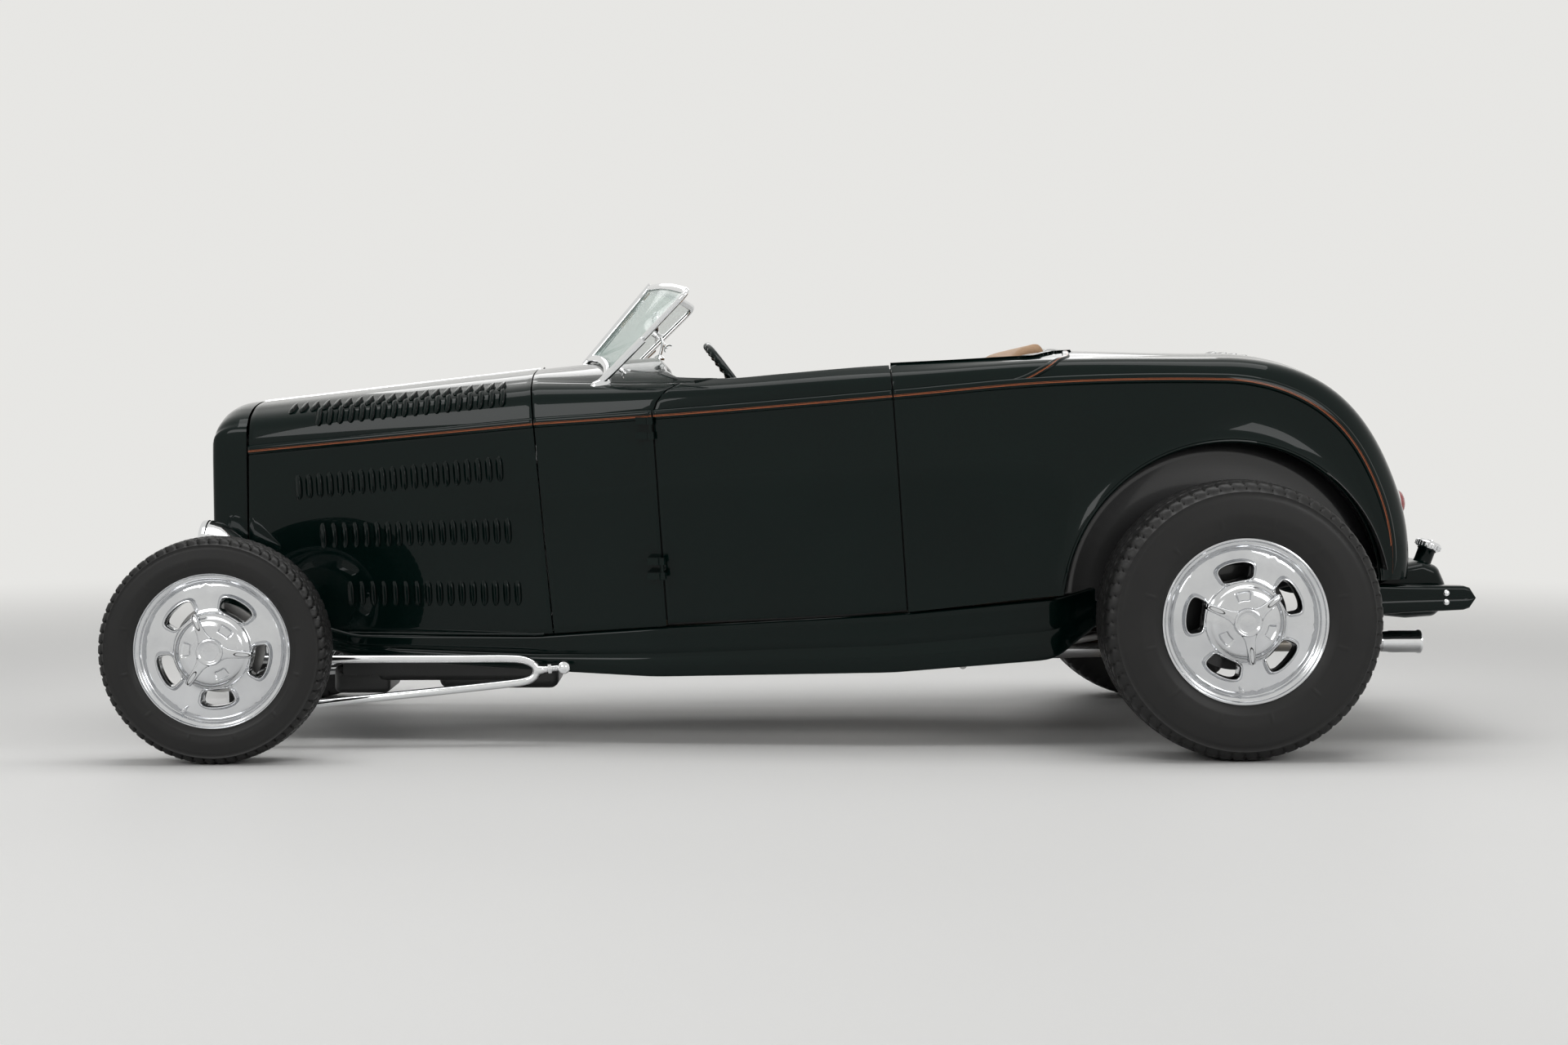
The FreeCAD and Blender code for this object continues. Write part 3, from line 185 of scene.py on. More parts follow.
# Polished cast aluminium: soft clouding and a fine grain of buffing marks
def polishedAlloy():
    finish = Finish("polishedAlloy", Metallic=1.0)
    cloud = finish.noise(0.05, 4.0)
    fine = finish.noise(0.0016, 2.0, (1, 0.2, 1))
    finish.give("Base Color", finish.mix(cloud, (0.56, 0.57, 0.59), (0.7, 0.71, 0.72)))
    finish.give("Roughness", 0.09 + cloud * 0.07)
    finish.bump(fine, 0.00012, 0.35)
    return finish.material


# Black rubber, a little greyer and duller in its dusty patches
def tyreRubber():
    finish = Finish("tyreRubber", Specular_IOR_Level=0.35)
    dust = finish.noise(0.09, 4.0)
    grain = finish.noise(0.0012, 3.0)
    finish.give("Base Color", finish.mix(dust, (0.004, 0.004, 0.0043), (0.011, 0.0107, 0.0102)))
    finish.give("Roughness", 0.34 + dust * 0.2)
    finish.bump(grain, 0.0003, 0.5)
    return finish.material


# Gloss black over castings, with a slight orange peel
def frameBlack():
    finish = Finish("frameBlack", Coat_Weight=0.6, Coat_Roughness=0.08)
    peel = finish.noise(0.004, 2.0)
    finish.give("Base Color", finish.mix(peel, (0.008, 0.008, 0.009), (0.017, 0.017, 0.018)))
    finish.give("Roughness", 0.3 + peel * 0.12)
    finish.bump(peel, 0.0003, 0.25)
    return finish.material


# Machined steel with a directional grain and faint brown heat marks
def satinSteel():
    finish = Finish("satinSteel", Metallic=1.0)
    grain = finish.noise(0.002, 3.0, (1, 8, 1))
    stain = finish.noise(0.06, 3.0)
    finish.give("Base Color", finish.mix(stain, (0.3, 0.3, 0.31), (0.45, 0.44, 0.42)))
    finish.give("Roughness", 0.26 + grain * 0.2)
    finish.bump(grain, 0.0002, 0.3)
    return finish.material


# Painted engine casting: rough sand-cast skin
def castIron():
    finish = Finish("castIron", Metallic=0.0, Coat_Weight=0.3, Coat_Roughness=0.2)
    skin = finish.noise(0.003, 4.0)
    finish.give("Base Color", finish.mix(skin, (0.012, 0.013, 0.013), (0.035, 0.036, 0.036)))
    finish.give("Roughness", 0.42 + skin * 0.25)
    finish.bump(skin, 0.0008, 0.6)
    return finish.material


# Polished pipe with straw-coloured heat tint in soft bands
def stainlessPipe():
    finish = Finish("stainlessPipe", Metallic=1.0)
    along = finish.noise(0.22, 2.0)
    finish.give("Base Color", finish.mix(along.ramp(0.45, 0.75), (0.56, 0.56, 0.57), (0.5, 0.44, 0.36)))
    finish.give("Roughness", 0.13 + along * 0.12)
    return finish.material


# Tan hide: pebbled grain and broad creases, with painted shade darkening their low places
def tanLeather():
    finish = Finish("tanLeather", Specular_IOR_Level=0.4, Sheen_Weight=0.08)
    pebble = finish.node("ShaderNodeTexVoronoi", {"feature": "DISTANCE_TO_EDGE"},
        {"Vector": finish.place(), "Scale": 420.0})
    crease = finish.noise(0.05, 4.0)
    tone = finish.mix(crease, (0.4, 0.235, 0.125), (0.56, 0.36, 0.205))
    # darker in the pebble valleys and where the creases lie lower: painted shade
    finish.give("Base Color", finish.mix(pebble.ramp(0.0, 0.12), (0.3, 0.17, 0.09), tone))
    finish.give("Roughness", 0.46 + crease * 0.14)
    finish.bump(pebble.ramp(0.0, 0.2) + crease * 0.8, 0.0006, 0.5)
    return finish.material


# Short tan loops in rows, with painted shade darkening the gaps between them
def loopCarpet():
    finish = Finish("loopCarpet", Specular_IOR_Level=0.1, Sheen_Weight=0.3, Roughness=0.95)
    loops = finish.node("ShaderNodeTexVoronoi", {"feature": "F1"}, {"Vector": finish.place(), "Scale": 330.0})
    patch = finish.noise(0.12, 3.0)
    tone = finish.mix(patch, (0.17, 0.105, 0.06), (0.27, 0.175, 0.105))
    # darker away from each loop's middle: painted shade between the loops
    finish.give("Base Color", finish.mix(loops.ramp(0.15, 0.7), tone, (0.07, 0.045, 0.028)))
    finish.bump(1.0 - loops, 0.0015, 0.8)
    return finish.material


# Laminated glass with a light green tint; mostly clear, gloss on its faces
def tintedGlass():
    finish = Finish("tintedGlass", Roughness=0.0, IOR=1.5, Metallic=0.0)
    smear = finish.noise(0.15, 2.0)
    finish.give("Base Color", finish.mix(smear, (0.5, 0.74, 0.66), (0.56, 0.79, 0.71)))
    finish.give("Alpha", 0.24 + smear * 0.03)
    return finish.material


# Ruby lens with fine rings pressed inside
def redLens():
    finish = Finish("redLens", Coat_Weight=1.0, Coat_Roughness=0.02, Emission_Strength=0.04)
    rings = finish.sine(finish.uv()[1] * 190.0)
    finish.give("Base Color", finish.mix(rings.ramp(-0.6, 0.9), (0.3, 0.006, 0.008), (0.55, 0.012, 0.014)))
    finish.give("Roughness", 0.12 + finish.noise(0.02) * 0.05)
    finish.give("Emission Color", (0.6, 0.02, 0.02))
    finish.bump(rings, 0.0006, 0.6)
    return finish.material


# Clear fluted lens over a bright reflector, drawn as one silvery surface
def lampGlass():
    finish = Finish("lampGlass", Coat_Weight=1.0, Coat_Roughness=0.01)
    flute = finish.sine(finish.xyz()[1] * 620.0)
    finish.give("Base Color", finish.mix(flute.ramp(-0.8, 0.8), (0.55, 0.58, 0.6), (0.86, 0.88, 0.88)))
    finish.give("Metallic", 0.75 + flute * 0.1)
    finish.give("Roughness", 0.16 + finish.noise(0.04) * 0.06)
    finish.bump(flute, 0.0008, 0.5)
    return finish.material


# Cream dial with a ring of tick marks worked out from the UV angle
def dialFace():
    finish = Finish("dialFace", Coat_Weight=1.0, Coat_Roughness=0.03, Roughness=0.4)
    around, outward = finish.uv()
    ticks = finish.node("ShaderNodeMath", {"operation": "FRACT"}, {0: around * 40.0}).below(0.16)
    marks = ticks * outward.above(0.72) * outward.below(0.88)
    finish.give("Base Color", finish.mix(marks, (0.72, 0.66, 0.52), (0.02, 0.02, 0.02)))
    return finish.material


# Soft seals and pads
def blackRubber():
    finish = Finish("blackRubber", Specular_IOR_Level=0.3)
    skin = finish.noise(0.004, 3.0)
    finish.give("Base Color", finish.mix(skin, (0.012, 0.012, 0.012), (0.026, 0.026, 0.026)))
    finish.give("Roughness", 0.6 + skin * 0.15)
    return finish.material


paint = bodyPaint()
stripedPaint = bodyPaint("stripedPaint", striped=True)
chrome = chromePlate()
alloy = polishedAlloy()
rubber = tyreRubber()
black = frameBlack()
steel = satinSteel()
casting = castIron()
stainless = stainlessPipe()
leather = tanLeather()
carpet = loopCarpet()
glass = tintedGlass()
ruby = redLens()
lens = lampGlass()
dial = dialFace()
seal = blackRubber()
slotFinish = {"body_paint": paint, "grille_paint": paint, "chrome": chrome, "wheel_aluminium": alloy,
    "tyre_rubber": rubber, "chassis_steel": steel, "chassis_black": black, "cast_engine": casting,
    "exhaust_steel": stainless, "tan_leather": leather, "carpet": carpet, "tinted_glass": glass,
    "red_lens": ruby}
for part in frame["record"]["subparts"]:
    node = frame["nodes"][part["node"]]
    slot = part["material_slot"]
    if slot in slotFinish:
        node.data.materials.clear()
        node.data.materials.append(slotFinish[slot])
print("finishes made")


# The whole circle in count steps
def wholeTurn(count):
    return np.linspace(0, 2 * np.pi, count, endpoint=False)


# Vectors brought to length one
def unit(vectors):
    length = np.linalg.norm(vectors, axis=-1)[..., None] if vectors.ndim > 1 else np.linalg.norm(vectors)
    return vectors / length


# A bell over zero, exp(-(value / width)^2)
def bell(value, width):
    return np.exp(-(value / width) ** 2)


# From 0 to 1 round zero, 1 / (1 + exp(-value / width))
def sharpStep(value, width):
    return 1 / (1 + np.exp(-value / width))


# Cosine and sine, their sizes raised to a power: under 1 it squares the circle off
def squaredTurn(turn, power):
    return tuple(np.sign(wave) * np.abs(wave) ** power for wave in (np.cos(turn), np.sin(turn)))


# The smooth cubic between two values that leave and arrive with the two leans
def cubicBetween(first, last, firstLean, lastLean, step):
    return (first * (1 + 2 * step) * (1 - step) ** 2 + firstLean * step * (1 - step) ** 2 + last * step ** 2
        * (3 - 2 * step) + lastLean * step ** 2 * (step - 1))


# Length run along a line of points up to each of them
def runAlong(points):
    return np.concatenate([[0], np.cumsum(np.linalg.norm(np.diff(points, axis=0), axis=1))])


# Quads of a rows x columns grid of points, wrapped round where asked
def gridQuads(rows, columns, closeRows=False, closeColumns=False):
    down = np.arange(rows if closeRows else rows - 1)
    along = np.arange(columns if closeColumns else columns - 1)
    first = (down[:, None] * columns + along[None, :]).ravel()
    right = (down[:, None] * columns + ((along + 1) % columns)[None, :]).ravel()
    below = (((down + 1) % rows)[:, None] * columns + along[None, :]).ravel()
    beyond = (((down + 1) % rows)[:, None] * columns + ((along + 1) % columns)[None, :]).ravel()
    return np.stack([first, right, beyond, below], axis=1)


# Several grids gathered into one mesh, each with its own UV
class Sheets:
    def __init__(self):
        self.points, self.quads, self.uvs = [], [], []
        self.count = 0

    def add(self, grid, closeRows=False, closeColumns=False, flip=False):
        grid = np.asarray(grid, float)
        rows, columns = grid.shape[:2]
        quads = gridQuads(rows, columns, closeRows, closeColumns)
        down, along = np.divmod(quads, columns)
        across = along / max(columns - 1, 1)
        downward = down / max(rows - 1, 1)
        if closeColumns:
            across[:, 1:3] = np.where(along[:, 1:3] == 0, columns / (columns - 1), across[:, 1:3])
        if flip:
            quads, across, downward = quads[:, ::-1], across[:, ::-1], downward[:, ::-1]
        self.points.append(grid.reshape(-1, 3))
        self.quads.append(quads + self.count)
        self.uvs.append(np.stack([across, downward], axis=2).reshape(-1, 2))
        self.count += rows * columns
        return self

    # A grid closed round its columns
    def ring(self, grid, flip=False):
        return self.add(grid, closeColumns=True, flip=flip)

    def lathe(self, profile, centre, axis=(0, 1, 0), count=96, flip=False):
        return self.ring(turned(profile, centre, axis, count), flip)

    def pipe(self, path, radius, count=20, up=(0, 0, 1), squash=1.0):
        return self.ring(tube(path, radius, count, up, squash), True)

    def block(self, low, high, soft=0.003, steps=3):
        return self.ring(roundBlock(low, high, soft, steps))

    # A left grid laid on either side of the car
    def onSide(self, grid, mirror):
        return self.add(grid * (1, mirror, 1), flip=mirror < 0)

    # The same sheets laid on one side only
    def sideOnly(self, mirror):
        side = Sheets()
        side.points = [points * (1, mirror, 1) for points in self.points]
        side.quads = [quads[:, ::mirror] for quads in self.quads]
        side.uvs, side.count = self.uvs, self.count
        return side

    # The same sheets again on the other side of the car
    def mirrored(self):
        for index in range(len(self.points)):
            other = self.points[index] * (1, -1, 1)
            shift = sum(len(points) for points in self.points[:index])
            self.points.append(other)
            self.quads.append((self.quads[index] - shift)[:, ::-1] + self.count)
            self.uvs.append(self.uvs[index].reshape(-1, 4, 2)[:, ::-1].reshape(-1, 2))
            self.count += len(other)
        return self

    # A piece whose faces are all turned to look outwards
    def solid(self, name, body, finish, **dressing):
        return self.piece(name, body, finish, recalculate=True, **dressing)

    def piece(self, name, body, finish, weld=0.0, recalculate=False, **dressing):
        mesh = bpy.data.meshes.new(name)
        points = np.concatenate(self.points)
        quads = np.concatenate(self.quads)
        mesh.vertices.add(len(points))
        mesh.vertices.foreach_set("co", points.ravel())
        mesh.loops.add(quads.size)
        mesh.loops.foreach_set("vertex_index", quads.ravel().astype(np.int32))
        mesh.polygons.add(len(quads))
        mesh.polygons.foreach_set("loop_start", np.arange(0, quads.size, 4, dtype=np.int32))
        layer = mesh.uv_layers.new(name="UVMap")
        layer.data.foreach_set("uv", np.concatenate(self.uvs).ravel())
        mesh.update(calc_edges=True)
        mesh.validate()
        if weld or recalculate:
            shape = bmesh.new()
            shape.from_mesh(mesh)
            if weld:
                bmesh.ops.remove_doubles(shape, verts=shape.verts, dist=weld)
                bmesh.ops.dissolve_degenerate(shape, edges=shape.edges, dist=1e-7)
            if recalculate:
                bmesh.ops.recalc_face_normals(shape, faces=shape.faces)
            shape.to_mesh(mesh)
            shape.free()
        return dress(mesh, name, body, finish, **dressing)


# Gives a mesh its finish, smooth shading with sharp edges past an angle, and its last modifiers
def dress(mesh, name, body, finish, sharp=40, wall=0.0, bevel=0.0, replaces=(), slot=None):
    piece = bpy.data.objects.new(name, mesh)
    bpy.context.scene.collection.objects.link(piece)
    mesh.materials.append(finish)
    mesh.shade_smooth()
    mesh.set_sharp_from_angle(angle=math.radians(sharp))
    if wall:
        thick = piece.modifiers.new("wall", "SOLIDIFY")
        thick.thickness, thick.offset, thick.use_even_offset = wall, -1, False
        thick.use_rim = True
    if bevel:
        soft = piece.modifiers.new("softEdges", "BEVEL")
        soft.width, soft.segments, soft.limit_method = bevel, 2, "ANGLE"
        soft.angle_limit = math.radians(50)
        soft.harden_normals = False
    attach(piece, body)
    if replaces:
        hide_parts(*replaces)
    return piece


# A profile of (along, radius) points turned about an axis through the centre, a grid closed round it. A radius
# of 0 stays a hair off the axis, so that the last ring of faces keeps its shape.
def turned(profile, centre, axis=(0, 1, 0), count=96):
    profile = np.asarray(profile, float)
    profile[:, 1] = np.maximum(profile[:, 1], 0.0001)
    axis = np.asarray(axis, float) / np.linalg.norm(axis)
    side = unit(np.cross(axis, (0, 0, 1) if abs(axis[2]) < 0.9 else (1, 0, 0)))
    other = np.cross(axis, side)
    angle = wholeTurn(count)
    ring = np.cos(angle)[:, None] * side + np.sin(angle)[:, None] * other
    return np.asarray(centre) + profile[:, None, :1] * axis + profile[:, None, 1:] * ring[None, :, :]


# A Catmull-Rom curve through the points, at count even places
def smoothPath(points, count):
    points = np.asarray(points, float)
    padded = np.concatenate([[2 * points[0] - points[1]], points, [2 * points[-1] - points[-2]]])
    place = np.linspace(0, len(points) - 1, count * 4)
    index = np.clip(place.astype(int), 0, len(points) - 2)
    step = (place - index)[:, None]
    before, first, last, after = (padded[index + shift] for shift in range(4))
    curve = 0.5 * (2 * first + (last - before) * step + (2 * before - 5 * first + 4 * last - after) * step ** 2
        + (3 * first - before - 3 * last + after) * step ** 3)
    run = runAlong(curve)
    even = np.linspace(0, run[-1], count)
    return np.stack([np.interp(even, run, curve[:, axis]) for axis in range(3)], axis=1)


# Straight runs joined by arcs of the bend radius
def straightPath(points, bend, count=8):
    points = [np.asarray(point, float) for point in points]
    path = [points[0]]
    for before, corner, after in zip(points, points[1:], points[2:]):
        into = (corner - before) / np.linalg.norm(corner - before)
        out = (after - corner) / np.linalg.norm(after - corner)
        reach = bend * math.tan(math.acos(np.clip(into @ out, -1, 1)) / 2)
        step = np.linspace(0, 1, count)[:, None]
        first, last = corner - into * reach, corner + out * reach
        path.extend((1 - step) ** 2 * first + 2 * step * (1 - step) * corner + step ** 2 * last)
    path.append(points[-1])
    return np.array(path)


# A section of (sideways, up) points carried along a path; size scales it at each place
def along(path, section, up=(0, 0, 1), size=None):
    path = np.asarray(path, float)
    ahead = np.gradient(path, axis=0)
    ahead = unit(ahead)
    side = unit(np.cross(ahead, np.broadcast_to(np.asarray(up, float), path.shape)))
    top = np.cross(side, ahead)
    section = np.asarray(section, float)
    size = np.ones(len(path)) if size is None else np.asarray(size)
    return (path[:, None, :] + side[:, None, :] * section[None, :, :1] * size[:, None, None] + top[:, None, :]
        * section[None, :, 1:] * size[:, None, None])


def circle(radius, count=20, squash=1.0):
    angle = wholeTurn(count)
    return np.stack([np.cos(angle) * radius, np.sin(angle) * radius * squash], axis=1)


# A tube's grid with its two ends closed by a point at the middle of each
def capped(grid):
    first = np.broadcast_to(grid[0].mean(axis=0), grid[0].shape)
    last = np.broadcast_to(grid[-1].mean(axis=0), grid[-1].shape)
    return np.concatenate([first[None], grid, last[None]])


def tube(path, radius, count=20, up=(0, 0, 1), squash=1.0):
    return capped(along(path, circle(radius, count, squash), up))


# A block with rounded edges: a cube grid whose points are pushed out from an inner block by soft
def roundBlock(low, high, soft=0.003, steps=3):
    low, high = np.asarray(low, float), np.asarray(high, float)
    angle = np.linspace(0, np.pi / 2, steps + 1)
    ring = []
    for quarter, (signX, signY) in enumerate([(1, 1), (-1, 1), (-1, -1), (1, -1)]):
        turn = angle + quarter * np.pi / 2
        corner = np.array([signX, signY])
        half = (high[:2] - low[:2]) / 2 - soft
        ring.append(corner * half + np.stack([np.cos(turn), np.sin(turn)], axis=1) * soft)
    ring = np.concatenate(ring)
    middle = (low + high) / 2
    inner = np.sign(ring) * ((high[:2] - low[:2]) / 2 - soft)
    rows = []
    for turn in np.linspace(-np.pi / 2, np.pi / 2, 2 * steps + 2):
        level = math.copysign((high[2] - low[2]) / 2 - soft, turn) + math.sin(turn) * soft
        rows.append(np.column_stack([inner + (ring - inner) * math.cos(turn), np.full(len(ring), level)]))
    grid = np.array(rows) + middle
    return capped(grid)


# The body's one outer surface, from which every painted panel is taken
# Stations behind the rear axle; heights of the last three are reaches from the tail pivot plus its height.
bodyShape = dict(place=np.array([-2.698, -1.881, -1.554, -0.903, -0.487, -0.01, 0.29, 0.59, 0.89]),
    bottom=np.array([0.3, 0.304, 0.329, 0.369, 0.415, 0.455, 0.455, 0.455, 0.455]),
    bottomHalf=np.array([0.265, 0.395, 0.44, 0.5, 0.515, 0.52, 0.505, 0.46, 0.42]),
    belt=np.array([0.811, 0.889, 0.911, 0.965, 1.001, 1.009, 0.997, 0.958, 0.943]),
    beltHalf=np.array([0.275, 0.43, 0.48, 0.545, 0.56, 0.555, 0.54, 0.503, 0.45]),
    shoulder=np.array([0.925, 1.01, 1.005, 1.038, 1.068, 1.072, 1.077, 1.035, 1.015]),
    shoulderHalf=np.array([0.19, 0.32, 0.41, 0.505, 0.48, 0.44, 0.41, 0.345, 0.3]),
    top=np.array([0.95, 1.046, 1.078, 1.078, 1.098, 1.09, 1.1, 1.058, 1.037]), pivotHeight=0.455,
    tailStart=-0.01, tailRadius=0.9 / (np.pi / 2), sideBulge=0.01, )
tailPivotX = rearAxle + bodyShape["tailStart"]
# Arounds just over the belt and just short of the centre line, between which the upper edges are looked for
aboveBelt, nearCentre = 1.05, 4.99


# A section size at places along the car: straight over the hood, a smooth cubic from there to the tail
def bodyValue(name, place):
    stations, values = bodyShape["place"], bodyShape[name]
    place = np.asarray(place, float)
    slope = np.gradient(values, stations)
    slope[1] = (values[2] - values[1]) / (stations[2] - stations[1])
    index = np.clip(np.searchsorted(stations, place) - 1, 0, len(stations) - 2)
    length = stations[index + 1] - stations[index]
    step = (place - stations[index]) / length
    first, last = values[index], values[index + 1]
    cubic = cubicBetween(first, last, slope[index] * length, slope[index + 1] * length, step)
    return np.where(index == 0, first + (last - first) * step, cubic)


# The outer surface. place runs back from the hood front and then round the tail; around goes from the bottom
# edge (0) to the belt (1) and over the shoulder to the centre line (5). The left side is minus y.
def bodyPoint(place, around):
    place, around = np.broadcast_arrays(np.asarray(place, float), np.asarray(around, float))
    belt, beltHalf, shoulder, shoulderHalf, top, bottom, bottomHalf = (bodyValue(name, place)
        for name in ("belt", "beltHalf", "shoulder", "shoulderHalf", "top", "bottom", "bottomHalf"))
    side = np.clip(around, -1, 1)
    bulge = bodyShape["sideBulge"] * np.sin(np.pi * np.clip(side, 0, 1))
    sideHalf = bottomHalf + (beltHalf - bottomHalf) * side + bulge
    sideHeight = bottom + (belt - bottom) * side
    knots = np.stack([np.stack([beltHalf, belt], -1), np.stack([beltHalf - (beltHalf - shoulderHalf) * 0.22,
        belt + (shoulder - belt) * 0.68], -1), np.stack([shoulderHalf, shoulder], -1),
        np.stack([shoulderHalf * 0.5, top - (top - shoulder) * 0.25], -1),
        np.stack([shoulderHalf * 0.0, top], -1)])
    spans = np.linalg.norm(np.diff(knots, axis=0), axis=-1)[..., None]
    chords = np.diff(knots, axis=0) / spans
    lean = np.empty_like(knots)
    lean[1:-1] = (chords[1:] * spans[:-1] + chords[:-1] * spans[1:]) / (spans[1:] + spans[:-1])
    lean[0] = chords[0] * 1.5 - lean[1] * 0.5
    lean[-1] = np.stack([-np.ones_like(top), np.zeros_like(top)], -1)
    over = np.clip(around - 1, 0, 3.9999)
    index = over.astype(int)[None, ..., None]
    step = (np.clip(around - 1, 0, 4) - over.astype(int))[..., None]

    def picked(table, shift=0):
        return np.take_along_axis(table, np.minimum(index + shift, len(table) - 1), axis=0)[0]

    first, last, span = picked(knots), picked(knots, 1), picked(spans)
    curve = cubicBetween(first, last, picked(lean) * span, picked(lean, 1) * span, step)
    half = np.where(around < 1, sideHalf, curve[..., 0])
    height = np.where(around < 1, sideHeight, curve[..., 1])
    turn = np.clip((place - bodyShape["tailStart"]) / bodyShape["tailRadius"], 0, np.pi / 2)
    reach = height - bodyShape["pivotHeight"]
    x = np.where(turn > 0, tailPivotX + np.sin(turn) * reach, rearAxle + place)
    z = np.where(turn > 0, bodyShape["pivotHeight"] + np.cos(turn) * reach, height)
    return np.stack([x, -half, z], -1)


# Outward normal of the body surface, from small steps both ways
def bodyNormal(place, around):
    small = 1e-4
    acrossStep = bodyPoint(place + small, around) - bodyPoint(place - small, around)
    upStep = bodyPoint(place, around + small * 4) - bodyPoint(place, around - small * 4)
    normal = np.cross(acrossStep, upStep)
    return normal / np.maximum(np.linalg.norm(normal, axis=-1), 1e-12)[..., None]


# Where on the section its half width (or height) meets the target, by halving
def aroundFor(place, target, low=0.0, high=5.0, kind="half"):
    place, target = np.broadcast_arrays(np.asarray(place, float), np.asarray(target, float))
    low, high = np.full(place.shape, float(low)), np.full(place.shape, float(high))
    for _ in range(26):
        middle = (low + high) / 2
        point = bodyPoint(place, middle)
        inside = -point[..., 1] > target if kind == "half" else point[..., 2] < target
        low, high = np.where(inside, middle, low), np.where(inside, high, middle)
    return (low + high) / 2


# Lines on the body, seen from the side (x, z) or from above (x, half width)
panelLines = dict(
    gap=0.0042,
    hoodSeam=((-1.9, 1.06), (-1.827, 0.23)),  # its top and its bottom, ahead of the cowl
    hoodStart=-2.698 + 0.002 + 0.004,
    doorFront=((-1.519, 0.333), (-1.5575, 0.911), (-1.545, 0.948), (-1.52, 0.978), (-1.478, 1.0),
               (-1.44, 1.012)),
    doorRear=((-0.862, 0.372), (-0.9095, 1.0), (-0.913, 1.06)),
    archCentre=(0.004, 0.395), archRadius=0.445,
    cockpitHalf=((-1.536, 0.25), (-1.531, 0.33), (-1.5, 0.405), (-1.38, 0.448), (-1.2, 0.474),
                 (-0.903, 0.492), (-0.7, 0.491), (-0.56, 0.483)),
    cockpitBack=-0.445, quarterStart=-0.56, lidFront=-0.395, lidLow=0.565,
    lidHalf=((-0.395, 0.372), (0.5, 0.315), (0.7, 0.3)),
    cockpitBow=0.022, rollRadius=0.011, doorRange=(0.333, 1.012), doorRearRange=(0.372, 1.06),
)


# The other coordinate of a broken line at a value of one coordinate
def lineAt(points, value, key=1):
    points = np.array(points)
    order = np.argsort(points[:, key])
    return np.interp(value, points[order, key], points[order, 1 - key])


# As lineAt along x, but through a smooth cubic
def smoothLine(points, value):
    points = np.array(points)
    slope = np.gradient(points[:, 1], points[:, 0])
    index = np.clip(np.searchsorted(points[:, 0], value) - 1, 0, len(points) - 2)
    length = points[index + 1, 0] - points[index, 0]
    step = np.clip((value - points[index, 0]) / length, 0, 1)
    first, last = points[index, 1], points[index + 1, 1]
    return cubicBetween(first, last, slope[index] * length, slope[index + 1] * length, step)


# Places and arounds of a panel's grid. front and rear give x at a height, low and high give around at a
# place; columns and rows run 0 to 1. Solved by a few rounds, since each edge leans on the other.
def panelField(front, rear, low, high, columns, rows):
    columns, rows = np.asarray(columns)[None, :], np.asarray(rows)[:, None]
    place = front(0.6) + (rear(0.6) - front(0.6)) * columns + rows * 0
    around = 1.0 + rows * 0 + columns * 0
    for _ in range(8):
        around = low(place) + (high(place) - low(place)) * rows
        height = bodyPoint(place, around)[..., 2]
        start, end = front(height[:, :1]), rear(height[:, -1:])
        place = start + (end - start) * columns
    return place, low(place) + (high(place) - low(place)) * rows


# Even steps drawn towards both ends
def clustered(count, power=1.6):
    step = np.linspace(-1, 1, count)
    return 0.5 + 0.5 * np.sign(step) * (1 - (1 - np.abs(step)) ** power)


# Extra rows that roll an edge inwards and down from the last row of a panel
def rolled(place, around, radius, end=2.6, steps=9):
    edge = bodyPoint(place, around)
    normal = bodyNormal(place, around)
    ahead = np.gradient(edge, axis=0)
    inward = unit(np.cross(normal, ahead))
    inward *= np.where((inward[:, 1] > 0)[:, None], 1, -1)
    turn = np.linspace(0, end, steps)[1:, None, None]
    return edge + radius * (np.sin(turn) * inward - (1 - np.cos(turn)) * normal)


gap = panelLines["gap"]


def hoodSeamAt(height, shift=0.0):
    (x0, z0), (x1, z1) = panelLines["hoodSeam"]
    return x0 + (np.asarray(height) - z0) * (x1 - x0) / (z1 - z0) + shift


def constant(value):
    return lambda place: np.zeros_like(np.asarray(place, float)) + value


# The doors' front and rear lines at a height
def doorFrontAt(height):
    return lineAt(panelLines["doorFront"], np.clip(height, *panelLines["doorRange"]))


def doorRearAt(height):
    return lineAt(panelLines["doorRear"], np.clip(height, *panelLines["doorRearRange"]))


# The change in around, near the belt, that moves an edge down by size metres
def sideGap(place, size):
    return size / (bodyValue("belt", place) - bodyValue("bottom", place))


# Hood sides under the belt and two tops that meet at the centre bead
def hoodPanels():
    columns = np.linspace(0, 1, 56)
    front, rear = constant(panelLines["hoodStart"]), lambda height: hoodSeamAt(height, -gap / 2)
    side = panelField(front, rear, constant(0.0), lambda place: 1 - sideGap(place, 0.0045), columns,
        np.linspace(0, 1, 30))
    Sheets().add(bodyPoint(*side)).mirrored().piece("hoodSides", "chassis", paint, wall=0.004, bevel=0.0008,
        replaces=("hood_sides",), slot="body_paint")
    top = panelField(front, rear, constant(1.0), lambda place: aroundFor(place, 0.0055, 4.0), columns,
        clustered(70, 1.3))
    grid = bodyPoint(*top)
    for label, side, mirror in bothSides:
        Sheets().onSide(grid, mirror).piece("hoodTop" + label, side + "_hood", paint, wall=0.004, bevel=0.0008,
            replaces=("hood_top_" + side,), slot="body_paint")
    print("hood panels made")


# around at the cockpit's rim, ahead of the rounded back corners
def cockpitEdge(place):
    rim = panelLines["cockpitHalf"]
    half = smoothLine(rim, np.clip(place, rim[0][0], rim[-1][0]))
    return aroundFor(place, half, aboveBelt, nearCentre)


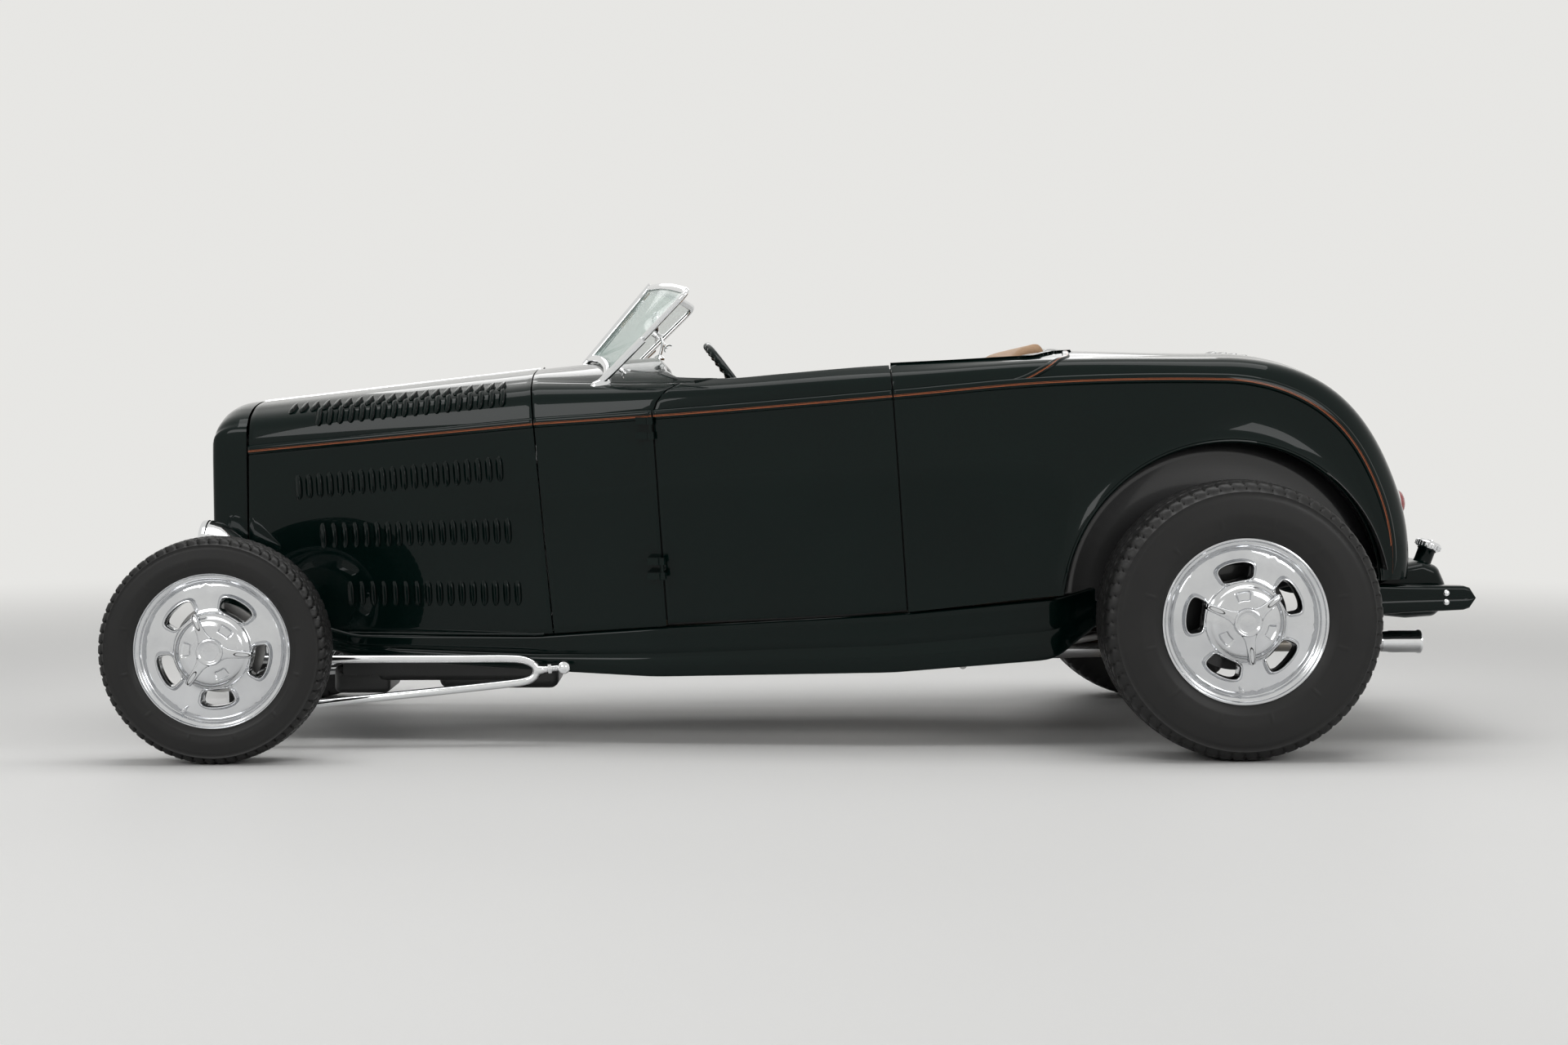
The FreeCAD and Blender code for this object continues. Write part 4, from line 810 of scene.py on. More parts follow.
# From the hood seam to the doors, over the top, with the cockpit's rounded front lip
def cowlPanel():
    frontOf = lambda height: hoodSeamAt(height, gap / 2)
    doorEdge = lambda height: doorFrontAt(height) - gap / 2
    columns = np.linspace(0, 1, 25)
    side = panelField(frontOf, doorEdge, constant(0.0), constant(1.0), columns, np.linspace(0, 1, 26))
    # above the belt the door line sweeps back to the rim; each row of the top ends on that line or on the rim
    rows = np.linspace(0, 1, 26)
    cockpit = panelLines["cockpitHalf"]
    (frontPlace, frontHalf), cornerHalf = cockpit[0], cockpit[2][1]
    rimPlace = panelLines["doorFront"][-1][0] - gap / 2
    rimAround = float(aroundFor(rimPlace, smoothLine(cockpit, rimPlace), aboveBelt, nearCentre))
    upper = panelField(frontOf, doorEdge, constant(1.0), lambda place: 1 + (rimAround - 1)
        * np.ones_like(place), columns, rows)
    sheets = Sheets().add(bodyPoint(*side)).add(bodyPoint(*upper))
    # the top deck of the cowl: plan rows from the rim corner to the centre, ending on the cockpit's front line
    share = columns[None, :]
    backHalf = np.concatenate([np.linspace(smoothLine(cockpit, rimPlace), cornerHalf, 9)[:-1],
        np.linspace(cornerHalf, frontHalf, 12)[:-1], np.linspace(frontHalf, 0.0, 18)])
    knots = np.array(cockpit[:5])
    curved = np.interp(backHalf, knots[:, 1], knots[:, 0])
    bow = panelLines["cockpitBow"] * (1 - (backHalf / frontHalf) ** 2)
    curved = np.where(backHalf < frontHalf, frontPlace - bow, curved)
    kernel = np.array([1, 2, 3, 2, 1]) / 9
    smoothed = np.convolve(np.pad(curved, 2, mode="edge"), kernel, mode="valid")
    smoothed[0] = rimPlace
    aroundFront = np.linspace(rimAround, 5.0, len(backHalf))
    place = np.zeros((len(backHalf), len(columns))) - 1.7
    around = np.zeros_like(place) + aroundFront[:, None]
    endAround = aroundFor(smoothed, backHalf, 1.0, 5.0)
    endAround[-1] = 5.0
    for _ in range(8):
        height = bodyPoint(place, around)[..., 2]
        start = frontOf(height[:, :1])
        place = start + (smoothed[:, None] - start) * share
        around = aroundFront[:, None] * (1 - share) + endAround[:, None] * share
    sheets.add(bodyPoint(place, around))
    edge = np.stack([smoothed, endAround], axis=1)
    lip = rolledRim(edge, panelLines["rollRadius"])
    sheets.add(np.transpose(lip, (1, 0, 2)))
    sheets.mirrored()
    sheets.piece("cowlPanel", "chassis", paint, weld=0.0006, wall=0.006, bevel=0.0008, replaces=("cowl",),
        slot="body_paint")
    print("cowl made")


# A rolled lip along a line of (place, around): rows that turn from the surface into the cockpit and down, into
# it being aft and to the right where no point to turn towards is given
def rolledRim(edge, radius, towards=None, end=2.7, steps=10):
    points = bodyPoint(edge[:, 0], edge[:, 1])
    normal = bodyNormal(edge[:, 0], np.minimum(edge[:, 1], nearCentre))
    if towards is None:
        normal[:, 1] = np.where(edge[:, 1] > 4.98, 0, normal[:, 1])
        normal = unit(normal)
    run = np.gradient(points, axis=0)
    run[-1] = (0, 1, 0)
    inward = unit(np.cross(run, normal))
    right = inward[:, 0] + inward[:, 1] * 1.5 if towards is None else np.sum(inward * (towards - points),
        axis=1)
    inward *= np.where((right < 0)[:, None], -1, 1)
    turn = np.linspace(0, end, steps)[:, None, None]
    return points + radius * (np.sin(turn) * inward - (1 - np.cos(turn)) * normal)


# Each door from its sill to the rolled rim of the cockpit
def doorPanels():
    frontOf, rearOf = lambda height: doorFrontAt(height) + gap / 2, lambda height: doorRearAt(height) - gap / 2
    sill = lambda place: 0.012 + 0 * place
    columns = np.linspace(0, 1, 72)
    lower = panelField(frontOf, rearOf, sill, constant(1.0), columns, np.linspace(0, 1, 32))
    upper = panelField(frontOf, rearOf, constant(1.0), cockpitEdge, columns, np.linspace(0, 1, 20))
    rim = np.stack([upper[0][-1], upper[1][-1]], axis=1)
    lip = rolled(rim[:, 0], rim[:, 1], panelLines["rollRadius"])
    grids = [bodyPoint(*lower), bodyPoint(*upper), np.concatenate([bodyPoint(rim[:, 0], rim[:, 1])[None], lip])]
    for label, side, mirror in bothSides:
        sheets = Sheets()
        for grid in grids:
            sheets.onSide(grid, mirror)
        sheets.piece("door" + label, side + "_door", paint, weld=0.0003, wall=0.009, bevel=0.001,
            replaces=("door_" + side,), slot="body_paint")
    print("doors made")


# around at the lower edge of the quarter: the sill, then the wheel arch, then level under the tail
def archEdge(place):
    place = np.asarray(place, float)
    centre, radius = panelLines["archCentre"], panelLines["archRadius"]
    off = place - centre[0]
    ring = centre[1] + np.sqrt(np.maximum(radius ** 2 - off ** 2, 0))
    overTub = np.where(np.abs(off) < radius, ring, 0)
    bottom = bodyValue("bottom", place)
    tub = np.clip((np.maximum(overTub, bottom) - bottom) / (bodyValue("belt", place) - bottom), 0, 0.98)
    turn = np.clip((place - bodyShape["tailStart"]) / bodyShape["tailRadius"], 0, np.pi / 2)
    towards = np.stack([np.sin(turn), np.cos(turn)], -1)
    start = np.array([tailPivotX - rearAxle - centre[0], bodyShape["pivotHeight"] - centre[1]])
    forward = towards @ start
    reach = -forward + np.sqrt(forward ** 2 - start @ start + radius ** 2)
    tail = reach / (bodyValue("belt", place) - bodyShape["pivotHeight"])
    return np.where(turn > 0, tail, tub)


def lidHalfAt(x):
    return np.interp(x, *np.transpose(panelLines["lidHalf"]))


# around where the lid's long edge lies
def lidSide(place, shift=0.0):
    around = np.full(np.shape(place), 3.0)
    for _ in range(4):
        x = bodyPoint(place, around)[..., 0] - rearAxle
        around = aroundFor(place, lidHalfAt(x) + shift, aboveBelt, nearCentre)
    return around


# around at the quarter's inner edge: the cockpit rim, then a slant in plan, then the lid's edge
def quarterTop(place):
    start, end = panelLines["quarterStart"], panelLines["lidFront"] - gap / 2
    firstHalf = panelLines["cockpitHalf"][-1][1]
    slant = firstHalf + (lidHalfAt(end) + gap / 2 - firstHalf) * np.clip((place - start) / (end - start), 0, 1)
    onSlant = aroundFor(place, slant, aboveBelt, nearCentre)
    return np.where(place <= start, cockpitEdge(place), np.where(place < end, onSlant, lidSide(place, gap / 2)))


# Quarters, the strip behind the cockpit, the tail under the lid, and the folded arch flange
def rearBody():
    archCentre, archRadius = panelLines["archCentre"], panelLines["archRadius"]
    quarterStart, lidFront = panelLines["quarterStart"], panelLines["lidFront"] - gap / 2
    tailEnd = bodyShape["place"][-1]
    lidPlaces = np.linspace(bodyShape["tailStart"], tailEnd, 400)
    lidEndAround = lidSide(lidPlaces)
    lidBottom = float(np.interp(-panelLines["lidLow"], -bodyPoint(lidPlaces, lidEndAround)[:, 2], lidPlaces))
    # columns gather where the arch is steep, and hit the corners of the other patches
    ahead = archCentre[0] - archRadius * np.cos(np.linspace(0.02, np.pi / 2, 44))
    stretch = [np.linspace(-0.905, quarterStart, 19)[:-1], np.linspace(quarterStart, lidFront, 14)[:-1],
        np.linspace(lidFront, bodyShape["tailStart"], 24)[:-1], np.linspace(bodyShape["tailStart"],
        lidBottom + gap / 2, 38)[:-1], np.linspace(lidBottom + gap / 2, tailEnd, 12)]
    columns = np.unique(np.concatenate(stretch + [ahead[ahead < -0.2]]).round(6))
    sheets = Sheets()
    rows = np.linspace(0, 1, 20)[:, None]
    for low, high in ((archEdge, constant(1.0)), (constant(1.0), quarterTop)):
        place = np.broadcast_to(columns[None, :], (len(rows), len(columns))).copy()
        blend = np.clip((quarterStart - 0.06 - columns) / (quarterStart - 0.06 + 0.905), 0, 1)[None, :]
        around = low(place) + (high(place) - low(place)) * rows
        for _ in range(6):
            height = bodyPoint(place[:, :1], around[:, :1])[..., 2]
            place = columns[None, :] + (doorRearAt(height) + gap / 2 - columns[0]) * blend
            around = low(place) + (high(place) - low(place)) * rows
        grid = bodyPoint(place, around)
        if low is archEdge:
            grid = flared(grid)
            archRim = grid[0]
        else:
            rimKept = place[-1] <= quarterStart + 1e-6
            rimLine = np.stack([place[-1][rimKept], around[-1][rimKept]], axis=1)
        sheets.add(grid)
    # flange of the arch and the tail's lower edge, folded inwards
    middle = np.array([rearAxle + archCentre[0], 0, archCentre[1]])
    outwards = archRim - middle
    outwards[:, 1] = 0
    outwards = unit(outwards)
    turn = np.linspace(0, np.pi / 2, 7)[1:, None, None]
    flange = archRim + np.sin(turn) * (0, 0.006, 0) - (1 - np.cos(turn)) * outwards * 0.004
    flange = np.concatenate([flange, flange[-1:] + (0, 0.018, 0)])
    sheets.add(np.concatenate([archRim[None], flange])[::-1])
    # behind the cockpit
    share = np.linspace(0, 1, 26)
    turnBack = np.linspace(0, np.pi / 2, 40)
    firstHalf = panelLines["cockpitHalf"][-1][1]
    power = 0.62
    backX = quarterStart + (panelLines["cockpitBack"] - quarterStart) * np.sin(turnBack) ** power
    backHalf = firstHalf * np.cos(turnBack) ** power
    frontHalf = lidHalfAt(lidFront) + gap / 2
    lidHalfRow = frontHalf * (backHalf / firstHalf)
    deckX = backX[:, None] + (lidFront - backX[:, None]) * share[None, :]
    deckHalf = backHalf[:, None] + (lidHalfRow[:, None] - backHalf[:, None]) * share[None, :]
    deckAround = aroundFor(deckX, deckHalf, 1.05, 5.0)
    deckAround[-1] = 5.0
    sheets.add(bodyPoint(deckX, deckAround))
    backLine = np.stack([backX, deckAround[:, 0]], axis=1)
    rimAll = np.concatenate([rimLine[:-1], backLine])
    lip = rolledRim(rimAll, panelLines["rollRadius"], np.array([rearAxle - 1.0, 0, 1.0]))
    sheets.add(np.transpose(lip, (1, 0, 2)))
    # under the lid
    tailPlaces = columns[columns >= lidBottom + gap / 2 - 1e-6]
    inner = quarterTop(tailPlaces)
    rows = np.linspace(0, 1, 40)[:, None]
    sheets.add(bodyPoint(np.broadcast_to(tailPlaces, (40, len(tailPlaces))), inner + (5 - inner) * rows))
    sheets.mirrored()
    sheets.piece("rearBody", "chassis", paint, weld=0.0004, wall=0.006, bevel=0.0008, replaces=("rear_body",),
        slot="body_paint")
    print("rear body made")
    return lidBottom


# Pushes the body out a little towards the arch lip, as a pressed flare does
def flared(grid):
    archCentre, archRadius = panelLines["archCentre"], panelLines["archRadius"]
    x, z = grid[..., 0] - rearAxle - archCentre[0], grid[..., 2] - archCentre[1]
    away = np.hypot(x, z) - archRadius
    upper = np.clip((z + 0.02) / 0.1, 0, 1)
    push = (0.019 * np.exp(-np.clip(away, 0, 1) / 0.02) + 0.009 * np.exp(-np.clip(away, 0, 1) / 0.1)) * upper
    out = grid.copy()
    out[..., 1] -= push
    return out


# The long lid behind the cockpit, down to the tail
def deckLid(lidBottom):
    end = lidBottom - gap / 2
    places = np.concatenate([np.linspace(panelLines["lidFront"] + gap / 2, bodyShape["tailStart"], 26)[:-1],
        np.linspace(bodyShape["tailStart"], end, 42)])
    edge = lidSide(places, -gap / 2)
    share = clustered(120, 1.3)
    around = edge[None, :] + (5 - edge[None, :]) * (1 - np.abs(1 - 2 * share[:, None]))
    place = np.broadcast_to(places, around.shape)
    grid = bodyPoint(place, around)
    grid[share > 0.5, :, 1] *= -1
    Sheets().add(grid).piece("deckLid", "trunk_lid", paint, weld=0.0, wall=0.006, bevel=0.001,
        replaces=("deck_lid",), slot="body_paint")
    print("deck lid made")


hoodPanels()
cowlPanel()
doorPanels()
lidBottomPlace = rearBody()
deckLid(lidBottomPlace)


# Wheels and tyres
wheelLook = dict(sectorMiddle=0.132, windowRadial=0.022, windowAcross=0.043, windowSquare=4.2, flange=0.22,
    frontFlange=0.207, discInner=0.1015, discOuter=0.1925, lipHeight=0.0125, capSize=0.88, barSize=1.14,
    rearWindows=173.0, rearSpinner=38.0, rearValve=-92.0, frontWindows=132.0, frontSpinner=-5.0,
    frontValve=-116.0, turns=144, )


# Points on a wheel: along is outward from the rim's flange plane, the angle runs from +x up to +z
def wheelPlace(centre, side, along, radius, angle):
    along, radius, angle = np.broadcast_arrays(along, radius, angle)
    return np.stack([centre[0] + radius * np.cos(angle), centre[1] + side * along,
        centre[2] + radius * np.sin(angle)], -1)


# A profile of (along, radius) turned round the wheel's own axle
def wheelRound(centre, side, profile, turns):
    profile = np.asarray(profile, float)
    angle = wholeTurn(turns)
    return wheelPlace(centre, side, profile[:, :1], profile[:, 1:], angle[None, :])


# How far the wheel's disc stands from the flange plane: a shallow dish that rises to the hub cap
def discFace(radius):
    return np.interp(radius, [0.1, 0.1015, 0.108, 0.116, 0.132, 0.16, 0.1885, 0.1925],
        [-0.004, -0.0045, -0.012, -0.015, -0.017, -0.02, -0.024, -0.029])


# Five sectors of the disc. Each is rings of points from a rounded window out to the sector's border, with a
# raised lip along the window, and walls that go back through the disc.
def windowSectors(sheets, centre, side, size, start):
    look = wheelLook
    turn = wholeTurn(96)
    alongUnit, acrossUnit = squaredTurn(turn, 2 / look["windowSquare"])
    middle = look["sectorMiddle"]
    window = np.stack([look["windowRadial"] * alongUnit, look["windowAcross"] * acrossUnit], 1)
    largest = np.maximum(np.abs(alongUnit), np.abs(acrossUnit))
    borderRadial = np.where(alongUnit > 0, look["discOuter"] - middle, middle - look["discInner"])
    border = np.stack([borderRadial * alongUnit / largest, np.pi / 5 * middle * acrossUnit / largest], 1)
    heading = border - window
    room = np.linalg.norm(heading, axis=1)
    heading /= room[:, None]
    distances = [0.0, 0.0012, 0.0032, 0.0052, 0.0074, 0.0094, 0.0115]
    lifts = [0.3, 0.8, 1.0, 1.0, 0.72, 0.25, 0.0]
    rings = [window + heading * np.minimum(distance, room * 0.7)[:, None] for distance in distances]
    outward = 0.35 + 0.65 * np.clip((alongUnit + 0.95) / 0.5, 0, 1)
    heights = [outward * lift * look["lipHeight"] for lift in lifts]
    for share in (0.2, 0.4, 0.6, 0.8, 1.0):
        rings.append(rings[6] + (border - rings[6]) * share)
        heights.append(np.zeros(len(turn)))
    rings, heights = np.array(rings), np.array(heights)
    base = discFace(middle + rings[..., 0])
    flat = discFace(np.full_like(base, middle))
    nearWindow = np.clip(1 - np.linalg.norm(rings - window, axis=2) / 0.012, 0, 1)
    base = base * (1 - nearWindow) + flat * nearWindow
    outer = base + heights
    walls = np.array([0.0, -0.004, -0.01, -0.02, -0.03])[:, None] + outer[0][None, :] * 0 + flat[0][None, :]
    inward = 1 - np.array([0.0, 0.035, 0.045, 0.05, 0.055])[:, None, None] * 0.6
    for number in range(5):
        angle = math.radians(start + 72 * number)
        top = wheelPlace(centre, side, outer * size, (middle + rings[..., 0]) * size,
            angle + rings[..., 1] / middle)
        sheets.ring(top, flip=side > 0)
        wallRing = window[None] * inward
        wall = wheelPlace(centre, side, walls * size, (middle + wallRing[..., 0]) * size,
            angle + wallRing[..., 1] / middle)
        wall[0] = top[0]
        sheets.ring(wall[::-1], flip=side > 0)
        backShare = np.array([0.0, 0.5, 1.0])[:, None, None]
        backRing = wallRing[-1] + (border - wallRing[-1]) * backShare
        back = wheelPlace(centre, side, -0.05 * size + 0 * backRing[..., 0], (middle + backRing[..., 0]) * size,
            angle + backRing[..., 1] / middle)
        sheets.ring(back, flip=side < 0)


# The cap: a low dome with six pressed pockets, and a raised hub ring round a plain disc
def hubCap(sheets, centre, side, size, start):
    radius = np.concatenate([np.linspace(0.118, 0.106, 4), np.linspace(0.104, 0.044, 19),
        np.linspace(0.042, 0.036, 4)])
    along = np.interp(radius, [0.036, 0.042, 0.046, 0.06, 0.085, 0.098, 0.104, 0.108, 0.112, 0.118],
        [0.02, 0.0195, 0.0185, 0.018, 0.015, 0.0105, 0.006, 0.002, -0.001, -0.0045])
    angle = wholeTurn(144)
    fan = (angle[None, :] - math.radians(start + 60)) % (np.pi / 3)
    fan = np.minimum(fan, np.pi / 3 - fan) * radius[:, None]
    whole = (angle[None, :] - math.radians(start + 60)) % (2 * np.pi / 3)
    large = np.minimum(whole, 2 * np.pi / 3 - whole) < np.pi / 6
    across = np.where(large, 0.26 * radius[:, None] + 0.002, 0.01)
    edgeAcross = np.clip((across - fan) / 0.005, 0, 1)
    radial = np.clip(np.minimum(radius - 0.062, 0.094 - radius) / 0.006, 0, 1)[:, None]
    pocket = (edgeAcross ** 2 * (3 - 2 * edgeAcross)) * (radial ** 2 * (3 - 2 * radial))
    height = along[:, None] - 0.0065 * pocket
    sheets.ring(wheelPlace(centre, side, height * size, radius[:, None] * size * wheelLook["capSize"],
        angle[None, :]), flip=side < 0)
    ring = [(0.019, 0.0385), (0.026, 0.0375), (0.0295, 0.0355), (0.0305, 0.033), (0.0295, 0.03), (0.027, 0.028),
        (0.0262, 0.0262), (0.0268, 0.02), (0.0272, 0.01), (0.0273, 0.0001)]
    sheets.ring(wheelRound(centre, side, np.array(ring) * size, 96), flip=side < 0)


# Three tapering bars out from the hub ring, each with a long dished slot
def spinner(sheets, slots, centre, side, size, start):
    face = np.array([0, side, 0])
    for number in range(3):
        angle = math.radians(start + 120 * number)
        out = np.array([math.cos(angle), 0, math.sin(angle)])
        across = np.array([-math.sin(angle), 0, math.cos(angle)])
        reach = np.array([0.03, 0.034, 0.044, 0.06, 0.078, 0.094, 0.0975, 0.099]) * wheelLook["barSize"]
        half = np.array([0.021, 0.0175, 0.0135, 0.0118, 0.0106, 0.0095, 0.008, 0.0035])
        height = np.array([0.027, 0.0268, 0.0258, 0.024, 0.0215, 0.0185, 0.016, 0.012])
        turn = np.linspace(0, np.pi, 15)
        roundness = 0.5
        u = np.sign(np.cos(turn)) * np.abs(np.cos(turn)) ** roundness
        v = np.abs(np.sin(turn)) ** roundness
        base = np.interp(reach, [0.03, 0.055, 0.08, 0.094, 0.113], [0.017, 0.0165, 0.012, 0.004, -0.002])
        grid = (np.array(centre) + (out[None, None] * reach[:, None, None] + across
            * (half[:, None] * u[None, :])[..., None] + face * (base[:, None] + (height - base)[:, None]
            * v[None, :])[..., None]) * size)
        grid = np.concatenate([grid, np.broadcast_to(grid[-1:].mean(axis=1, keepdims=True), grid[-1:].shape)])
        sheets.add(grid, flip=side > 0)
        ring = wholeTurn(36)
        longHalf, thin, slotMiddle = 0.019, 0.0046, 0.088
        edge = np.stack([slotMiddle + squaredTurn(ring, 0.7)[0] * longHalf, np.sin(ring) * thin], 1)
        rows = []
        for scale, sink in ((1.22, 0.0009), (1.1, 0.0014), (1.0, 0.0004), (0.93, -0.0012), (0.7, -0.002),
                (0.0, -0.0022)):
            point = (edge - (slotMiddle, 0)) * scale + (slotMiddle, 0)
            lift = np.interp(point[:, 0], reach, height) + sink + 0.0002
            rows.append(np.array(centre) + (point[:, :1] * out + point[:, 1:] * across + lift[:, None] * face)
                * size)
        slots.ring(np.array(rows), flip=side > 0)


def roadWheel(name, node, body, size, width, windows, spin, valve):
    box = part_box(node)
    side = -1 if box[0][1] < 0 else 1
    flange = box[0][1] if side < 0 else box[1][1]
    centre = ((box[0][0] + box[1][0]) / 2, flange, (box[0][2] + box[1][2]) / 2)
    rimSize = (box[1][2] - box[0][2]) / 2 / wheelLook["flange"]
    sheets = Sheets()
    flangeProfile = [(-0.015, 0.214), (-0.011, 0.2195), (-0.005, 0.2199), (-0.001, 0.2185), (0.0, 0.216),
        (-0.0015, 0.2132), (-0.006, 0.2115), (-0.0085, 0.2085), (-0.0095, 0.205), (-0.0115, 0.2022),
        (-0.0175, 0.2005), (-0.02, 0.1985), (-0.0215, 0.196), (-0.027, 0.1945), (-0.029, 0.1925)]
    sheets.ring(wheelRound(centre, side, np.array(flangeProfile) * size, wheelLook["turns"]), flip=side < 0)
    windowSectors(sheets, centre, side, size, windows)
    hubCap(sheets, centre, side, size, spin)
    slots = Sheets()
    spinner(sheets, slots, centre, side, size, spin)
    radius = wheelLook["flange"] * rimSize
    barrel = [(-0.028 * size, 0.196 * size), (-0.04 * size, 0.1955 * size), (-0.055, radius - 0.03),
        (-0.07, radius - 0.046), (-width + 0.055, radius - 0.046), (-width + 0.045, radius - 0.028),
        (-width + 0.014, radius - 0.022), (-width + 0.008, radius - 0.004), (-width + 0.001, radius - 0.001),
        (-width + 0.004, radius - 0.0002), (-width + 0.014, radius - 0.012), (-width + 0.04, radius - 0.02),
        (-width + 0.052, radius - 0.036), (-0.072, radius - 0.036), (-0.06, radius - 0.02),
        (-0.02, radius - 0.01), (-0.012, radius - 0.002)]
    sheets.ring(wheelRound(centre, side, barrel, wheelLook["turns"]), flip=side > 0)
    angle = math.radians(valve)
    foot = np.array(centre) + np.array([math.cos(angle) * 0.183 * size, side * -0.03,
        math.sin(angle) * 0.183 * size])
    stem = [foot, foot + (0, side * 0.02, 0), foot + (0, side * 0.0205, 0), foot + (0, side * 0.032, 0)]
    grid = along(np.array(stem), circle(0.0042, 16), up=(0, 0, 1), size=[1, 1, 0.75, 0.75])
    sheets.ring(capped(grid), flip=True)
    sheets.piece(name, body, alloy, weld=0.00003, sharp=34, replaces=(node,), slot="wheel_aluminium")
    slots.piece(name + "Slots", body, black, slot="wheel_aluminium")


tyreLook = dict(turns=384, blocks=64, treadHalf=0.43, groove=0.0075, cut=0.0025, wave=0.0022)


# Half section of the tyre as (outward, radius), from the bead out over the shoulder to the tread's middle
def tyreProfile(width, rim, tread):
    half = width / 2
    shape = np.array([(0.7, -0.035), (0.8, 0.0), (0.865, 0.045), (0.93, 0.13), (0.982, 0.28), (1.0, 0.46),
        (0.99, 0.63), (0.955, 0.775), (0.905, 0.865), (0.85, 0.925), (0.765, 0.965), (0.55, 0.985),
        (0.3, 0.996), (0.0, 1.0)])
    flat = np.column_stack([shape[:, 0] * half, rim + shape[:, 1] * (tread - rim), np.zeros(len(shape))])
    return smoothPath(flat, 41)[:, :2]


# Grooved tread and plain walls with moulded rings. Depths are taken off along each place's normal.
def roadTyre(name, node, rimNode, body):
    box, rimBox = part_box(node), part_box(rimNode)
    width, tread = box[1][1] - box[0][1], (box[1][2] - box[0][2]) / 2
    rim = (rimBox[1][2] - rimBox[0][2]) / 2 - 0.006
    centre = [(box[0][axis] + box[1][axis]) / 2 for axis in range(3)]
    halfLine = tyreProfile(width, rim, tread)
    line = np.concatenate([halfLine, halfLine[-2::-1] * (-1, 1)])
    look, turns = tyreLook, tyreLook["turns"]
    angle = wholeTurn(turns)[None, :]
    run = runAlong(line)
    middle = run[len(halfLine) - 1]
    across = (run - middle)[:, None]
    far = np.abs(across)
    treadHalf = width * look["treadHalf"]
    pitch = 2 * np.pi / look["blocks"]
    wave = look["wave"] * np.sin(angle * look["blocks"])
    depth = np.zeros((len(line), turns))

    def dip(distance, size):
        share = np.clip(1 - distance / size, 0, 1)
        return share ** 0.5

    for place in (0.16, 0.52):
        depth = np.maximum(depth, look["groove"] * dip(np.abs(far - treadHalf * place + wave), 0.0052))
    slant = (angle + far / tread * 0.35 * np.sign(across)) % pitch
    cut = np.minimum(slant, pitch - slant) * tread
    depth = np.maximum(depth, look["groove"] * dip(cut + 0 * far, 0.0034)
        * np.clip((far - treadHalf * 0.56) / 0.003, 0, 1) * np.clip((treadHalf * 1.24 - far) / 0.006, 0, 1))
    fine = (angle - far / tread * 0.2) % (pitch / 2)
    depth = np.maximum(depth, look["cut"] * dip(np.minimum(fine, pitch / 2 - fine) * tread, 0.0016)
        * np.clip((treadHalf * 0.5 - far) / 0.002, 0, 1))
    radius = line[:, 1][:, None]
    share = (radius - rim) / (tread - rim)
    onWall = far > treadHalf * 1.2
    rings = 0.0026 * dip(np.abs(share - 0.155), 0.014) - 0.0026 * dip(np.abs(share - 0.2), 0.024)
    rings += -0.0034 * dip(np.abs(share - 0.8), 0.018) + 0.002 * dip(np.abs(share - 0.765), 0.02)
    rings += -0.0024 * dip(np.abs(share - 0.41), 0.012) + 0.0012 * dip(np.abs(share - 0.6), 0.16)
    ribs = 0.0007 * (0.5 + 0.5 * np.cos(angle * 160)) * np.clip(1 - np.abs(share - 0.835) / 0.03, 0, 1)
    spokes = -0.0018 * dip(np.abs(((angle % (np.pi / 6)) - np.pi / 12)) * radius,
        0.0016) * np.clip(1 - np.abs(share - 0.3) / 0.09, 0, 1) ** 0.3
    depth += np.where(onWall, rings + ribs + spokes, 0)
    slope = np.gradient(line, axis=0)
    normal = np.stack([-slope[:, 1], slope[:, 0]], 1)
    normal = unit(normal)
    normal *= np.where(np.sum(normal * (line - (0, (rim + tread) / 2)), axis=1) < 0, -1, 1)[:, None]
    depth[(far > run[-1] / 2 * 0.93).ravel()] = 0
    out = line[:, None, :] - normal[:, None, :] * depth[..., None]
    grid = np.stack([centre[0] + out[..., 1] * np.cos(angle), centre[1] + out[..., 0],
        centre[2] + out[..., 1] * np.sin(angle)], -1)
    hidden = (far.ravel() > treadHalf * 1.15) & (line[:, 0] * centre[1] < 0)
    grid = grid[~(hidden & (np.arange(len(line)) % 3 > 0))]
    inner = np.stack([centre[0] + (rim + 0.02) * np.cos(angle) + 0 * out[:1, :, 1],
        centre[1] + np.zeros((1, turns)), centre[2] + (rim + 0.02) * np.sin(angle)], -1)
    sheets = Sheets().ring(np.concatenate([inner, grid, inner]))
    sheets.piece(name, body, rubber, weld=0.0, sharp=60, replaces=(node,), slot="tyre_rubber")


look = wheelLook
for label, side, _ in bothSides:
    roadWheel("rearWheel" + label, "rear_wheel_" + side, "rear_%s_wheel" % side, 1.0, 0.198,
        look["rearWindows"], look["rearSpinner"], look["rearValve"])
    roadWheel("frontWheel" + label, "front_wheel_" + side, "front_%s_wheel" % side,
        look["frontFlange"] / look["flange"], 0.124, look["frontWindows"], look["frontSpinner"],
        look["frontValve"])
    roadTyre("rearTyre" + label, "rear_tyre_" + side, "rear_wheel_" + side, "rear_%s_wheel" % side)
    roadTyre("frontTyre" + label, "front_tyre_" + side, "front_wheel_" + side, "front_%s_wheel" % side)
print("wheels and tyres made")


# Belt moulding, stripes, louvers
mouldLook = dict(half=0.0145, height=0.0065, rows=11, step=0.008, branch=((-0.64, 1.0), (-0.6, 1.02),
    (-0.56, 1.16), (-0.52, 1.48), (-0.478, 2.0), (-0.44, 2.7), (-0.422, 3.3), (-0.418, 4.0), (-0.418, 5.0)))


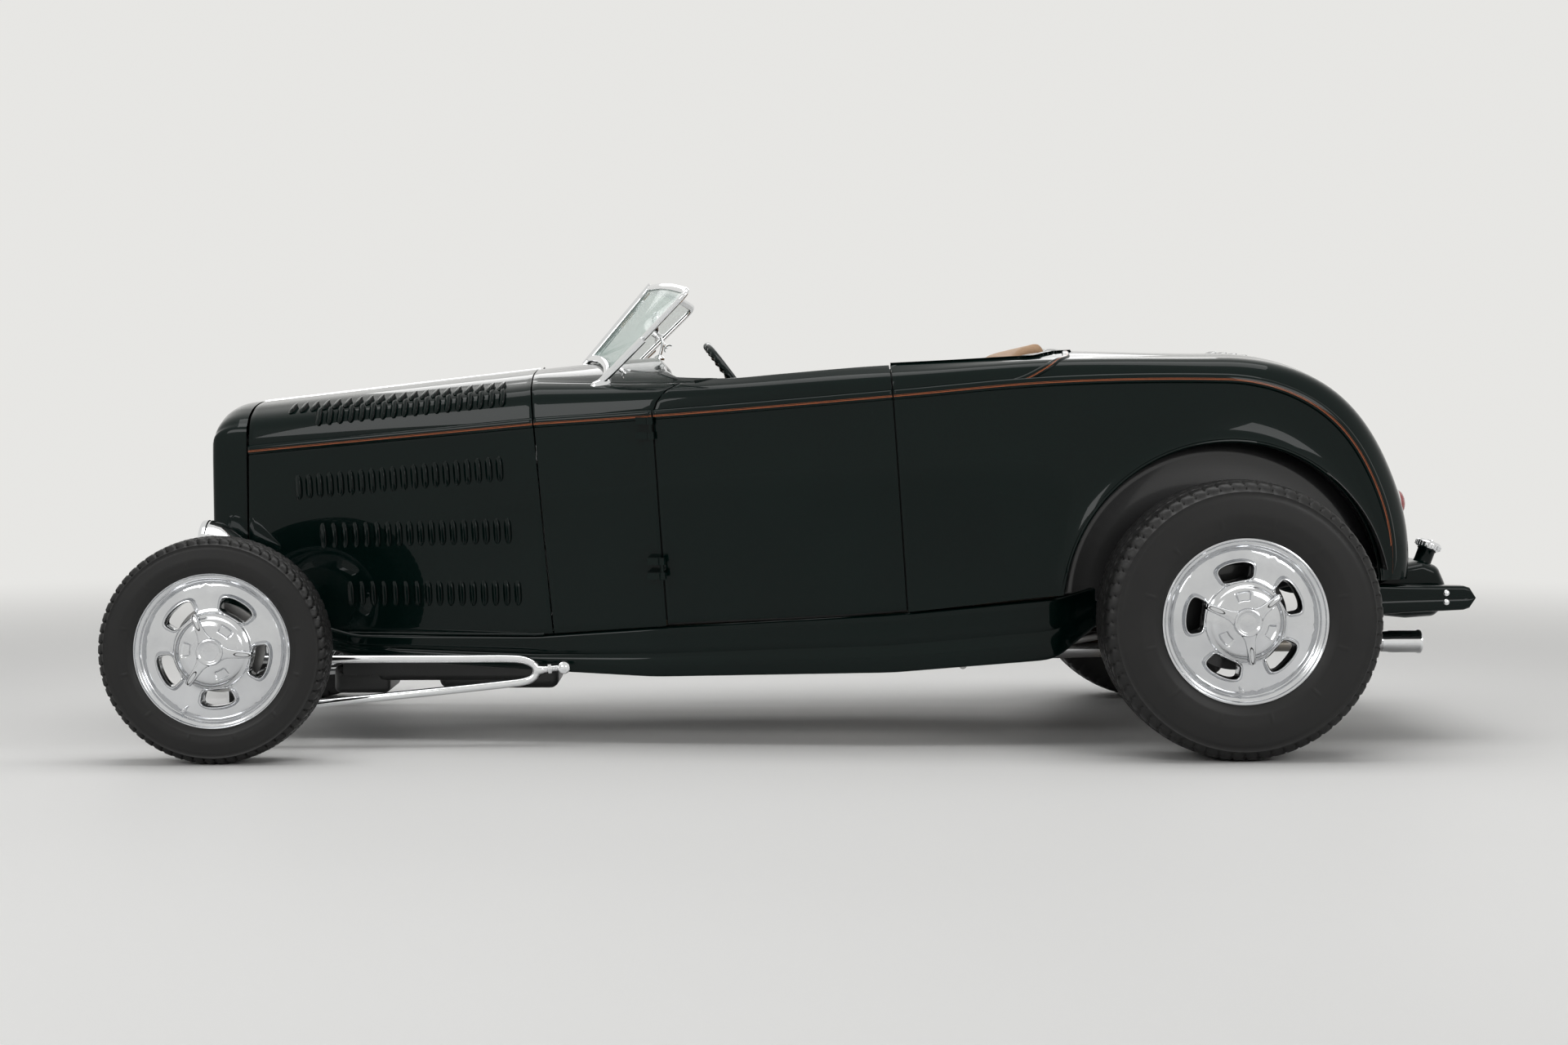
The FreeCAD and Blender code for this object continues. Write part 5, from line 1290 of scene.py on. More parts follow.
# A raised strip along a line on the body: rows run across it from its lower to its upper edge. Its height
# over the surface is a flat-topped curve, 1 - |share|^4.
def surfaceStrip(place, around, half, height, rows):
    points = bodyPoint(place, around)
    normal = bodyNormal(place, np.maximum(around - 0.04, 0.0)) + bodyNormal(place,
        np.minimum(around + 0.05, nearCentre))
    normal[:, 1] = np.where(around > 4.98, 0, normal[:, 1])
    normal = unit(normal)
    ahead = np.gradient(points, axis=0)
    ahead[-1, 2] = np.where(around[-1] > 4.98, 0, ahead[-1, 2])
    side = unit(np.cross(normal, ahead))
    side *= np.where(side[:, 2:3] * 0 + side[len(side) // 8][2] < 0, -1, 1)
    share = np.linspace(-1, 1, rows)[:, None, None]
    rise = height * (1 - np.abs(share) ** 4) - 0.0012 * (np.abs(share) > 0.999)
    return points + side * share * half + normal * rise


# The belt moulding is cut at each panel gap and moves with its panel; its stripes follow its UV
def beltMouldings():
    look = mouldLook
    seam = float(hoodSeamAt(bodyPoint(-1.89, 1.0)[2]))
    doorFront = float(lineAt(panelLines["doorFront"], 0.911))
    doorRear = float(lineAt(panelLines["doorRear"], 0.968))
    runs = [("hoodMoulding", panelLines["hoodStart"], seam - gap / 2, "%s_hood"),
        ("cowlMoulding", seam + gap / 2, doorFront - gap / 2, "chassis"),
        ("doorMoulding", doorFront + gap / 2, doorRear - gap / 2, "%s_door"),
        ("bodyMoulding", doorRear + gap / 2, 0.87, "chassis")]
    for name, start, end, body in runs:
        count = max(int((end - start) / look["step"]), 12)
        place = np.linspace(start, end, count)
        grid = surfaceStrip(place, np.full(count, 1.0), look["half"], look["height"], look["rows"])
        if name == "bodyMoulding":
            # it fades out at the tail
            size = np.clip((end - place) / 0.05, 0.0, 1) ** 0.5
            middle = grid[look["rows"] // 2][None]
            grid = middle + (grid - middle) * size[None, :, None]
        for label, side, mirror in bothSides:
            Sheets().onSide(grid, mirror).piece(name + label, body.replace("%s", side), stripedPaint,
                slot="body_paint", wall=0.0025)
    knots = np.array([(place, around, 0) for place, around in look["branch"]], float)
    curve = smoothPath(knots * (1, 0.1, 1), 150)
    place, around = curve[:, 0], np.clip(curve[:, 1] / 0.1, 1.0, 5.0)
    grid = surfaceStrip(place, around, 0.011, 0.005, look["rows"])
    Sheets().add(grid).mirrored().piece("deckMoulding", "chassis", stripedPaint, weld=0.0004, slot="body_paint")
    print("mouldings made")


# Rows of louvers: first and last place, first and last height (or around), count
louverLook = dict(sideRows=((-2.55, -1.981, 0.708, 0.762, 20), (-2.48, -1.959, 0.574, 0.591, 18),
    (-2.404, -1.933, 0.412, 0.419, 16)), topRows=((-2.574, -1.979, 2.62, 20), (-2.493, -1.974, 1.95, 18)),
    tall=0.07, wide=0.0175, deep=0.0105, topTall=0.06, lidRow=(0.035, 0.3, 11, 0.125), lidTall=0.12, )


# One louver: rises smoothly from its front, ends in an open back edge with a dark sheet of painted shade inside
# it; long ends are rounded
def louver(point, ahead, up, normal, tall, look):
    across = np.linspace(0, 1, 8)[None, :]
    length = np.linspace(-1, 1, 9)[:, None]
    ends = np.sqrt(np.clip(1 - np.abs(length) ** 3.2, 0, 1))
    rise = look["deep"] * np.sin(across * np.pi / 2) ** 0.8 * ends
    width = (across - 0.5) * look["wide"] * (0.35 + 0.65 * ends)
    top = point + width[..., None] * ahead + (length * tall / 2)[..., None] * up + rise[..., None] * normal
    back = top[:, -1]
    lip = np.stack([back, back + ahead * 0.0006 - normal * 0.0005, back - ahead * 0.0008 - normal * 0.0012], 1)
    # a sheet from the back edge down to the skin: painted shade in the opening
    shadeSheet = np.stack([back - ahead * 0.0006 - normal * 0.0004, back - ahead * 0.0006 - normal
        * (rise[:, -1:] + 0.0001)], 1)
    return top, lip, shadeSheet


# Adds one louver at a place on the body; upAxis is the coordinate that its length should rise along
def layLouver(skins, shadeSlits, place, around, tall, look, upAxis=2):
    point, normal = bodyPoint(place, around), bodyNormal(place, around)
    ahead = unit(bodyPoint(place + 0.002, around) - point)
    up = unit(np.cross(normal, ahead))
    up *= -1 if up[upAxis] < 0 else 1
    top, lip, shadeSheet = louver(point, ahead, up, normal, tall, look)
    skins.add(top).add(lip)
    shadeSlits.add(shadeSheet)


def louvers():
    look = louverLook
    skins, shadeSlits = Sheets(), Sheets()
    for first, last, lowEnd, highEnd, count in look["sideRows"]:
        for step in np.linspace(0, 1, count):
            place = first + (last - first) * step
            around = float(aroundFor(place, lowEnd + (highEnd - lowEnd) * step, 0, 1, "height"))
            layLouver(skins, shadeSlits, place, around, look["tall"], look)
    skins.mirrored().piece("sideLouvers", "chassis", paint, slot="body_paint")
    # the openings are black sheets: painted shade
    shadeSlits.mirrored().piece("sideLouverShade", "chassis", seal, slot="body_paint")
    skins, shadeSlits = Sheets(), Sheets()
    for first, last, around, count in look["topRows"]:
        for place in np.linspace(first, last, count):
            layLouver(skins, shadeSlits, place, around, look["topTall"], look)
    for label, side, mirror in bothSides:
        for sheets, name, finish in ((skins, "topLouvers", paint), (shadeSlits, "topLouverOpenings", seal)):
            sheets.sideOnly(mirror).piece(name + label, side + "_hood", finish, slot="body_paint")
    print("louvers made")


beltMouldings()
louvers()


# Windshield and mirror
screenLook = dict(foot=(-1.767, 0.0, 1.059), top=(-1.576, 0.0, 1.287), sideTop=(-1.46, -0.527, 1.262),
    sideFoot=(-1.7, -0.4, 0.996), corner=0.062, frameWide=0.0105, frameDeep=0.0075, glass=0.0028)


# The left pane's outline in its own plane, its lower edge following the cowl, its outer top corner round
def screenOutline():
    look = screenLook
    base = np.array([rearAxle, 0, 0])
    foot, top, sideTop, sideFoot = (np.array(look[key]) + base for key in ("foot", "top", "sideTop",
        "sideFoot"))
    normal = np.cross(top - foot, sideFoot - foot)
    normal /= np.linalg.norm(normal)
    sideTop = sideTop - normal * ((sideTop - foot) @ normal)
    half = np.linspace(0.001, -sideFoot[1], 40)
    height = np.full(40, 1.03)
    for _ in range(14):
        x = foot[0] - (normal[1] * (-half - foot[1]) + normal[2] * (height - foot[2])) / normal[0]
        around = aroundFor(x - rearAxle, half, 1.0, 5.0)
        height = bodyPoint(x - rearAxle, around)[:, 2] + 0.006
    lower = np.stack([x, -half, height], 1)
    upRun = top - lower[0]
    across = sideTop - top
    down = lower[-1] - sideTop
    reach = look["corner"]
    cornerStart = sideTop - across / np.linalg.norm(across) * reach
    cornerEnd = sideTop + down / np.linalg.norm(down) * reach
    step = np.linspace(0, 1, 16)[:, None]
    corner = (1 - step) ** 2 * cornerStart + 2 * step * (1 - step) * sideTop + step ** 2 * cornerEnd
    topBulge = np.linspace(0, 1, 14)[1:-1, None]
    rise = np.array([0.0, 0.0, 0.01])
    topRun = top + (cornerStart - top) * topBulge + rise * np.sin(np.pi * topBulge) * 0.8
    outline = np.concatenate([lower[::-1], (lower[0] + upRun * np.linspace(0, 1, 12)[1:-1, None]), top[None],
        topRun, corner, cornerEnd + (lower[-1] - cornerEnd) * np.linspace(0, 1, 12)[1:-1, None]])
    middle = outline.mean(axis=0)
    return outline, normal, middle


# Chrome frames round two tinted panes, a centre post, side arms, wing screws and an oval mirror
def windshield():
    look = screenLook
    outline, normal, middle = screenOutline()
    normal = normal * (1 if normal[0] < 0 else -1)
    turn = wholeTurn(20)
    ahead = unit(np.roll(outline, -1, axis=0) - np.roll(outline, 1, axis=0))
    inward = np.cross(normal, ahead)
    inward *= np.where(np.sum(inward * (middle - outline), axis=1) < 0, -1, 1)[:, None]
    wide, deep = squaredTurn(turn, 0.7)
    wide, deep = wide * look["frameWide"], deep * look["frameDeep"]
    ring = (outline[:, None] + inward[:, None] * (wide[None, :, None] + look["frameWide"]) + normal
        * deep[None, :, None])
    rim = Sheets().add(ring, closeRows=True, closeColumns=True)
    inner = outline + inward * look["frameWide"] * 1.6
    rubberRing = inner[:, None] + inward[:, None] * (np.cos(turn) * 0.0045)[None, :,
        None] + normal * (np.sin(turn) * 0.0048)[None, :, None]
    gasket = Sheets().add(rubberRing, closeRows=True, closeColumns=True)
    share = np.linspace(1, 0, 10)[:, None, None]
    face = middle + (inner - middle)[None] * share
    pane = Sheets().ring(face + normal * look["glass"]).ring(face - normal * look["glass"], flip=True)
    foot, top = np.array(look["foot"]) + (rearAxle, 0, 0), np.array(look["top"]) + (rearAxle, 0, 0)
    upPost = (top - foot) / np.linalg.norm(top - foot)
    post = Sheets().pipe(np.array([foot - upPost * 0.004, foot + upPost * 0.004, top - upPost * 0.006,
        top + upPost * 0.001]), 0.0105, 24, up=(0, 1, 0))
    back = np.array([0.012, 0, 0.004])
    post.pipe(np.array([foot + (0.02, 0, 0.02), top - (0.02, 0, 0.022)]) + back, 0.008, 16, up=(0, 1, 0))
    sideFoot = outline[0]
    arm = smoothPath([sideFoot + (-0.024, 0.002, -0.018), sideFoot + (0.0, -0.006, 0.004),
        sideFoot + (outline[-6] - sideFoot) + (0, -0.008, 0)], 24)
    arms = Sheets().pipe(arm, 0.0105, 18, squash=0.6, up=(0, 1, 0))
    pad = smoothPath([sideFoot + (-0.04, -0.004, -0.026), sideFoot + (-0.02, -0.006, -0.016),
        sideFoot + (0.018, -0.004, 0.002)], 14)
    arms.ring(capped(along(pad, circle(0.016, 18, 0.5), up=(0, 1, 0), size=np.interp(np.linspace(0, 1, 14),
        [0, 0.3, 0.8, 1], [0.25, 1, 0.9, 0.5]))), flip=True)
    screws = Sheets()
    for share in (0.12, 0.62):
        index = len(outline) - 1 - int(share * 11)
        centre = outline[index] + inward[index] * 0.01 - normal * 0.01
        screws.lathe([(0.0, 0), (0.0, 0.007), (0.01, 0.0065), (0.012, 0.0045), (0.014, 0.0045), (0.022, 0.004),
            (0.0235, 0)], centre, -normal, 16)
        for way in (-1, 1):
            wing = np.array([centre - normal * 0.014, centre - normal * 0.018 + ahead[index] * way * 0.01,
                centre - normal * 0.026 + ahead[index] * way * 0.015])
            screws.pipe(smoothPath(wing, 8), 0.0026, 10, up=tuple(inward[index]), squash=1.6)
    rim.mirrored().solid("windshieldFrame", "chassis", chrome, replaces=("windshield_frame",), slot="chrome")
    gasket.mirrored().solid("windshieldSeal", "chassis", seal, slot="chrome")
    pane.mirrored().solid("windshieldGlass", "chassis", glass, replaces=("windshield_glass",),
        slot="tinted_glass")
    post.solid("windshieldPost", "chassis", chrome, slot="chrome")
    arms.mirrored().solid("windshieldArms", "chassis", chrome, slot="chrome")
    screws.mirrored().solid("wingScrews", "chassis", chrome, slot="chrome")
    foot = np.array([rearAxle - 1.553, 0, 1.074])
    head = np.array([rearAxle - 1.56, 0, 1.182])
    mirror = Sheets().lathe([(-0.004, 0), (-0.004, 0.016), (0.002, 0.017), (0.008, 0.012), (0.012, 0.006)],
        foot, (0, 0, 1), 32)
    mirror.pipe(smoothPath([foot, foot + (0.01, 0, 0.05), head + (-0.006, 0, -0.016), head], 20), 0.0045, 16,
        up=(0, 1, 0))
    bowl = turned([(-0.02, 0), (-0.019, 0.012), (-0.013, 0.03), (-0.004, 0.042), (0.003, 0.0445),
        (0.006, 0.043), (0.005, 0.0405)], (0, 0, 0), (1, 0, 0), 48)
    bowl = bowl * (1, 1.35, 0.72) + head
    mirror.ring(bowl)
    facePlate = turned([(0.0048, 0.041), (0.0046, 0.03), (0.0044, 0)], (0, 0, 0), (1, 0, 0), 48)
    mirror.ring(facePlate * (1, 1.35, 0.72) + head)
    mirror.solid("rearMirror", "chassis", chrome, replaces=("mirror",), slot="chrome")
    print("windshield made")


windshield()


# Cabin: firewall, linings, wheel houses
liningLook = dict(inset=0.021, pleat=0.052, pleatDepth=0.0045, welt=0.0035, wellRadius=0.447, wellHalf=0.437)


# A pressed wall on the hood seam's slant, with two ribs and a raised field between them
def firewall():
    around = np.linspace(0.0, 5.0, 110)
    place = np.full(110, -1.85)
    for _ in range(8):
        place = hoodSeamAt(bodyPoint(place, around)[:, 2], 0.012)
    outline = bodyPoint(place, around)
    share = np.linspace(0.985, 0, 16)[:, None]
    grid = np.stack([np.broadcast_to(outline[:, 0], (16, 110)), outline[:, 1] * share,
        np.broadcast_to(outline[:, 2], (16, 110))], -1)
    across, height = np.abs(grid[..., 1]), grid[..., 2]
    field = (sharpStep(0.26 - across, 0.004) * sharpStep(height - 0.45, 0.004) * sharpStep(0.9 - height, 0.004))
    ribs = sum(bell(height - level, 0.008) for level in (0.56, 0.66, 0.76))
    grid[..., 0] -= field * (0.01 + 0.004 * ribs)
    Sheets().add(grid).mirrored().piece("firewall", "chassis", paint, weld=0.0004, wall=0.004,
        slot="body_paint")
    print("firewall made")


# A trimmed panel inside the skin: pleats between two welts, its edges turned out towards the skin
def lining(name, body, field, mirror):
    look = liningLook
    place, around = field
    points = bodyPoint(place, around)
    normal = bodyNormal(place, np.clip(around, 0.01, 4.9))
    rows, columns = place.shape
    share = np.linspace(0, 1, rows)[:, None]
    inner = sharpStep(share - 0.16, 0.006) * sharpStep(0.74 - share, 0.006)
    pleats = np.abs(np.sin(np.pi * place / look["pleat"])) ** 0.7 * look["pleatDepth"] * inner
    welts = sum(bell(share - at, 0.012) for at in (0.16, 0.74)) * look["welt"]
    rise = look["inset"] + pleats + welts + 0 * place
    edge = np.minimum(np.minimum(share, 1 - share) * rows, np.minimum(np.arange(columns),
        columns - 1 - np.arange(columns))[None, :]) / 2.0
    rise = rise - (1 - np.clip(edge, 0, 1)) ** 2 * 0.011
    grid = (points - normal * rise[..., None]) * (1, mirror, 1)
    Sheets().add(grid, flip=mirror > 0).piece(name, body, leather, slot="tan_leather")


def linings():
    rows, columns = np.linspace(0, 1, 50), np.linspace(0, 1, 90)
    belowRim = lambda place: aroundFor(place, bodyPoint(place, cockpitEdge(place))[..., 2] - 0.03, 0.5, 3.0,
        "height")
    door = panelField(lambda z: doorFrontAt(z) + 0.03, lambda z: doorRearAt(z) - 0.022, constant(0.045),
        belowRim, columns, rows)
    kick = panelField(lambda z: hoodSeamAt(z, 0.03), lambda z: doorFrontAt(z) - 0.012, constant(0.05),
        constant(1.5), np.linspace(0, 1, 34), rows)
    quarter = panelField(lambda z: doorRearAt(z) + 0.012, constant(-0.475), lambda place: 0.03 + 0 * place,
        lambda place: np.minimum(belowRim(place), 1.9), np.linspace(0, 1, 50), rows)
    for label, side, mirror in bothSides:
        lining("doorCard" + label, side + "_door", door, mirror)
        lining("kickPanel" + label, "chassis", kick, mirror)
        lining("quarterPanel" + label, "chassis", quarter, mirror)
        pull = Sheets()
        start = bodyPoint(-1.2, 0.93) * (1, mirror, 1) + np.array([0, 0.03 * mirror, 0])
        path = smoothPath([start, start + (0.004, 0.03 * mirror, 0), start + (0.05, 0.036 * mirror, 0.002),
            start + (0.16, 0.034 * mirror, 0.006), start + (0.205, 0.028 * mirror, 0.008),
            start + (0.209, 0.0, 0.008)], 40)
        pull.pipe(path, 0.0065, 16, squash=1.5)
        lever = bodyPoint(-1.4, 0.86) * (1, mirror, 1) + np.array([0, 0.026 * mirror, 0])
        pull.lathe([(0.0, 0), (0.0, 0.02), (0.004, 0.019), (0.008, 0.01), (0.016, 0.009), (0.018, 0)], lever,
            (0, mirror, 0), 28, flip=mirror < 0)
        pull.pipe(smoothPath([lever + (0, 0.014 * mirror, 0), lever + (0.03, 0.018 * mirror, 0.004),
            lever + (0.075, 0.02 * mirror, 0.01)], 16), 0.005, 14, squash=0.7)
        pull.solid("doorHandle" + label, side + "_door", chrome, slot="chrome")
    print("linings made")


# Inside each rear arch: a band round the wheel and a wall on its inner side, stiffened by ribs
def wheelHouses():
    look = liningLook
    middleX, middleZ = rearAxle + panelLines["archCentre"][0], panelLines["archCentre"][1]
    turn = np.linspace(math.radians(-8), math.radians(168), 80)
    across = np.linspace(0, 1, 12)[:, None]
    skin = np.interp(turn, np.radians([-8, 30, 90, 150, 188]), [0.45, 0.497, 0.548, 0.548, 0.536])
    half = look["wellHalf"] + (skin - look["wellHalf"]) * across
    rib = 0.0035 * bell(across - 0.5, 0.1) + 0 * turn
    radius = look["wellRadius"] + rib
    low = 0.43
    band = np.stack([middleX - np.cos(turn) * radius, -half + 0 * turn, middleZ + np.sin(turn) * radius], -1)
    band[..., 2] = np.maximum(band[..., 2], low - 0.06)
    share = np.linspace(1, 0, 12)[:, None]
    ring = np.stack([middleX - np.cos(turn) * look["wellRadius"] * share, np.full((12, 80), -look["wellHalf"]),
        np.maximum(middleZ + np.sin(turn) * look["wellRadius"] * share, 0.4)], -1)
    out = np.hypot(ring[..., 0] - middleX, ring[..., 2] - middleZ)
    ring[..., 1] += 0.006 * (bell(out - 0.4, 0.01) + bell(out - 0.36, 0.01))
    sheets = Sheets().add(band).add(ring)
    sheets.mirrored().piece("wheelHouses", "chassis", black, wall=0.003, slot="chassis_black")
    print("wheel houses made")


# Seats, stuffed by a cloth simulation
seatLook = dict(voxel=0.008, pressure=4.0, cap=0.018, frames=20, pleat=0.058)


# A closed soft block from a side outline of (x, z) points: its two ends round in by soft
def padForm(outline, half, soft):
    outline = np.asarray(outline, float)
    middle = outline.mean(axis=0)
    reach = np.linalg.norm(outline - middle, axis=1).mean()
    rows = []
    for turn in np.linspace(-np.pi / 2, np.pi / 2, 12):
        shrunk = middle + (outline - middle) * (1 - (1 - math.cos(turn)) * soft / reach)
        level = math.copysign(half - soft, turn) + math.sin(turn) * soft
        rows.append(np.column_stack([shrunk[:, 0], np.full(len(outline), level), shrunk[:, 1]]))
    return capped(np.array(rows))


# A side outline with rounded corners; corners are (aft of the rear axle, height)
def closedOutline(corners, bend):
    corners = [np.array([rearAxle + aft, 0.0, height]) for aft, height in corners]
    path = straightPath(corners[-1:] + corners + corners[:2], bend, 8)
    return path[9:-9][:, [0, 2]]


# Remeshes a form, lets cloth pressure swell it between its seams, and then sews the channels in
def stuffed(form, name, seams, finish, node, shape):
    look = seatLook
    base = Sheets().ring(form)
    piece = base.solid(name + "Form", "chassis", finish)
    remesh = piece.modifiers.new("remesh", "REMESH")
    remesh.mode, remesh.voxel_size, remesh.use_smooth_shade = "VOXEL", look["voxel"], True
    layer = bpy.context.view_layer
    layer.update()
    mesh = bpy.data.meshes.new_from_object(piece.evaluated_get(bpy.context.evaluated_depsgraph_get()))
    old = piece.data
    bpy.data.objects.remove(piece)
    bpy.data.meshes.remove(old)
    work = bpy.data.objects.new(name, mesh)
    bpy.context.scene.collection.objects.link(work)
    start = np.empty(len(mesh.vertices) * 3)
    mesh.vertices.foreach_get("co", start)
    start = start.reshape(-1, 3)
    moved = start
    seamNear = seams(start)
    pins = work.vertex_groups.new(name="pins")
    pins.add(np.flatnonzero(seamNear > 0.6).tolist(), 1.0, "REPLACE")
    cloth = work.modifiers.new("cloth", "CLOTH")
    cloth.settings.use_pressure = True
    cloth.settings.uniform_pressure_force = look["pressure"]
    cloth.settings.quality = 4
    cloth.settings.mass = 0.25
    cloth.settings.tension_stiffness = cloth.settings.compression_stiffness = 12
    cloth.settings.bending_stiffness = 0.4
    cloth.settings.vertex_group_mass = "pins"
    cloth.settings.effector_weights.gravity = 0
    cloth.point_cache.frame_start, cloth.point_cache.frame_end = 1, look["frames"]
    for step in range(1, look["frames"] + 1):
        bpy.context.scene.frame_set(step)
    swollen = work.evaluated_get(bpy.context.evaluated_depsgraph_get()).to_mesh()
    moved = np.empty(len(swollen.vertices) * 3)
    swollen.vertices.foreach_get("co", moved)
    moved = moved.reshape(-1, 3)
    work.modifiers.remove(cloth)
    work.vertex_groups.remove(pins)
    bpy.context.scene.frame_set(1)
    shift = moved - start
    length = np.linalg.norm(shift, axis=1)[:, None]
    moved = start + shift * np.minimum(1, look["cap"] / np.maximum(length, 1e-9))
    mesh.vertices.foreach_set("co", moved.ravel())
    mesh.update()
    normal = np.empty(len(mesh.vertices) * 3)
    mesh.vertices.foreach_get("normal", normal)
    moved = shape(moved, normal.reshape(-1, 3), seamNear)
    mesh.vertices.foreach_set("co", moved.ravel())
    mesh.update()
    bpy.context.scene.collection.objects.unlink(work)
    bpy.data.objects.remove(work)
    piece = dress(mesh, name, "chassis", finish, sharp=80, replaces=(node,), slot="tan_leather")
    print(name, "stuffed")


# Nearness, 0 to 1, to the sewn lines that run every pitch across the seat's middle field
def pleatLines(y, half, pitch):
    return bell(((y + pitch / 2) % pitch) - pitch / 2, 0.004) * sharpStep((half - 0.045) - np.abs(y), 0.002)


def seats():
    pitch = seatLook["pleat"]
    cushion = closedOutline([(-0.59, 0.47), (-0.59, 0.6), (-1.03, 0.632), (-1.058, 0.605), (-1.05, 0.47)],
        0.035)
    back = closedOutline([(-0.585, 0.6), (-0.655, 0.64), (-0.59, 1.052), (-0.548, 1.094), (-0.492, 1.112),
        (-0.474, 1.075), (-0.512, 0.9), (-0.512, 0.6)], 0.024)

    def cushionSeams(points):
        x, y, z = points[:, 0] - rearAxle, points[:, 1], points[:, 2]
        onTop = sharpStep(z - 0.585, 0.003)
        lengthwise = pleatLines(y, 0.43, pitch) * onTop * (x > -1.02) * (x < -0.62)
        border = onTop * (bell(np.abs(y) - 0.388, 0.004) * (x < -0.6) + bell(x + 1.022, 0.004)
            * (np.abs(y) < 0.392))
        middle = bell(z - 0.545, 0.004)
        bottom = z < 0.485
        return np.clip(lengthwise + border + middle + bottom, 0, 1)

    def backSeams(points):
        x, y, z = points[:, 0] - rearAxle, points[:, 1], points[:, 2]
        front = x < -0.56 - (1.06 - z) * 0.1
        lengthwise = pleatLines(y, 0.42, pitch) * front * (z < 1.015)
        border = front * (bell(np.abs(y) - 0.378, 0.004) * (z < 1.02) + bell(z - 1.017, 0.004)
            * (np.abs(y) < 0.382))
        behind = x > -0.52
        return np.clip(lengthwise + border + behind + (z < 0.62), 0, 1)

    def sewn(points, normal, near):
        channel = np.where(near > 0.05, near, 0)
        return points - normal * (channel * 0.0045)[:, None]

    def sewnCushion(points, normal, near):
        shown = points[:, 2] > 0.5
        puff = np.abs(np.sin(np.pi * points[:, 1] / pitch)) ** 0.8 * 0.004
        field = (np.abs(points[:, 1]) < 0.385) & (normal[:, 2] > 0.7)
        return sewn(points, normal, near * shown) + normal * (puff * field)[:, None]

    def sewnBack(points, normal, near):
        shown = (points[:, 0] - rearAxle < -0.525) & (points[:, 2] > 0.63)
        puff = np.abs(np.sin(np.pi * points[:, 1] / pitch)) ** 0.8 * 0.004
        field = (np.abs(points[:, 1]) < 0.375) & (normal[:, 0] < -0.7) & (points[:, 2] < 1.01)
        return sewn(points, normal, near * shown) + normal * (puff * field)[:, None]

    stuffed(padForm(cushion, 0.43, 0.03), "seatCushion", cushionSeams, leather, "seat_cushion", sewnCushion)
    stuffed(padForm(back, 0.42, 0.028), "seatBack", backSeams, leather, "seat_back", sewnBack)
    riser = Sheets().block((rearAxle - 1.045, -0.425, 0.4), (rearAxle - 0.6, 0.425, 0.474), 0.01)
    riser.solid("seatBase", "chassis", carpet, slot="carpet")
    print("seats made")


firewall()
linings()
wheelHouses()
seats()


# Frame rails, with a pressed reveal along their outer face
# aft of the rear axle, outer half width, bottom height, top height
railLook = dict(stations=((-2.846, 0.262, 0.302, 0.355), (-2.692, 0.288, 0.305, 0.361),
    (-2.56, 0.3, 0.285, 0.345), (-2.392, 0.325, 0.232, 0.299), (-1.881, 0.39, 0.203, 0.302),
    (-1.554, 0.435, 0.189, 0.327), (-0.903, 0.494, 0.205, 0.367), (-0.475, 0.492, 0.238, 0.409),
    (-0.445, 0.488, 0.246, 0.412), (-0.33, 0.431, 0.33, 0.44), (-0.17, 0.431, 0.45, 0.54),
    (0.19, 0.431, 0.45, 0.54), (0.4, 0.431, 0.352, 0.442), (0.52, 0.431, 0.361, 0.438),
    (0.732, 0.431, 0.371, 0.436)), width=0.05, corner=0.011, soften=0.028, step=0.016)


# A broken line's values after a moving average whose weights fall off as a bell, exp(-(d/reach)^2)
def softened(places, values, reach):
    step = places[1] - places[0]
    span = np.arange(-int(reach * 2.5 / step), int(reach * 2.5 / step) + 1) * step
    weight = bell(span, reach)
    padded = np.pad(values, len(span) // 2, mode="reflect", reflect_type="odd")
    return np.convolve(padded, weight / weight.sum(), mode="valid")


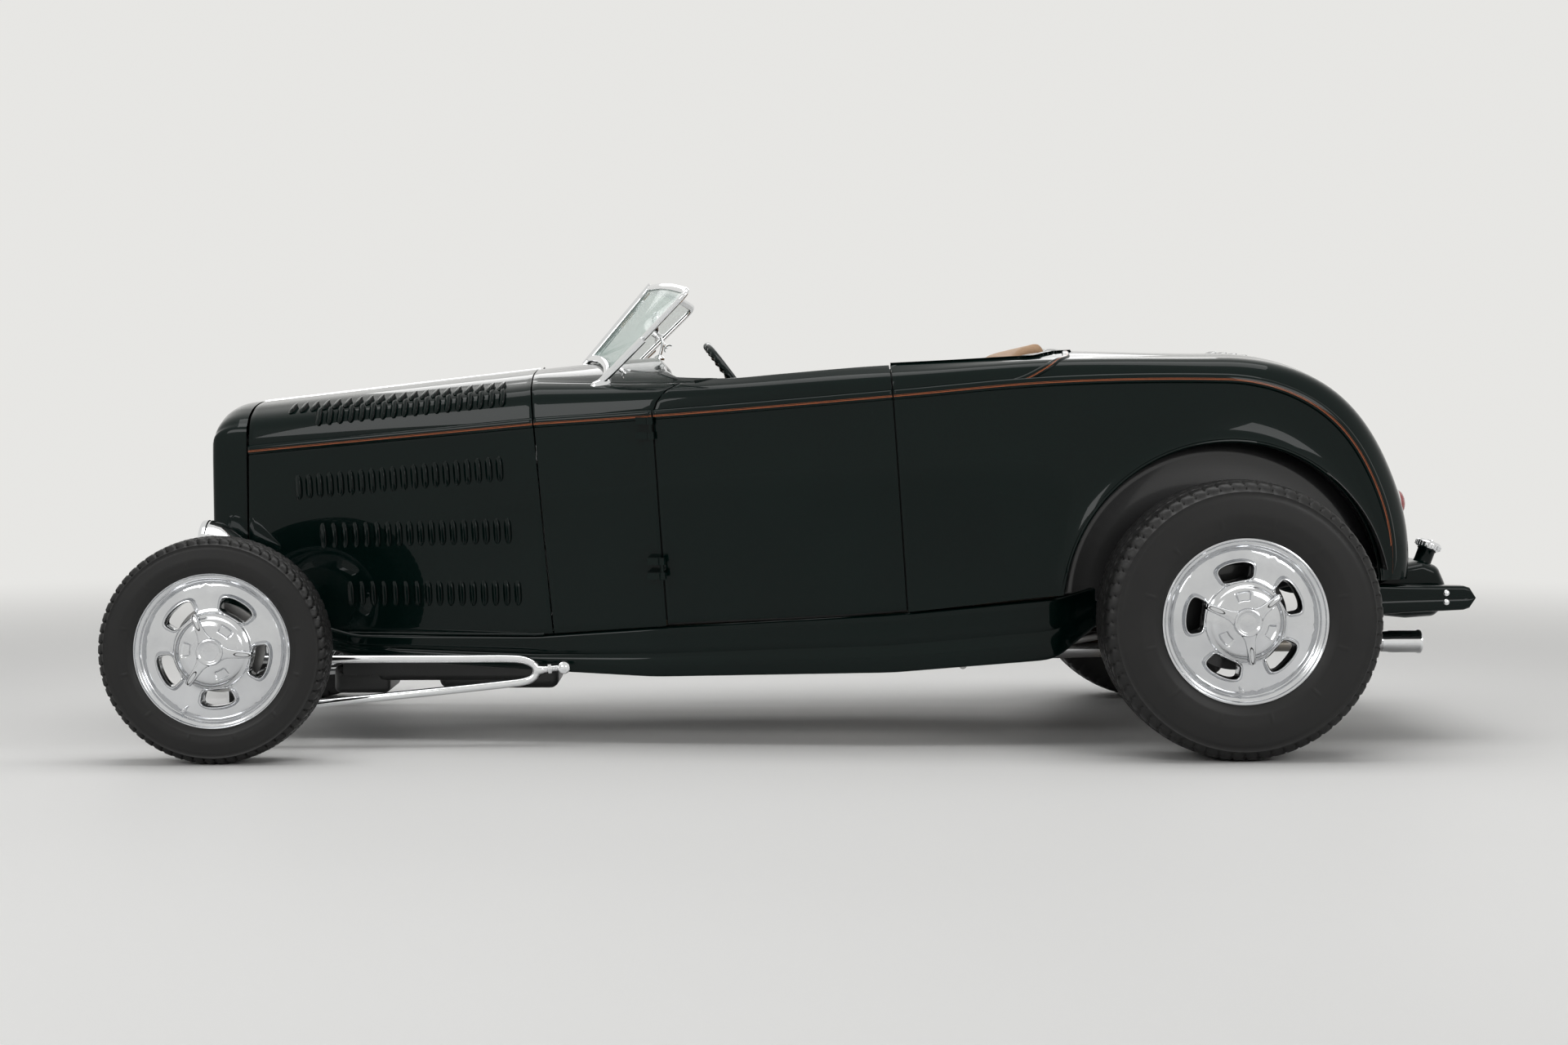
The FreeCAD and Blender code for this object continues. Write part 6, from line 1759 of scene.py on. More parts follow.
def frameRails():
    look = railLook
    table = np.array(look["stations"])
    place = np.arange(table[0, 0], table[-1, 0] + 1e-6, look["step"])
    half, bottom, top = (softened(place, np.interp(place, table[:, 0], table[:, column]), look["soften"])
        for column in (1, 2, 3))
    toEnd = np.minimum(place - place[0], place[-1] - place)
    nose = np.sqrt(np.clip(1 - (1 - np.clip(toEnd / 0.032, 0, 1)) ** 2, 0.0004, 1))
    middle, tall = (bottom + top) / 2, (top - bottom) / 2 * nose
    corner = np.linspace(0, np.pi / 2, 7)
    share = np.linspace(0.0, 1.0, 14)
    grid = []
    for index in range(len(place)):
        high = tall[index] * 2
        soft = min(look["corner"], high * 0.4)
        swell = 0.0045 * bell(share - 0.22, 0.17) - 0.006 * bell(share - 0.47, 0.055)
        fade = np.clip(high / 0.1, 0.15, 1) * (1 if -2.3 < place[index] < -0.42 else 0.35)
        outer = np.stack([half[index] + swell * fade, middle[index] - tall[index] + soft + (high - 2 * soft)
            * share], 1)
        topTurn = np.stack([half[index] - soft + np.cos(corner) * soft, middle[index] + tall[index] - soft
            + np.sin(corner) * soft], 1)
        lowTurn = np.stack([half[index] - soft + np.sin(corner) * soft, middle[index] - tall[index] + soft
            - np.cos(corner) * soft], 1)
        inner = half[index] - look["width"]
        innerSide = np.array([[inner + soft * 0.5, middle[index] + tall[index]],
            [inner, middle[index] + tall[index] - soft * 0.5], [inner, middle[index] - tall[index] + soft
            * 0.5], [inner + soft * 0.5, middle[index] - tall[index]]])
        section = np.concatenate([lowTurn, outer[1:-1], topTurn, innerSide])
        grid.append(np.column_stack([np.full(len(section), rearAxle + place[index]), -section[:, 0],
            section[:, 1]]))
    grid = capped(np.array(grid))
    for label, side, mirror in bothSides:
        Sheets().ring(grid * (1, mirror, 1)).solid("frameRail" + label, "chassis", paint, slot="body_paint",
            replaces=("frame_rail_" + side,))
    bolts = Sheets()
    for aft, height in ((0.64, 0.4165), (0.64, 0.3915), (-2.81, 0.329)):
        hornHalf = 0.431 if aft > 0 else 0.266
        bolts.lathe([(0.0, 0), (0.0, 0.0085), (0.001, 0.009), (0.0035, 0.0075), (0.005, 0.0045), (0.0056, 0)],
            (rearAxle + aft, -hornHalf + 0.001, height), (0, -1, 0), 24)
    bolts.mirrored().solid("frameBolts", "chassis", chrome, slot="chrome")
    edge = np.linspace(-2.6, -1.86, 120)
    bead = bodyPoint(edge, np.full(120, 0.004))
    bead = Sheets().pipe(bead + (0, 0.001, -0.002), 0.0042, 14)
    bead.mirrored().solid("hoodBeads", "chassis", paint, slot="body_paint")
    print("frame rails made")


# Radiator shell and grille
shellLook = dict(deep=0.097, bottom=0.35, low=0.395, bars=46, barHalf=0.0022, barDeep=0.014)


# Closed outline in (y, z) from a section's half widths and heights, and where its bottom lies
def shellSection(values):
    bottomHalf, belt, beltHalf, shoulder, shoulderHalf, top, bottom = values
    side = np.linspace(0, 1, 30)[:-1]
    right = [np.stack([bottomHalf + (beltHalf - bottomHalf) * side, bottom + (belt - bottom) * side], 1)]
    knots = np.array([[bottomHalf, bottom], [beltHalf, belt], [beltHalf - (beltHalf - shoulderHalf) * 0.22,
        belt + (shoulder - belt) * 0.68], [shoulderHalf, shoulder], [shoulderHalf * 0.5,
        top - (top - shoulder) * 0.25], [0, top], [-shoulderHalf * 0.5, top - (top - shoulder) * 0.25]])
    knots = np.column_stack([knots, np.zeros(len(knots))])
    curve = smoothPath(knots, 240)[:, :2]
    start = np.argmin(np.linalg.norm(curve - knots[1, :2], axis=1))
    end = np.argmin(np.linalg.norm(curve - knots[5, :2], axis=1))
    over = curve[start:end + 1]
    run = runAlong(over)
    even = np.linspace(0, run[-1], 50)
    right.append(np.stack([np.interp(even, run, over[:, 0]), np.interp(even, run, over[:, 1])], 1))
    right = np.concatenate(right)
    right[-1, 0] = 0
    left = right[-2::-1] * (-1, 1)
    floor = np.stack([np.linspace(-bottomHalf, bottomHalf, 22)[1:-1], np.full(20, bottom)], 1)
    return np.concatenate([right, left, floor])


def radiatorShell():
    look = shellLook
    back = np.array([0.265, 0.811, 0.275, 0.925, 0.19, 0.95, look["bottom"]])
    front = np.array([0.243, 0.784, 0.253, 0.866, 0.168, 0.889, look["bottom"] + 0.014])
    mouth = np.array([0.206, 0.765, 0.215, 0.836, 0.148, 0.856, look["low"]])
    rows = []
    frontX = rearAxle - 2.698 - 0.001
    for share in np.concatenate([np.linspace(0, 0.8, 12), np.sin(np.linspace(0.93, np.pi / 2, 8))]):
        ease = (1 - math.sqrt(max(1 - share ** 2.2, 0)))
        rows.append((frontX - look["deep"] * share, shellSection(back + (front - back) * ease)))
    for turn in np.linspace(0, np.pi, 14)[1:]:
        lip = (1 - math.cos(turn)) / 2
        rows.append((frontX - look["deep"] - 0.0035 * math.sin(turn), shellSection(front + (mouth - front)
            * lip)))
    for depth in (0.01, 0.022, 0.034):
        rows.append((frontX - look["deep"] + depth, shellSection(mouth)))
    grid = np.array([np.column_stack([np.full(len(section), x), section]) for x, section in rows])
    Sheets().ring(grid).solid("radiatorShell", "chassis", paint, replaces=("grille_shell",), wall=0.0,
        slot="body_paint", sharp=50)
    mouthLine = shellSection(mouth)
    right = mouthLine[:79]
    bars = Sheets()
    for y in np.linspace(-0.204, 0.204, look["bars"]):
        upper = [z for half, z in zip(right[:, 0], right[:, 1]) if half >= abs(y) - 0.004]
        high = max(upper) - 0.001 if upper else 0.5
        x = frontX - 0.074 - 0.01 * (1 - (y / 0.21) ** 2)
        bars.block((x - look["barDeep"] / 2, y - look["barHalf"], look["low"] + 0.001),
            (x + look["barDeep"] / 2, y + look["barHalf"], high), 0.0018, 2)
    for height in (0.5, 0.63, 0.76):
        path = np.array([(frontX - 0.066 - 0.01 * (1 - (y / 0.21) ** 2), y, height)
            for y in np.linspace(-0.2, 0.2, 15)])
        bars.pipe(path, 0.003, 10)
    bars.block((frontX - 0.096, -0.004, look["low"]), (frontX - 0.078, 0.004, 0.852), 0.003, 2)
    bars.solid("grilleBars", "chassis", steel, replaces=("grille",), slot="grille_paint")
    share = np.linspace(1, 0, 8)[:, None]
    centre = np.array([0.0, 0.6])
    core = centre + (mouthLine - centre)[None] * share[..., None]
    core = np.concatenate([np.full(core.shape[:2] + (1,), frontX - 0.04), core], -1)
    Sheets().ring(core).solid("radiatorCore", "chassis", seal, slot="chassis_black", wall=0.01)
    print("radiator shell made")


# Lamps and exhaust tips
lampLook = dict(half=0.378, height=0.532, front=-2.795, radius=0.089, bar=-2.783, barHeight=0.394)


def headLights():
    look = lampLook
    bowls, lenses, stays = Sheets(), Sheets(), Sheets()
    x = rearAxle + look["front"]
    for side in (-1, 1):
        centre = np.array([x, side * look["half"], look["height"]])
        r = look["radius"]
        bowls.lathe([(0.002, r - 0.013), (-0.002, r - 0.01), (-0.003, r - 0.005), (0.0, r - 0.001), (0.006, r),
            (0.014, r), (0.017, r - 0.003), (0.02, r - 0.003), (0.022, r - 0.001), (0.034, r - 0.003),
            (0.054, r - 0.009), (0.076, r - 0.024), (0.098, r - 0.044), (0.118, r - 0.062), (0.134, r - 0.075),
            (0.142, r - 0.082), (0.146, 0)], centre, (1, 0, 0), 72)
        lenses.lathe([(0.003, r - 0.012), (-0.0005, r - 0.03), (-0.003, r - 0.05), (-0.0045, r - 0.072),
            (-0.005, 0)], centre, (1, 0, 0), 72)
        foot = np.array([rearAxle + look["bar"], side * look["half"], look["barHeight"]])
        stays.lathe([(-0.014, 0), (-0.014, 0.015), (-0.008, 0.018), (0.01, 0.018), (0.014, 0.012),
            (0.026, 0.01), (0.046, 0.012), (0.056, 0.02), (0.062, 0.022)], foot, (0.12, 0, 1), 28)
        stand = np.array([rearAxle + look["bar"], side * 0.24, 0.355])
        stays.lathe([(-0.01, 0), (-0.01, 0.017), (0.004, 0.017), (0.01, 0.011), (0.03, 0.01), (0.039, 0.015),
            (0.048, 0)], stand, (0, 0, 1), 28)
    bar = smoothPath([(rearAxle + look["bar"], y, look["barHeight"] + drop) for y,
        drop in ((-0.392, 0.0), (-0.3, 0.001), (-0.18, -0.002), (0, -0.004), (0.18, -0.002), (0.3, 0.001),
        (0.392, 0.0))], 60)
    stays.pipe(bar, 0.0115, 20)
    for side in (-1, 1):
        stays.lathe([(0.0, 0), (0.0, 0.0135), (0.008, 0.0135), (0.014, 0.007), (0.016, 0)],
            (rearAxle + look["bar"], side * 0.386, look["barHeight"]), (0, side, 0), 20)
    bowls.solid("headlightBowls", "chassis", chrome, replaces=("headlights",), slot="chrome")
    lenses.solid("headlightLenses", "chassis", lens, slot="tinted_glass")
    stays.solid("headlightBar", "chassis", chrome, slot="chrome")
    print("headlights made")


def rearDetails():
    rings, lenses, tips, holes = Sheets(), Sheets(), Sheets(), Sheets()
    for side in (-1, 1):
        height = 0.665
        places = np.linspace(0.4, 0.86, 400)
        skin = bodyPoint(places, aroundFor(places, 0.33, 0.2, 4.9))
        place = places[np.argmin(np.abs(skin[:, 2] - height))]
        around = float(aroundFor(place, 0.33, 0.2, 4.9))
        centre = bodyPoint(place, around) * (1, -side, 1)
        normal = bodyNormal(place, around) * (1, -side, 1)
        lean = normal * 0.55 + np.array([1.0, 0, 0]) * 0.45
        lean /= np.linalg.norm(lean)
        rings.lathe([(-0.02, 0.03), (-0.006, 0.036), (0.002, 0.0385), (0.007, 0.0385), (0.01, 0.036),
            (0.01, 0.033)], centre, lean, 48)
        lenses.lathe([(0.007, 0.0345), (0.012, 0.033), (0.019, 0.027), (0.024, 0.016), (0.0255, 0)], centre,
            lean, 48)
        tipX, tipZ, tipY = rearAxle + 0.627, 0.263, side * 0.23
        tips.lathe([(-0.11, 0.0285), (-0.092, 0.03), (-0.088, 0.0315), (-0.01, 0.0315), (-0.006, 0.0335),
            (-0.001, 0.0345), (0.002, 0.0335), (0.002, 0.0305), (-0.004, 0.0285), (-0.06, 0.028)],
            (tipX - 0.002, tipY, tipZ), (1, 0, 0), 56)
        # a black disc across each tip's mouth: soot in the pipe and painted shade in its bore
        holes.lathe([(0.0004, 0.0296), (0.001, 0.029), (0.0006, 0.02), (0.0004, 0)], (tipX, tipY, tipZ),
            (1, 0, 0), 40)
    rings.solid("taillightRims", "chassis", chrome, slot="chrome")
    lenses.solid("taillightLenses", "chassis", ruby, replaces=("taillights",), slot="red_lens")
    tips.solid("exhaustTips", "chassis", chrome, slot="exhaust_steel")
    holes.solid("exhaustSootAndShade", "chassis", seal, slot="exhaust_steel")
    print("rear details made")


# Steering wheel, column sleeve, gauges
wheelRimLook = dict(top=(-1.301, -0.228, 0.959), line=(-0.804, 0, -0.594), radius=0.181, thick=0.0125, grips=40)


def steeringWheel():
    look = wheelRimLook
    centre = np.array(look["top"]) + (rearAxle, 0, 0)
    up = unit(-np.array(look["line"]))
    side = np.array([0, 1.0, 0])
    away = np.cross(up, side)
    turn = wholeTurn(160)
    out = np.cos(turn)[:, None] * side + np.sin(turn)[:, None] * away
    ring = wholeTurn(20)
    # finger grips: bumps along the rim on its far side only
    bump = 0.0024 * np.cos(turn * look["grips"])[:, None] * np.clip(-np.sin(ring), 0, 1)[None, :] ** 0.8
    thick = look["thick"] * 0.97 + bump - 0.0012
    rim = (centre + out[:, None, :] * (look["radius"] + thick * np.cos(ring)[None, :])[..., None] + up
        * (thick * np.sin(ring)[None, :])[..., None])
    Sheets().add(rim, closeRows=True, closeColumns=True).solid("steeringRim", "wheel_rim", paint,
        slot="body_paint", replaces=("steering_wheel",))
    spokes = Sheets()
    for angle in (0.25, 0.75, 1.25, 1.75):
        ray = math.cos(angle * math.pi) * side + math.sin(angle * math.pi) * away
        across = np.cross(ray, up)
        reach = np.linspace(0.03, 0.176, 24)
        half = 0.011 + 0.006 * np.exp(-((reach - 0.03) / 0.03)) + 0.004 * np.exp((reach - 0.176) / 0.02)
        dish = -0.03 * (1 - ((reach - 0.03) / 0.146)) ** 1.3
        path = centre + ray * reach[:, None] + up * dish[:, None]
        section = circle(1.0, 18) * (1, 0.19)
        blade = path[:, None, :] + across * (section[None, :, :1] * half[:, None, None]) + up * (section[None,
            :, 1:] * 0.012)
        spokes.ring(capped(blade))
    hub = centre - up * 0.036
    spokes.lathe([(-0.012, 0), (-0.012, 0.03), (-0.004, 0.034), (0.004, 0.034), (0.007, 0.03), (0.01, 0.024),
        (0.02, 0.021), (0.024, 0.017), (0.025, 0)], hub, up, 56)
    for step in range(6):
        angle = step * math.pi / 3
        spot = hub + up * 0.004 + 0.0275 * (math.cos(angle) * side + math.sin(angle) * away)
        spokes.lathe([(0.0, 0), (0.0, 0.0035), (0.0045, 0.0032), (0.005, 0)], spot, up, 12)
    spokes.solid("steeringSpokes", "wheel_rim", alloy, slot="chrome")
    sleeve = Sheets().lathe([(0.048, 0), (0.048, 0.021), (0.054, 0.0225), (0.064, 0.0225), (0.07, 0.0215),
        (0.2, 0.0215), (0.206, 0.023), (0.216, 0.023), (0.22, 0.0212)], centre, -up, 40)
    sleeve.solid("columnSleeve", "chassis", chrome, slot="chrome")
    print("steering wheel made")


# Two large and four small dials with chrome bezels in an oval alloy panel, and a row of knobs
def gauges():
    x = rearAxle - 1.56
    oval = np.stack(squaredTurn(wholeTurn(120), 0.55), 1) * (0.3, 0.058)
    rows = []
    for depth, shrink in ((0.0005, 0.0), (0.004, 0.0), (0.0055, 0.0015), (0.0055, 0.004), (0.0042, 0.006)):
        rows.append(np.column_stack([np.full(120, x + depth), oval[:, 0] * (1 - shrink / 0.3),
            0.972 + oval[:, 1] * (1 - shrink / 0.058)]))
    for share in np.linspace(0.95, 0.0, 10):
        rows.append(np.column_stack([np.full(120, x + 0.0042), oval[:, 0] * 0.98 * share,
            0.972 + oval[:, 1] * 0.9 * share]))
    Sheets().ring(np.array(rows)).solid("gaugePanel", "chassis", alloy, slot="chrome")
    bezels, faces, needles = Sheets(), Sheets(), Sheets()
    for y, radius, angle in ((-0.225, 0.046, -2.2), (-0.115, 0.046, -2.4), (-0.02, 0.027, -0.6),
            (0.055, 0.027, 0.4), (0.13, 0.027, -0.9), (0.205, 0.027, 0.9)):
        spot = np.array([x + 0.0045, y, 0.972])
        bezels.lathe([(0.0, radius), (0.005, radius), (0.008, radius - 0.002), (0.008, radius - 0.004),
            (0.004, radius - 0.006)], spot, (1, 0, 0), 56)
        faces.ring(turned([(0.0035, radius - 0.005), (0.003, 0)], spot, (1, 0, 0), 56)[::-1])
        tip = spot + (0.0055, math.sin(angle) * radius * 0.62, math.cos(angle) * radius * 0.62)
        needles.pipe(np.array([spot + (0.0055, 0, 0) - (tip - spot) * (0, 0.2, 0.2), tip]), 0.0011, 8,
            up=(1, 0, 0))
        needles.lathe([(0.003, 0.0035), (0.006, 0.003), (0.0065, 0)], spot, (1, 0, 0), 16)
    for y in (-0.16, -0.1, 0.1, 0.16):
        bezels.lathe([(0.0, 0.006), (0.01, 0.005), (0.014, 0.009), (0.018, 0.009), (0.02, 0)], (x, y, 0.902),
            (1, 0, 0), 20)
    bezels.solid("gaugeBezels", "chassis", chrome, slot="chrome")
    faces.solid("gaugeFaces", "chassis", dial, slot="chrome")
    needles.solid("gaugeNeedles", "chassis", seal, slot="chrome")
    print("gauges made")


# Black strips behind each door gap and along the sill: painted shade that darkens the gaps
def doorGapShade():
    strips = Sheets()
    for line, low, high, shift in ((panelLines["doorFront"], 0.345, 0.99, -0.01),
            (panelLines["doorRear"], 0.385, 1.04, 0.012)):
        height = np.linspace(low, high, 40)
        edge = lineAt(line, height)
        across = np.linspace(-0.022, 0.022, 5)[:, None]
        place = edge[None, :] + across + shift
        around = aroundFor(place, np.broadcast_to(height, place.shape), 0.01, 3.0, "height")
        points = bodyPoint(place, around) - bodyNormal(place, around) * 0.0135
        strips.add(points, flip=True).add(points)
    sill = np.linspace(-1.52, -0.86, 40)
    across = np.linspace(0.0, 0.06, 4)[:, None]
    place = np.broadcast_to(sill, (4, 40))
    points = bodyPoint(place, np.broadcast_to(across, (4, 40))) - bodyNormal(place,
        np.full((4, 40), 0.03)) * 0.0135
    strips.add(points, flip=True).add(points)
    # black rubber finish: painted shade in the gaps
    strips.mirrored().piece("doorGapShade", "chassis", seal, slot="chassis_black", wall=0.001)
    print("door jambs made")


frameRails()
radiatorShell()
headLights()
rearDetails()
steeringWheel()
gauges()
doorGapShade()


# Fuel tank, hairpins, engine pans
undersideLook = dict(tank=((0.405, 0.405), (0.45, 0.448), (0.52, 0.486), (0.605, 0.502), (0.65, 0.484),
    (0.672, 0.435), (0.67, 0.37), (0.64, 0.342), (0.56, 0.337), (0.43, 0.35)), tankHalf=0.345,
    fillerFoot=(0.604, -0.28, 0.462), fillerLean=20, fillerLength=0.074,
    hairpin=((0.033, -0.462, 0.244), (0.2, -0.462, 0.244), (0.4, -0.462, 0.244), (0.6, -0.461, 0.244),
    (0.74, -0.459, 0.244), (0.785, -0.457, 0.239), (0.81, -0.456, 0.225), (0.815, -0.455, 0.209),
    (0.806, -0.455, 0.192), (0.782, -0.456, 0.181), (0.735, -0.457, 0.1745), (0.6, -0.459, 0.16),
    (0.4, -0.46, 0.14), (0.2, -0.461, 0.12), (0.033, -0.462, 0.104)))


# A closed outline in (x, z) carried across y; its ends draw in along a quarter circle
def endedLoft(outline, half, soft, steps=12):
    middle = outline.mean(axis=0)
    rows = []
    turn = np.linspace(0, np.pi / 2, steps)
    reach = np.abs(outline - middle).max()
    for angle, side in [(a, -1) for a in turn] + [(a, 1) for a in turn[::-1]]:
        y = side * (half - soft + soft * math.cos(angle))
        inset = soft * (1 - math.sin(angle)) / reach
        section = middle + (outline - middle) * (1 - inset)
        rows.append(np.column_stack([section[:, 0], np.full(len(section), y), section[:, 1]]))
    return capped(np.array(rows))


def fuelTank():
    look = undersideLook
    outline = closedOutline(look["tank"], 0.03)
    sheets = Sheets().ring(endedLoft(outline, look["tankHalf"], 0.045))
    for side in (-1, 1):
        sheets.block((rearAxle + 0.47, min(side * 0.33, side * 0.382), 0.372),
            (rearAxle + 0.6, max(side * 0.33, side * 0.382), 0.436), 0.01, 4)
    foot = np.array(look["fillerFoot"]) + (rearAxle, 0, 0)
    lean = math.radians(look["fillerLean"])
    up = np.array([math.sin(lean), 0, math.cos(lean)])
    long = look["fillerLength"]
    sheets.lathe([(-0.02, 0), (-0.02, 0.034), (0.02, 0.031), (0.03, 0.026), (0.04, 0.0245),
        (long - 0.006, 0.0245), (long - 0.003, 0.027), (long, 0.027), (long, 0)], foot, up, 56)
    sheets.solid("fuelTank", "chassis", paint, replaces=("fuel_tank",), slot="body_paint")
    caps = Sheets()
    caps.lathe([(0.0, 0), (0.0, 0.03), (0.002, 0.0345), (0.006, 0.036), (0.015, 0.036), (0.019, 0.0345),
        (0.023, 0.029), (0.0235, 0.0265), (0.0205, 0.024), (0.02, 0)], foot + up * long, up, 72)
    notches = np.arange(24) * np.pi / 12
    side = np.array([0, 1.0, 0])
    across = np.cross(up, side)
    for angle in notches:
        ray = math.cos(angle) * side + math.sin(angle) * across
        base = foot + up * (long + 0.004) + ray * 0.0362
        caps.pipe(np.array([base, base + up * 0.012]), 0.0012, 8, up=ray)
    grip = roundBlock((-0.005, -0.022, -0.004), (0.005, 0.022, 0.005), 0.002, 3)
    caps.ring(grip @ np.stack([across, side, up]) + foot + up * (long + 0.0225))
    caps.solid("fillerCap", "chassis", chrome, slot="chrome")
    print("fuel tank made")


def hairpins():
    path = np.array(undersideLook["hairpin"]) + (frontAxle, 0, 0)
    path = smoothPath(path, 150)
    sheets = Sheets()
    sheets.pipe(path, 0.0112, 18, up=(0, 1, 0))
    eye = np.array([frontAxle + 0.89, -0.45, 0.219])
    start = np.array([frontAxle + 0.822, -0.455, 0.2125])
    line = eye - start
    long = np.linalg.norm(line)
    line /= long
    sheets.lathe([(-0.012, 0), (-0.012, 0.013), (-0.002, 0.0135), (0.01, 0.0115), (0.014, 0.0095),
        (0.02, 0.0095), (0.0205, 0.0085), (long - 0.012, 0.0085), (long - 0.006, 0)], start, line, 28)
    threads = np.arange(0.022, long - 0.016, 0.0034)
    for place in threads:
        sheets.lathe([(place, 0.0084), (place + 0.0007, 0.0094), (place + 0.0014, 0.0084)], start, line, 24)
    sheets.lathe([(0.024, 0.0085), (0.0245, 0.014), (0.0335, 0.014), (0.034, 0.0085)], start, line, 6)
    sheets.lathe([(-0.0135, 0), (-0.0135, 0.012), (-0.012, 0.0155), (-0.006, 0.0178), (0.006, 0.0178),
        (0.012, 0.0155), (0.0135, 0.012), (0.0135, 0)], eye, (0, 1, 0), 40)
    for side in (-1, 1):
        sheets.lathe([(0.013, 0), (0.013, 0.0105), (0.021, 0.0105), (0.0225, 0.0085), (0.023, 0)], eye,
            (0, side, 0), 6)
    for height in (0.244, 0.104):
        sheets.lathe([(0.0, 0), (0.0, 0.015), (0.012, 0.015), (0.022, 0.0125), (0.04, 0.0118), (0.041, 0)],
            (frontAxle + 0.031, -0.462, height), (1, 0, 0), 32)
    sheets.mirrored().solid("hairpinRods", "chassis", chrome, replaces=("hairpins",), slot="chrome")
    pans = Sheets()
    for low, high, soft in (((0.205, -0.115, 0.108), (0.365, 0.115, 0.19), 0.018),
            ((0.33, -0.125, 0.145), (0.8, 0.125, 0.2), 0.02), ((0.505, -0.11, 0.12), (0.85, 0.11, 0.19),
            0.026)):
        pans.block(tuple(np.array(low) + (frontAxle, 0, 0)), tuple(np.array(high) + (frontAxle, 0, 0)), soft, 8)
    for x in np.linspace(0.225, 0.345, 4):
        for y in (-0.118, 0.118):
            pans.lathe([(0, 0), (0, 0.007), (0.005, 0.0065), (0.006, 0)], (frontAxle + x, y, 0.165),
                (0, 1 if y > 0 else -1, 0), 6)
    pans.solid("enginePans", "chassis", casting, slot="cast_engine")
    print("hairpins and pans made")


# Rows of small louvers over the deck lid, each side of its middle
def lidLouvers():
    first, last, count, off = louverLook["lidRow"]
    look = dict(louverLook, wide=0.015, deep=0.0065)
    skins, shadeSlits = Sheets(), Sheets()
    for place in np.linspace(first, last, count):
        layLouver(skins, shadeSlits, place, float(aroundFor(place, off, 2.0, 4.95)), look["lidTall"], look, 1)
    skins.mirrored().piece("lidLouvers", "trunk_lid", paint, slot="body_paint")
    # the openings are black sheets: painted shade
    shadeSlits.mirrored().piece("lidLouverShade", "trunk_lid", seal, slot="body_paint")
    print("deck lid louvers made")


fuelTank()
hairpins()
lidLouvers()


# What shows on the engine when the hood is open
engineLook = dict(front=-2.47, rear=-1.925, coverAt=0.15, coverHalf=0.055, top=0.768, coverTop=0.83, fins=9,
    cleaner=(-2.2, 0.0, 0.79), cleanerRadius=0.125)


def engineDress():
    look = engineLook
    covers, fittings, leads = Sheets(), Sheets(), Sheets()
    front, rear = rearAxle + look["front"], rearAxle + look["rear"]
    for side in (-1, 1):
        y = side * look["coverAt"]
        covers.block((front, y - look["coverHalf"], look["top"]), (rear, y + look["coverHalf"],
            look["coverTop"]), 0.018, 6)
        for across in np.linspace(-0.036, 0.036, look["fins"]):
            covers.block((front + 0.03, y + across - 0.0015, look["coverTop"] - 0.004),
                (rear - 0.03, y + across + 0.0015, look["coverTop"] + 0.006), 0.0012, 2)
        for place in np.linspace(front + 0.07, rear - 0.07, 4):
            fittings.lathe([(0.0, 0), (0.0, 0.008), (0.006, 0.0075), (0.007, 0)],
                (place, y - side * 0.046, look["coverTop"] - 0.006), (0, 0, 1), 6)
            path = smoothPath([(place, side * 0.215, 0.76), (place - 0.01, side * 0.222, 0.8),
                (place + 0.05, side * 0.12, look["coverTop"] + 0.018), (rear + 0.012, side * 0.03, 0.835)], 40)
            leads.pipe(path, 0.0038, 10)
    centre = np.array(look["cleaner"]) + (rearAxle, 0, 0)
    r = look["cleanerRadius"]
    fittings.lathe([(0.0, 0), (0.0, r - 0.012), (0.003, r - 0.002), (0.007, r), (0.01, r - 0.004),
        (0.012, r - 0.014), (0.044, r - 0.014), (0.046, r - 0.004), (0.05, r), (0.054, r - 0.003),
        (0.06, r - 0.03), (0.062, 0.03), (0.064, 0.012), (0.074, 0.01), (0.075, 0)], centre, (0, 0, 1), 96)
    fittings.lathe([(0.0, 0), (0.0, 0.045), (0.045, 0.045), (0.047, 0.052), (0.075, 0.052), (0.078, 0)],
        (rear + 0.012, 0.0, 0.762), (0, 0, 1), 40)
    covers.solid("engineCovers", "chassis", alloy, slot="cast_engine")
    fittings.solid("engineFittings", "chassis", chrome, slot="cast_engine")
    leads.solid("engineLeads", "chassis", seal, slot="cast_engine")
    print("engine dressed")


engineDress()


# Front axle
axleLook = dict(line=((0.0, 0.2075), (0.1, 0.2075), (0.2, 0.2075), (0.3, 0.2077), (0.38, 0.209), (0.43, 0.216),
    (0.48, 0.238), (0.525, 0.266), (0.565, 0.285), (0.6, 0.291)), section=((0.021, -0.0215), (0.021, -0.0165),
    (0.011, -0.013), (0.0065, -0.0085), (0.0065, 0.0085), (0.011, 0.013), (0.021, 0.0165), (0.021, 0.0215)),
    perch=0.4025, post=0.2615)


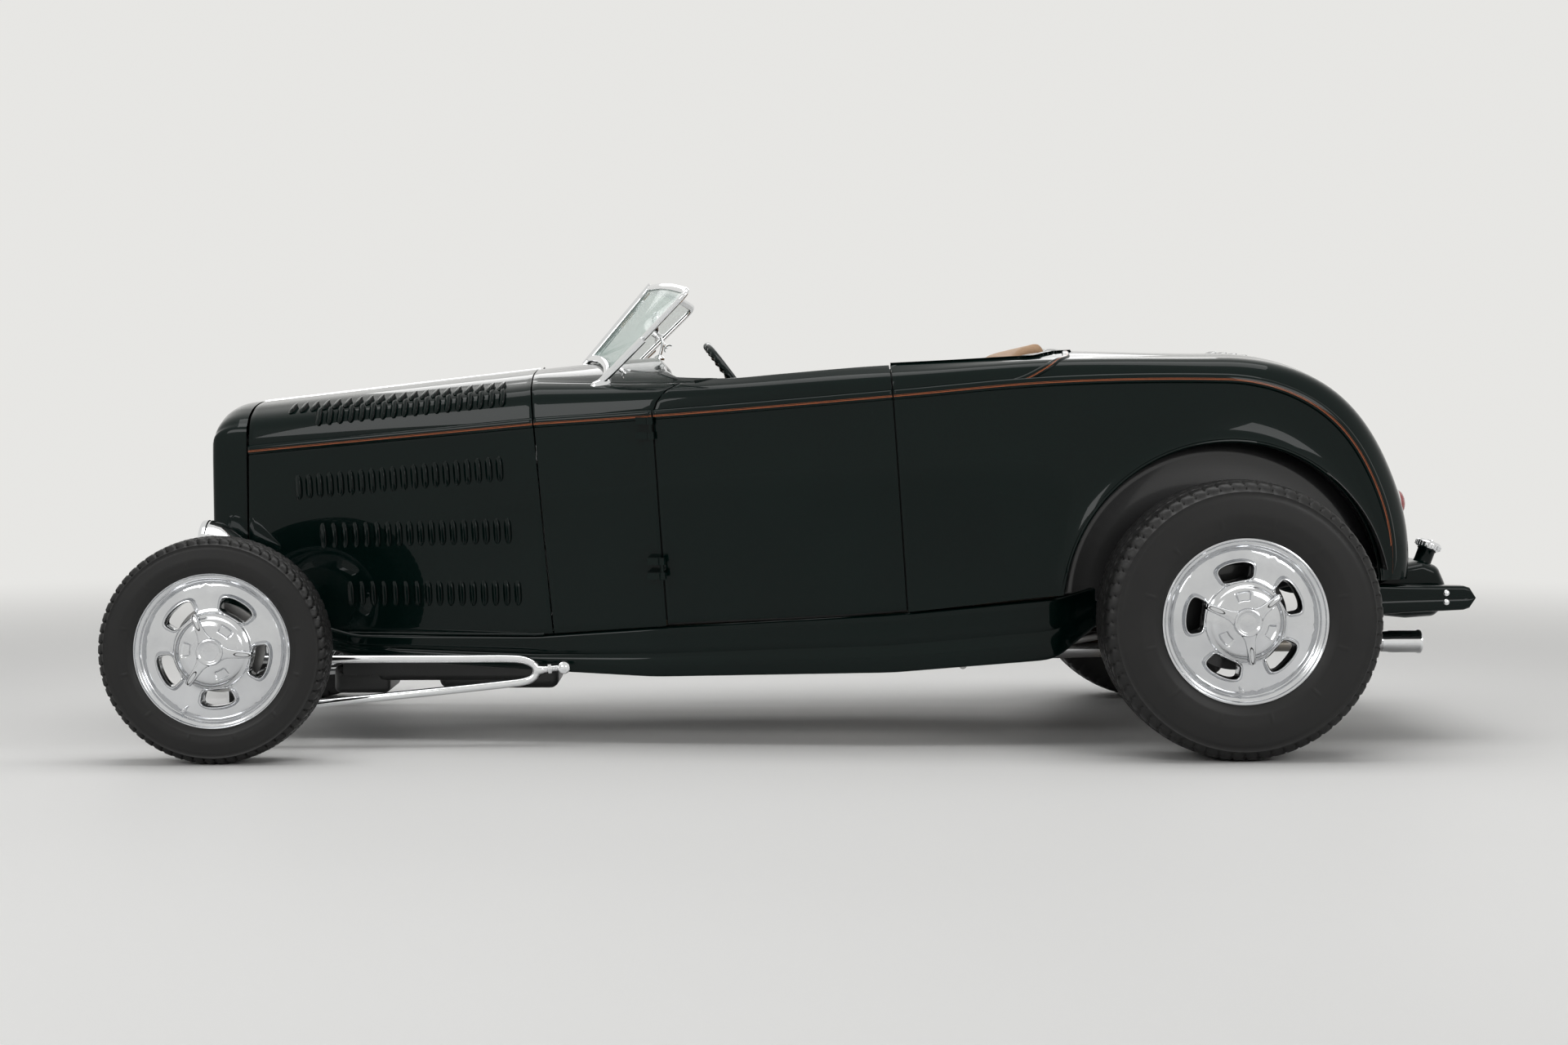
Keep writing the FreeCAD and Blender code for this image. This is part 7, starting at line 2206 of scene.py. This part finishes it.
def frontAxleBeam():
    look = axleLook
    half = np.array([(0.0, y, z) for y, z in look["line"]])
    path = smoothPath(np.concatenate([half[:0:-1] * (1, -1, 1), half]), 180)
    ahead = unit(np.gradient(path, axis=0))
    across = np.stack([np.zeros(len(path)), -ahead[:, 2], ahead[:, 1]], 1)
    side = np.array(look["section"])
    section = np.concatenate([side, side[::-1] * (-1, 1)])
    grid = (path[:, None, :] + section[None, :, :1] * np.array([1.0, 0, 0]) + section[None, :, 1:]
        * across[:, None, :] + (frontAxle, 0, 0))
    sheets = Sheets().ring(capped(grid))
    for way in (-1, 1):
        sheets.lathe([(-0.041, 0), (-0.041, 0.024), (-0.037, 0.0275), (0.037, 0.0275), (0.041, 0.024),
            (0.041, 0)], (frontAxle, way * 0.61, 0.292), (0, 0, 1), 48)
        top = look["post"]
        sheets.lathe([(-0.04, 0), (-0.04, 0.022), (-0.026, 0.017), (-0.006, 0.0155), (-0.003, 0.0175),
            (0.0, 0.0165), (0.0, 0)], (frontAxle, way * look["perch"], top), (0, 0, 1), 36)
        low, high = sorted((way * 0.4535, way * 0.4705))
        sheets.block((frontAxle - 0.026, low, 0.092), (frontAxle + 0.03, high, 0.261), 0.007, 5)
        for height in (0.104, 0.244):
            sheets.lathe([(0.0, 0), (0.0, 0.012), (0.008, 0.012), (0.0095, 0.01), (0.01, 0)],
                (frontAxle - 0.026, way * 0.462, height), (-1, 0, 0), 6)
    sheets.solid("frontAxleBeam", "chassis", chrome, replaces=("front_axle",), slot="chrome")
    print("front axle made")


frontAxleBeam()


# Floor, light and camera
stageLook = dict(floor=(0.88, 0.875, 0.86), sky=(0.8, 0.795, 0.775), room=26.0, corner=5.0, back=7.0,
    eye=(-0.2225, -6.806, 0.906), pitch=87.385, yaw=-1.375, lensWidth=2842 / 1920)


# A floor that sweeps up into a far wall: a line and a quarter circle carried sideways
def paleFloor():
    finish = Finish("paleFloor", Roughness=0.55)
    cloud = finish.noise(1.5, 2.0)
    finish.give("Base Color", finish.mix(cloud, stageLook["floor"], tuple(c * 0.975
        for c in stageLook["floor"])))
    glow = finish.node("ShaderNodeEmission", {}, {"Color": stageLook["sky"] + (1,), "Strength": 1.0},
        "Emission")
    seen, mirroredRay, passing = (finish.node("ShaderNodeLightPath", output="Is %s Ray" % kind)
        for kind in ("Camera", "Glossy", "Transmission"))
    mixed = finish.tree.nodes.new("ShaderNodeMixShader")
    x, y = finish.xyz()[:2]
    share = (seen + passing + mirroredRay) * (x * x + y * y).math("SQRT").ramp(2.6, 7.5)
    finish.tree.links.new(share.socket, mixed.inputs[0])
    finish.tree.links.new(finish.shader.outputs[0], mixed.inputs[1])
    finish.tree.links.new(glow.socket, mixed.inputs[2])
    finish.tree.links.new(mixed.outputs[0], finish.output.inputs[0])
    turn = np.linspace(0, np.pi / 2, 24)
    far, radius = stageLook["back"], stageLook["corner"]
    line = np.concatenate([[[-stageLook["room"], 0]], np.column_stack([far + np.sin(turn) * radius,
        radius - np.cos(turn) * radius]), [[far + radius, 16]]])
    sides = np.linspace(-stageLook["room"], stageLook["room"], 9)
    grid = np.stack([np.broadcast_to(sides[None, :], (len(line), 9)), np.broadcast_to(line[:, :1],
        (len(line), 9)), np.broadcast_to(line[:, 1:], (len(line), 9))], -1)
    mesh = bpy.data.meshes.new("floorAndWall")
    mesh.from_pydata(grid.reshape(-1, 3).tolist(), [], gridQuads(len(line), 9)[:, ::-1].tolist())
    mesh.shade_smooth()
    mesh.materials.append(finish.material)
    piece = bpy.data.objects.new("floorAndWall", mesh)
    bpy.context.scene.collection.objects.link(piece)


def softBox(name, place, aim, width, height, power, colour=(1, 1, 1)):
    light = bpy.data.lights.new(name, "AREA")
    light.shape, light.size, light.size_y, light.energy, light.color = "RECTANGLE", width, height, power, colour
    lamp = bpy.data.objects.new(name, light)
    lamp.location = place
    lamp.rotation_euler = (Vector(aim) - Vector(place)).to_track_quat("-Z", "Y").to_euler()
    bpy.context.scene.collection.objects.link(lamp)


def lightAndCamera():
    scene = bpy.context.scene
    scene.view_settings.view_transform = "Standard"
    world = bpy.data.worlds.new("studioAir")
    world.use_nodes = True
    nodes, links = world.node_tree.nodes, world.node_tree.links
    direction = nodes.new("ShaderNodeTexCoord")
    split = nodes.new("ShaderNodeSeparateXYZ")
    tone = nodes.new("ShaderNodeMapRange")
    tone.inputs["From Min"].default_value, tone.inputs["From Max"].default_value = -0.75, 0.55
    tone.inputs["To Min"].default_value, tone.inputs["To Max"].default_value = 0.03, 0.62
    links.new(direction.outputs["Generated"], split.inputs[0])
    links.new(split.outputs[1], tone.inputs["Value"])
    links.new(tone.outputs[0], nodes["Background"].inputs[1])
    nodes["Background"].inputs[0].default_value = (0.88, 0.89, 0.9, 1)
    backdrop = nodes.new("ShaderNodeBackground")
    backdrop.inputs[0].default_value = (*stageLook["sky"], 1)
    rays = nodes.new("ShaderNodeLightPath")
    chosen = nodes.new("ShaderNodeMixShader")
    shown = nodes.new("ShaderNodeMath")
    shown.operation = "MAXIMUM"
    mirroredOrPassing = nodes.new("ShaderNodeMath")
    mirroredOrPassing.operation = "MAXIMUM"
    links.new(rays.outputs["Is Glossy Ray"], mirroredOrPassing.inputs[0])
    links.new(rays.outputs["Is Transmission Ray"], mirroredOrPassing.inputs[1])
    links.new(rays.outputs["Is Camera Ray"], shown.inputs[0])
    links.new(mirroredOrPassing.outputs[0], shown.inputs[1])
    links.new(shown.outputs[0], chosen.inputs[0])
    links.new(nodes["Background"].outputs[0], chosen.inputs[1])
    links.new(backdrop.outputs[0], chosen.inputs[2])
    links.new(chosen.outputs[0], nodes["World Output"].inputs[0])
    scene.world = world
    softBox("overhead", (0, -0.5, 4.6), (0, 0, 0), 6.0, 2.2, 120)
    softBox("sideLeft", (-3.4, -5.2, 3.0), (0, 0, 0.6), 2.6, 1.8, 70)
    softBox("sideRight", (3.8, -4.6, 2.6), (0.6, 0, 0.6), 2.4, 1.6, 55)
    softBox("backGlow", (0, 5.5, 3.6), (0, 0, 0.5), 5.0, 1.6, 40)
    lensCard = bpy.data.cameras.new("viewCamera")
    lensCard.sensor_width = 36.0
    lensCard.lens = 36.0 * stageLook["lensWidth"]
    camera = bpy.data.objects.new("viewCamera", lensCard)
    camera.location = stageLook["eye"]
    camera.rotation_euler = (math.radians(stageLook["pitch"]), 0, math.radians(stageLook["yaw"]))
    scene.collection.objects.link(camera)
    scene.camera = camera


paleFloor()
lightAndCamera()
print("stage set")
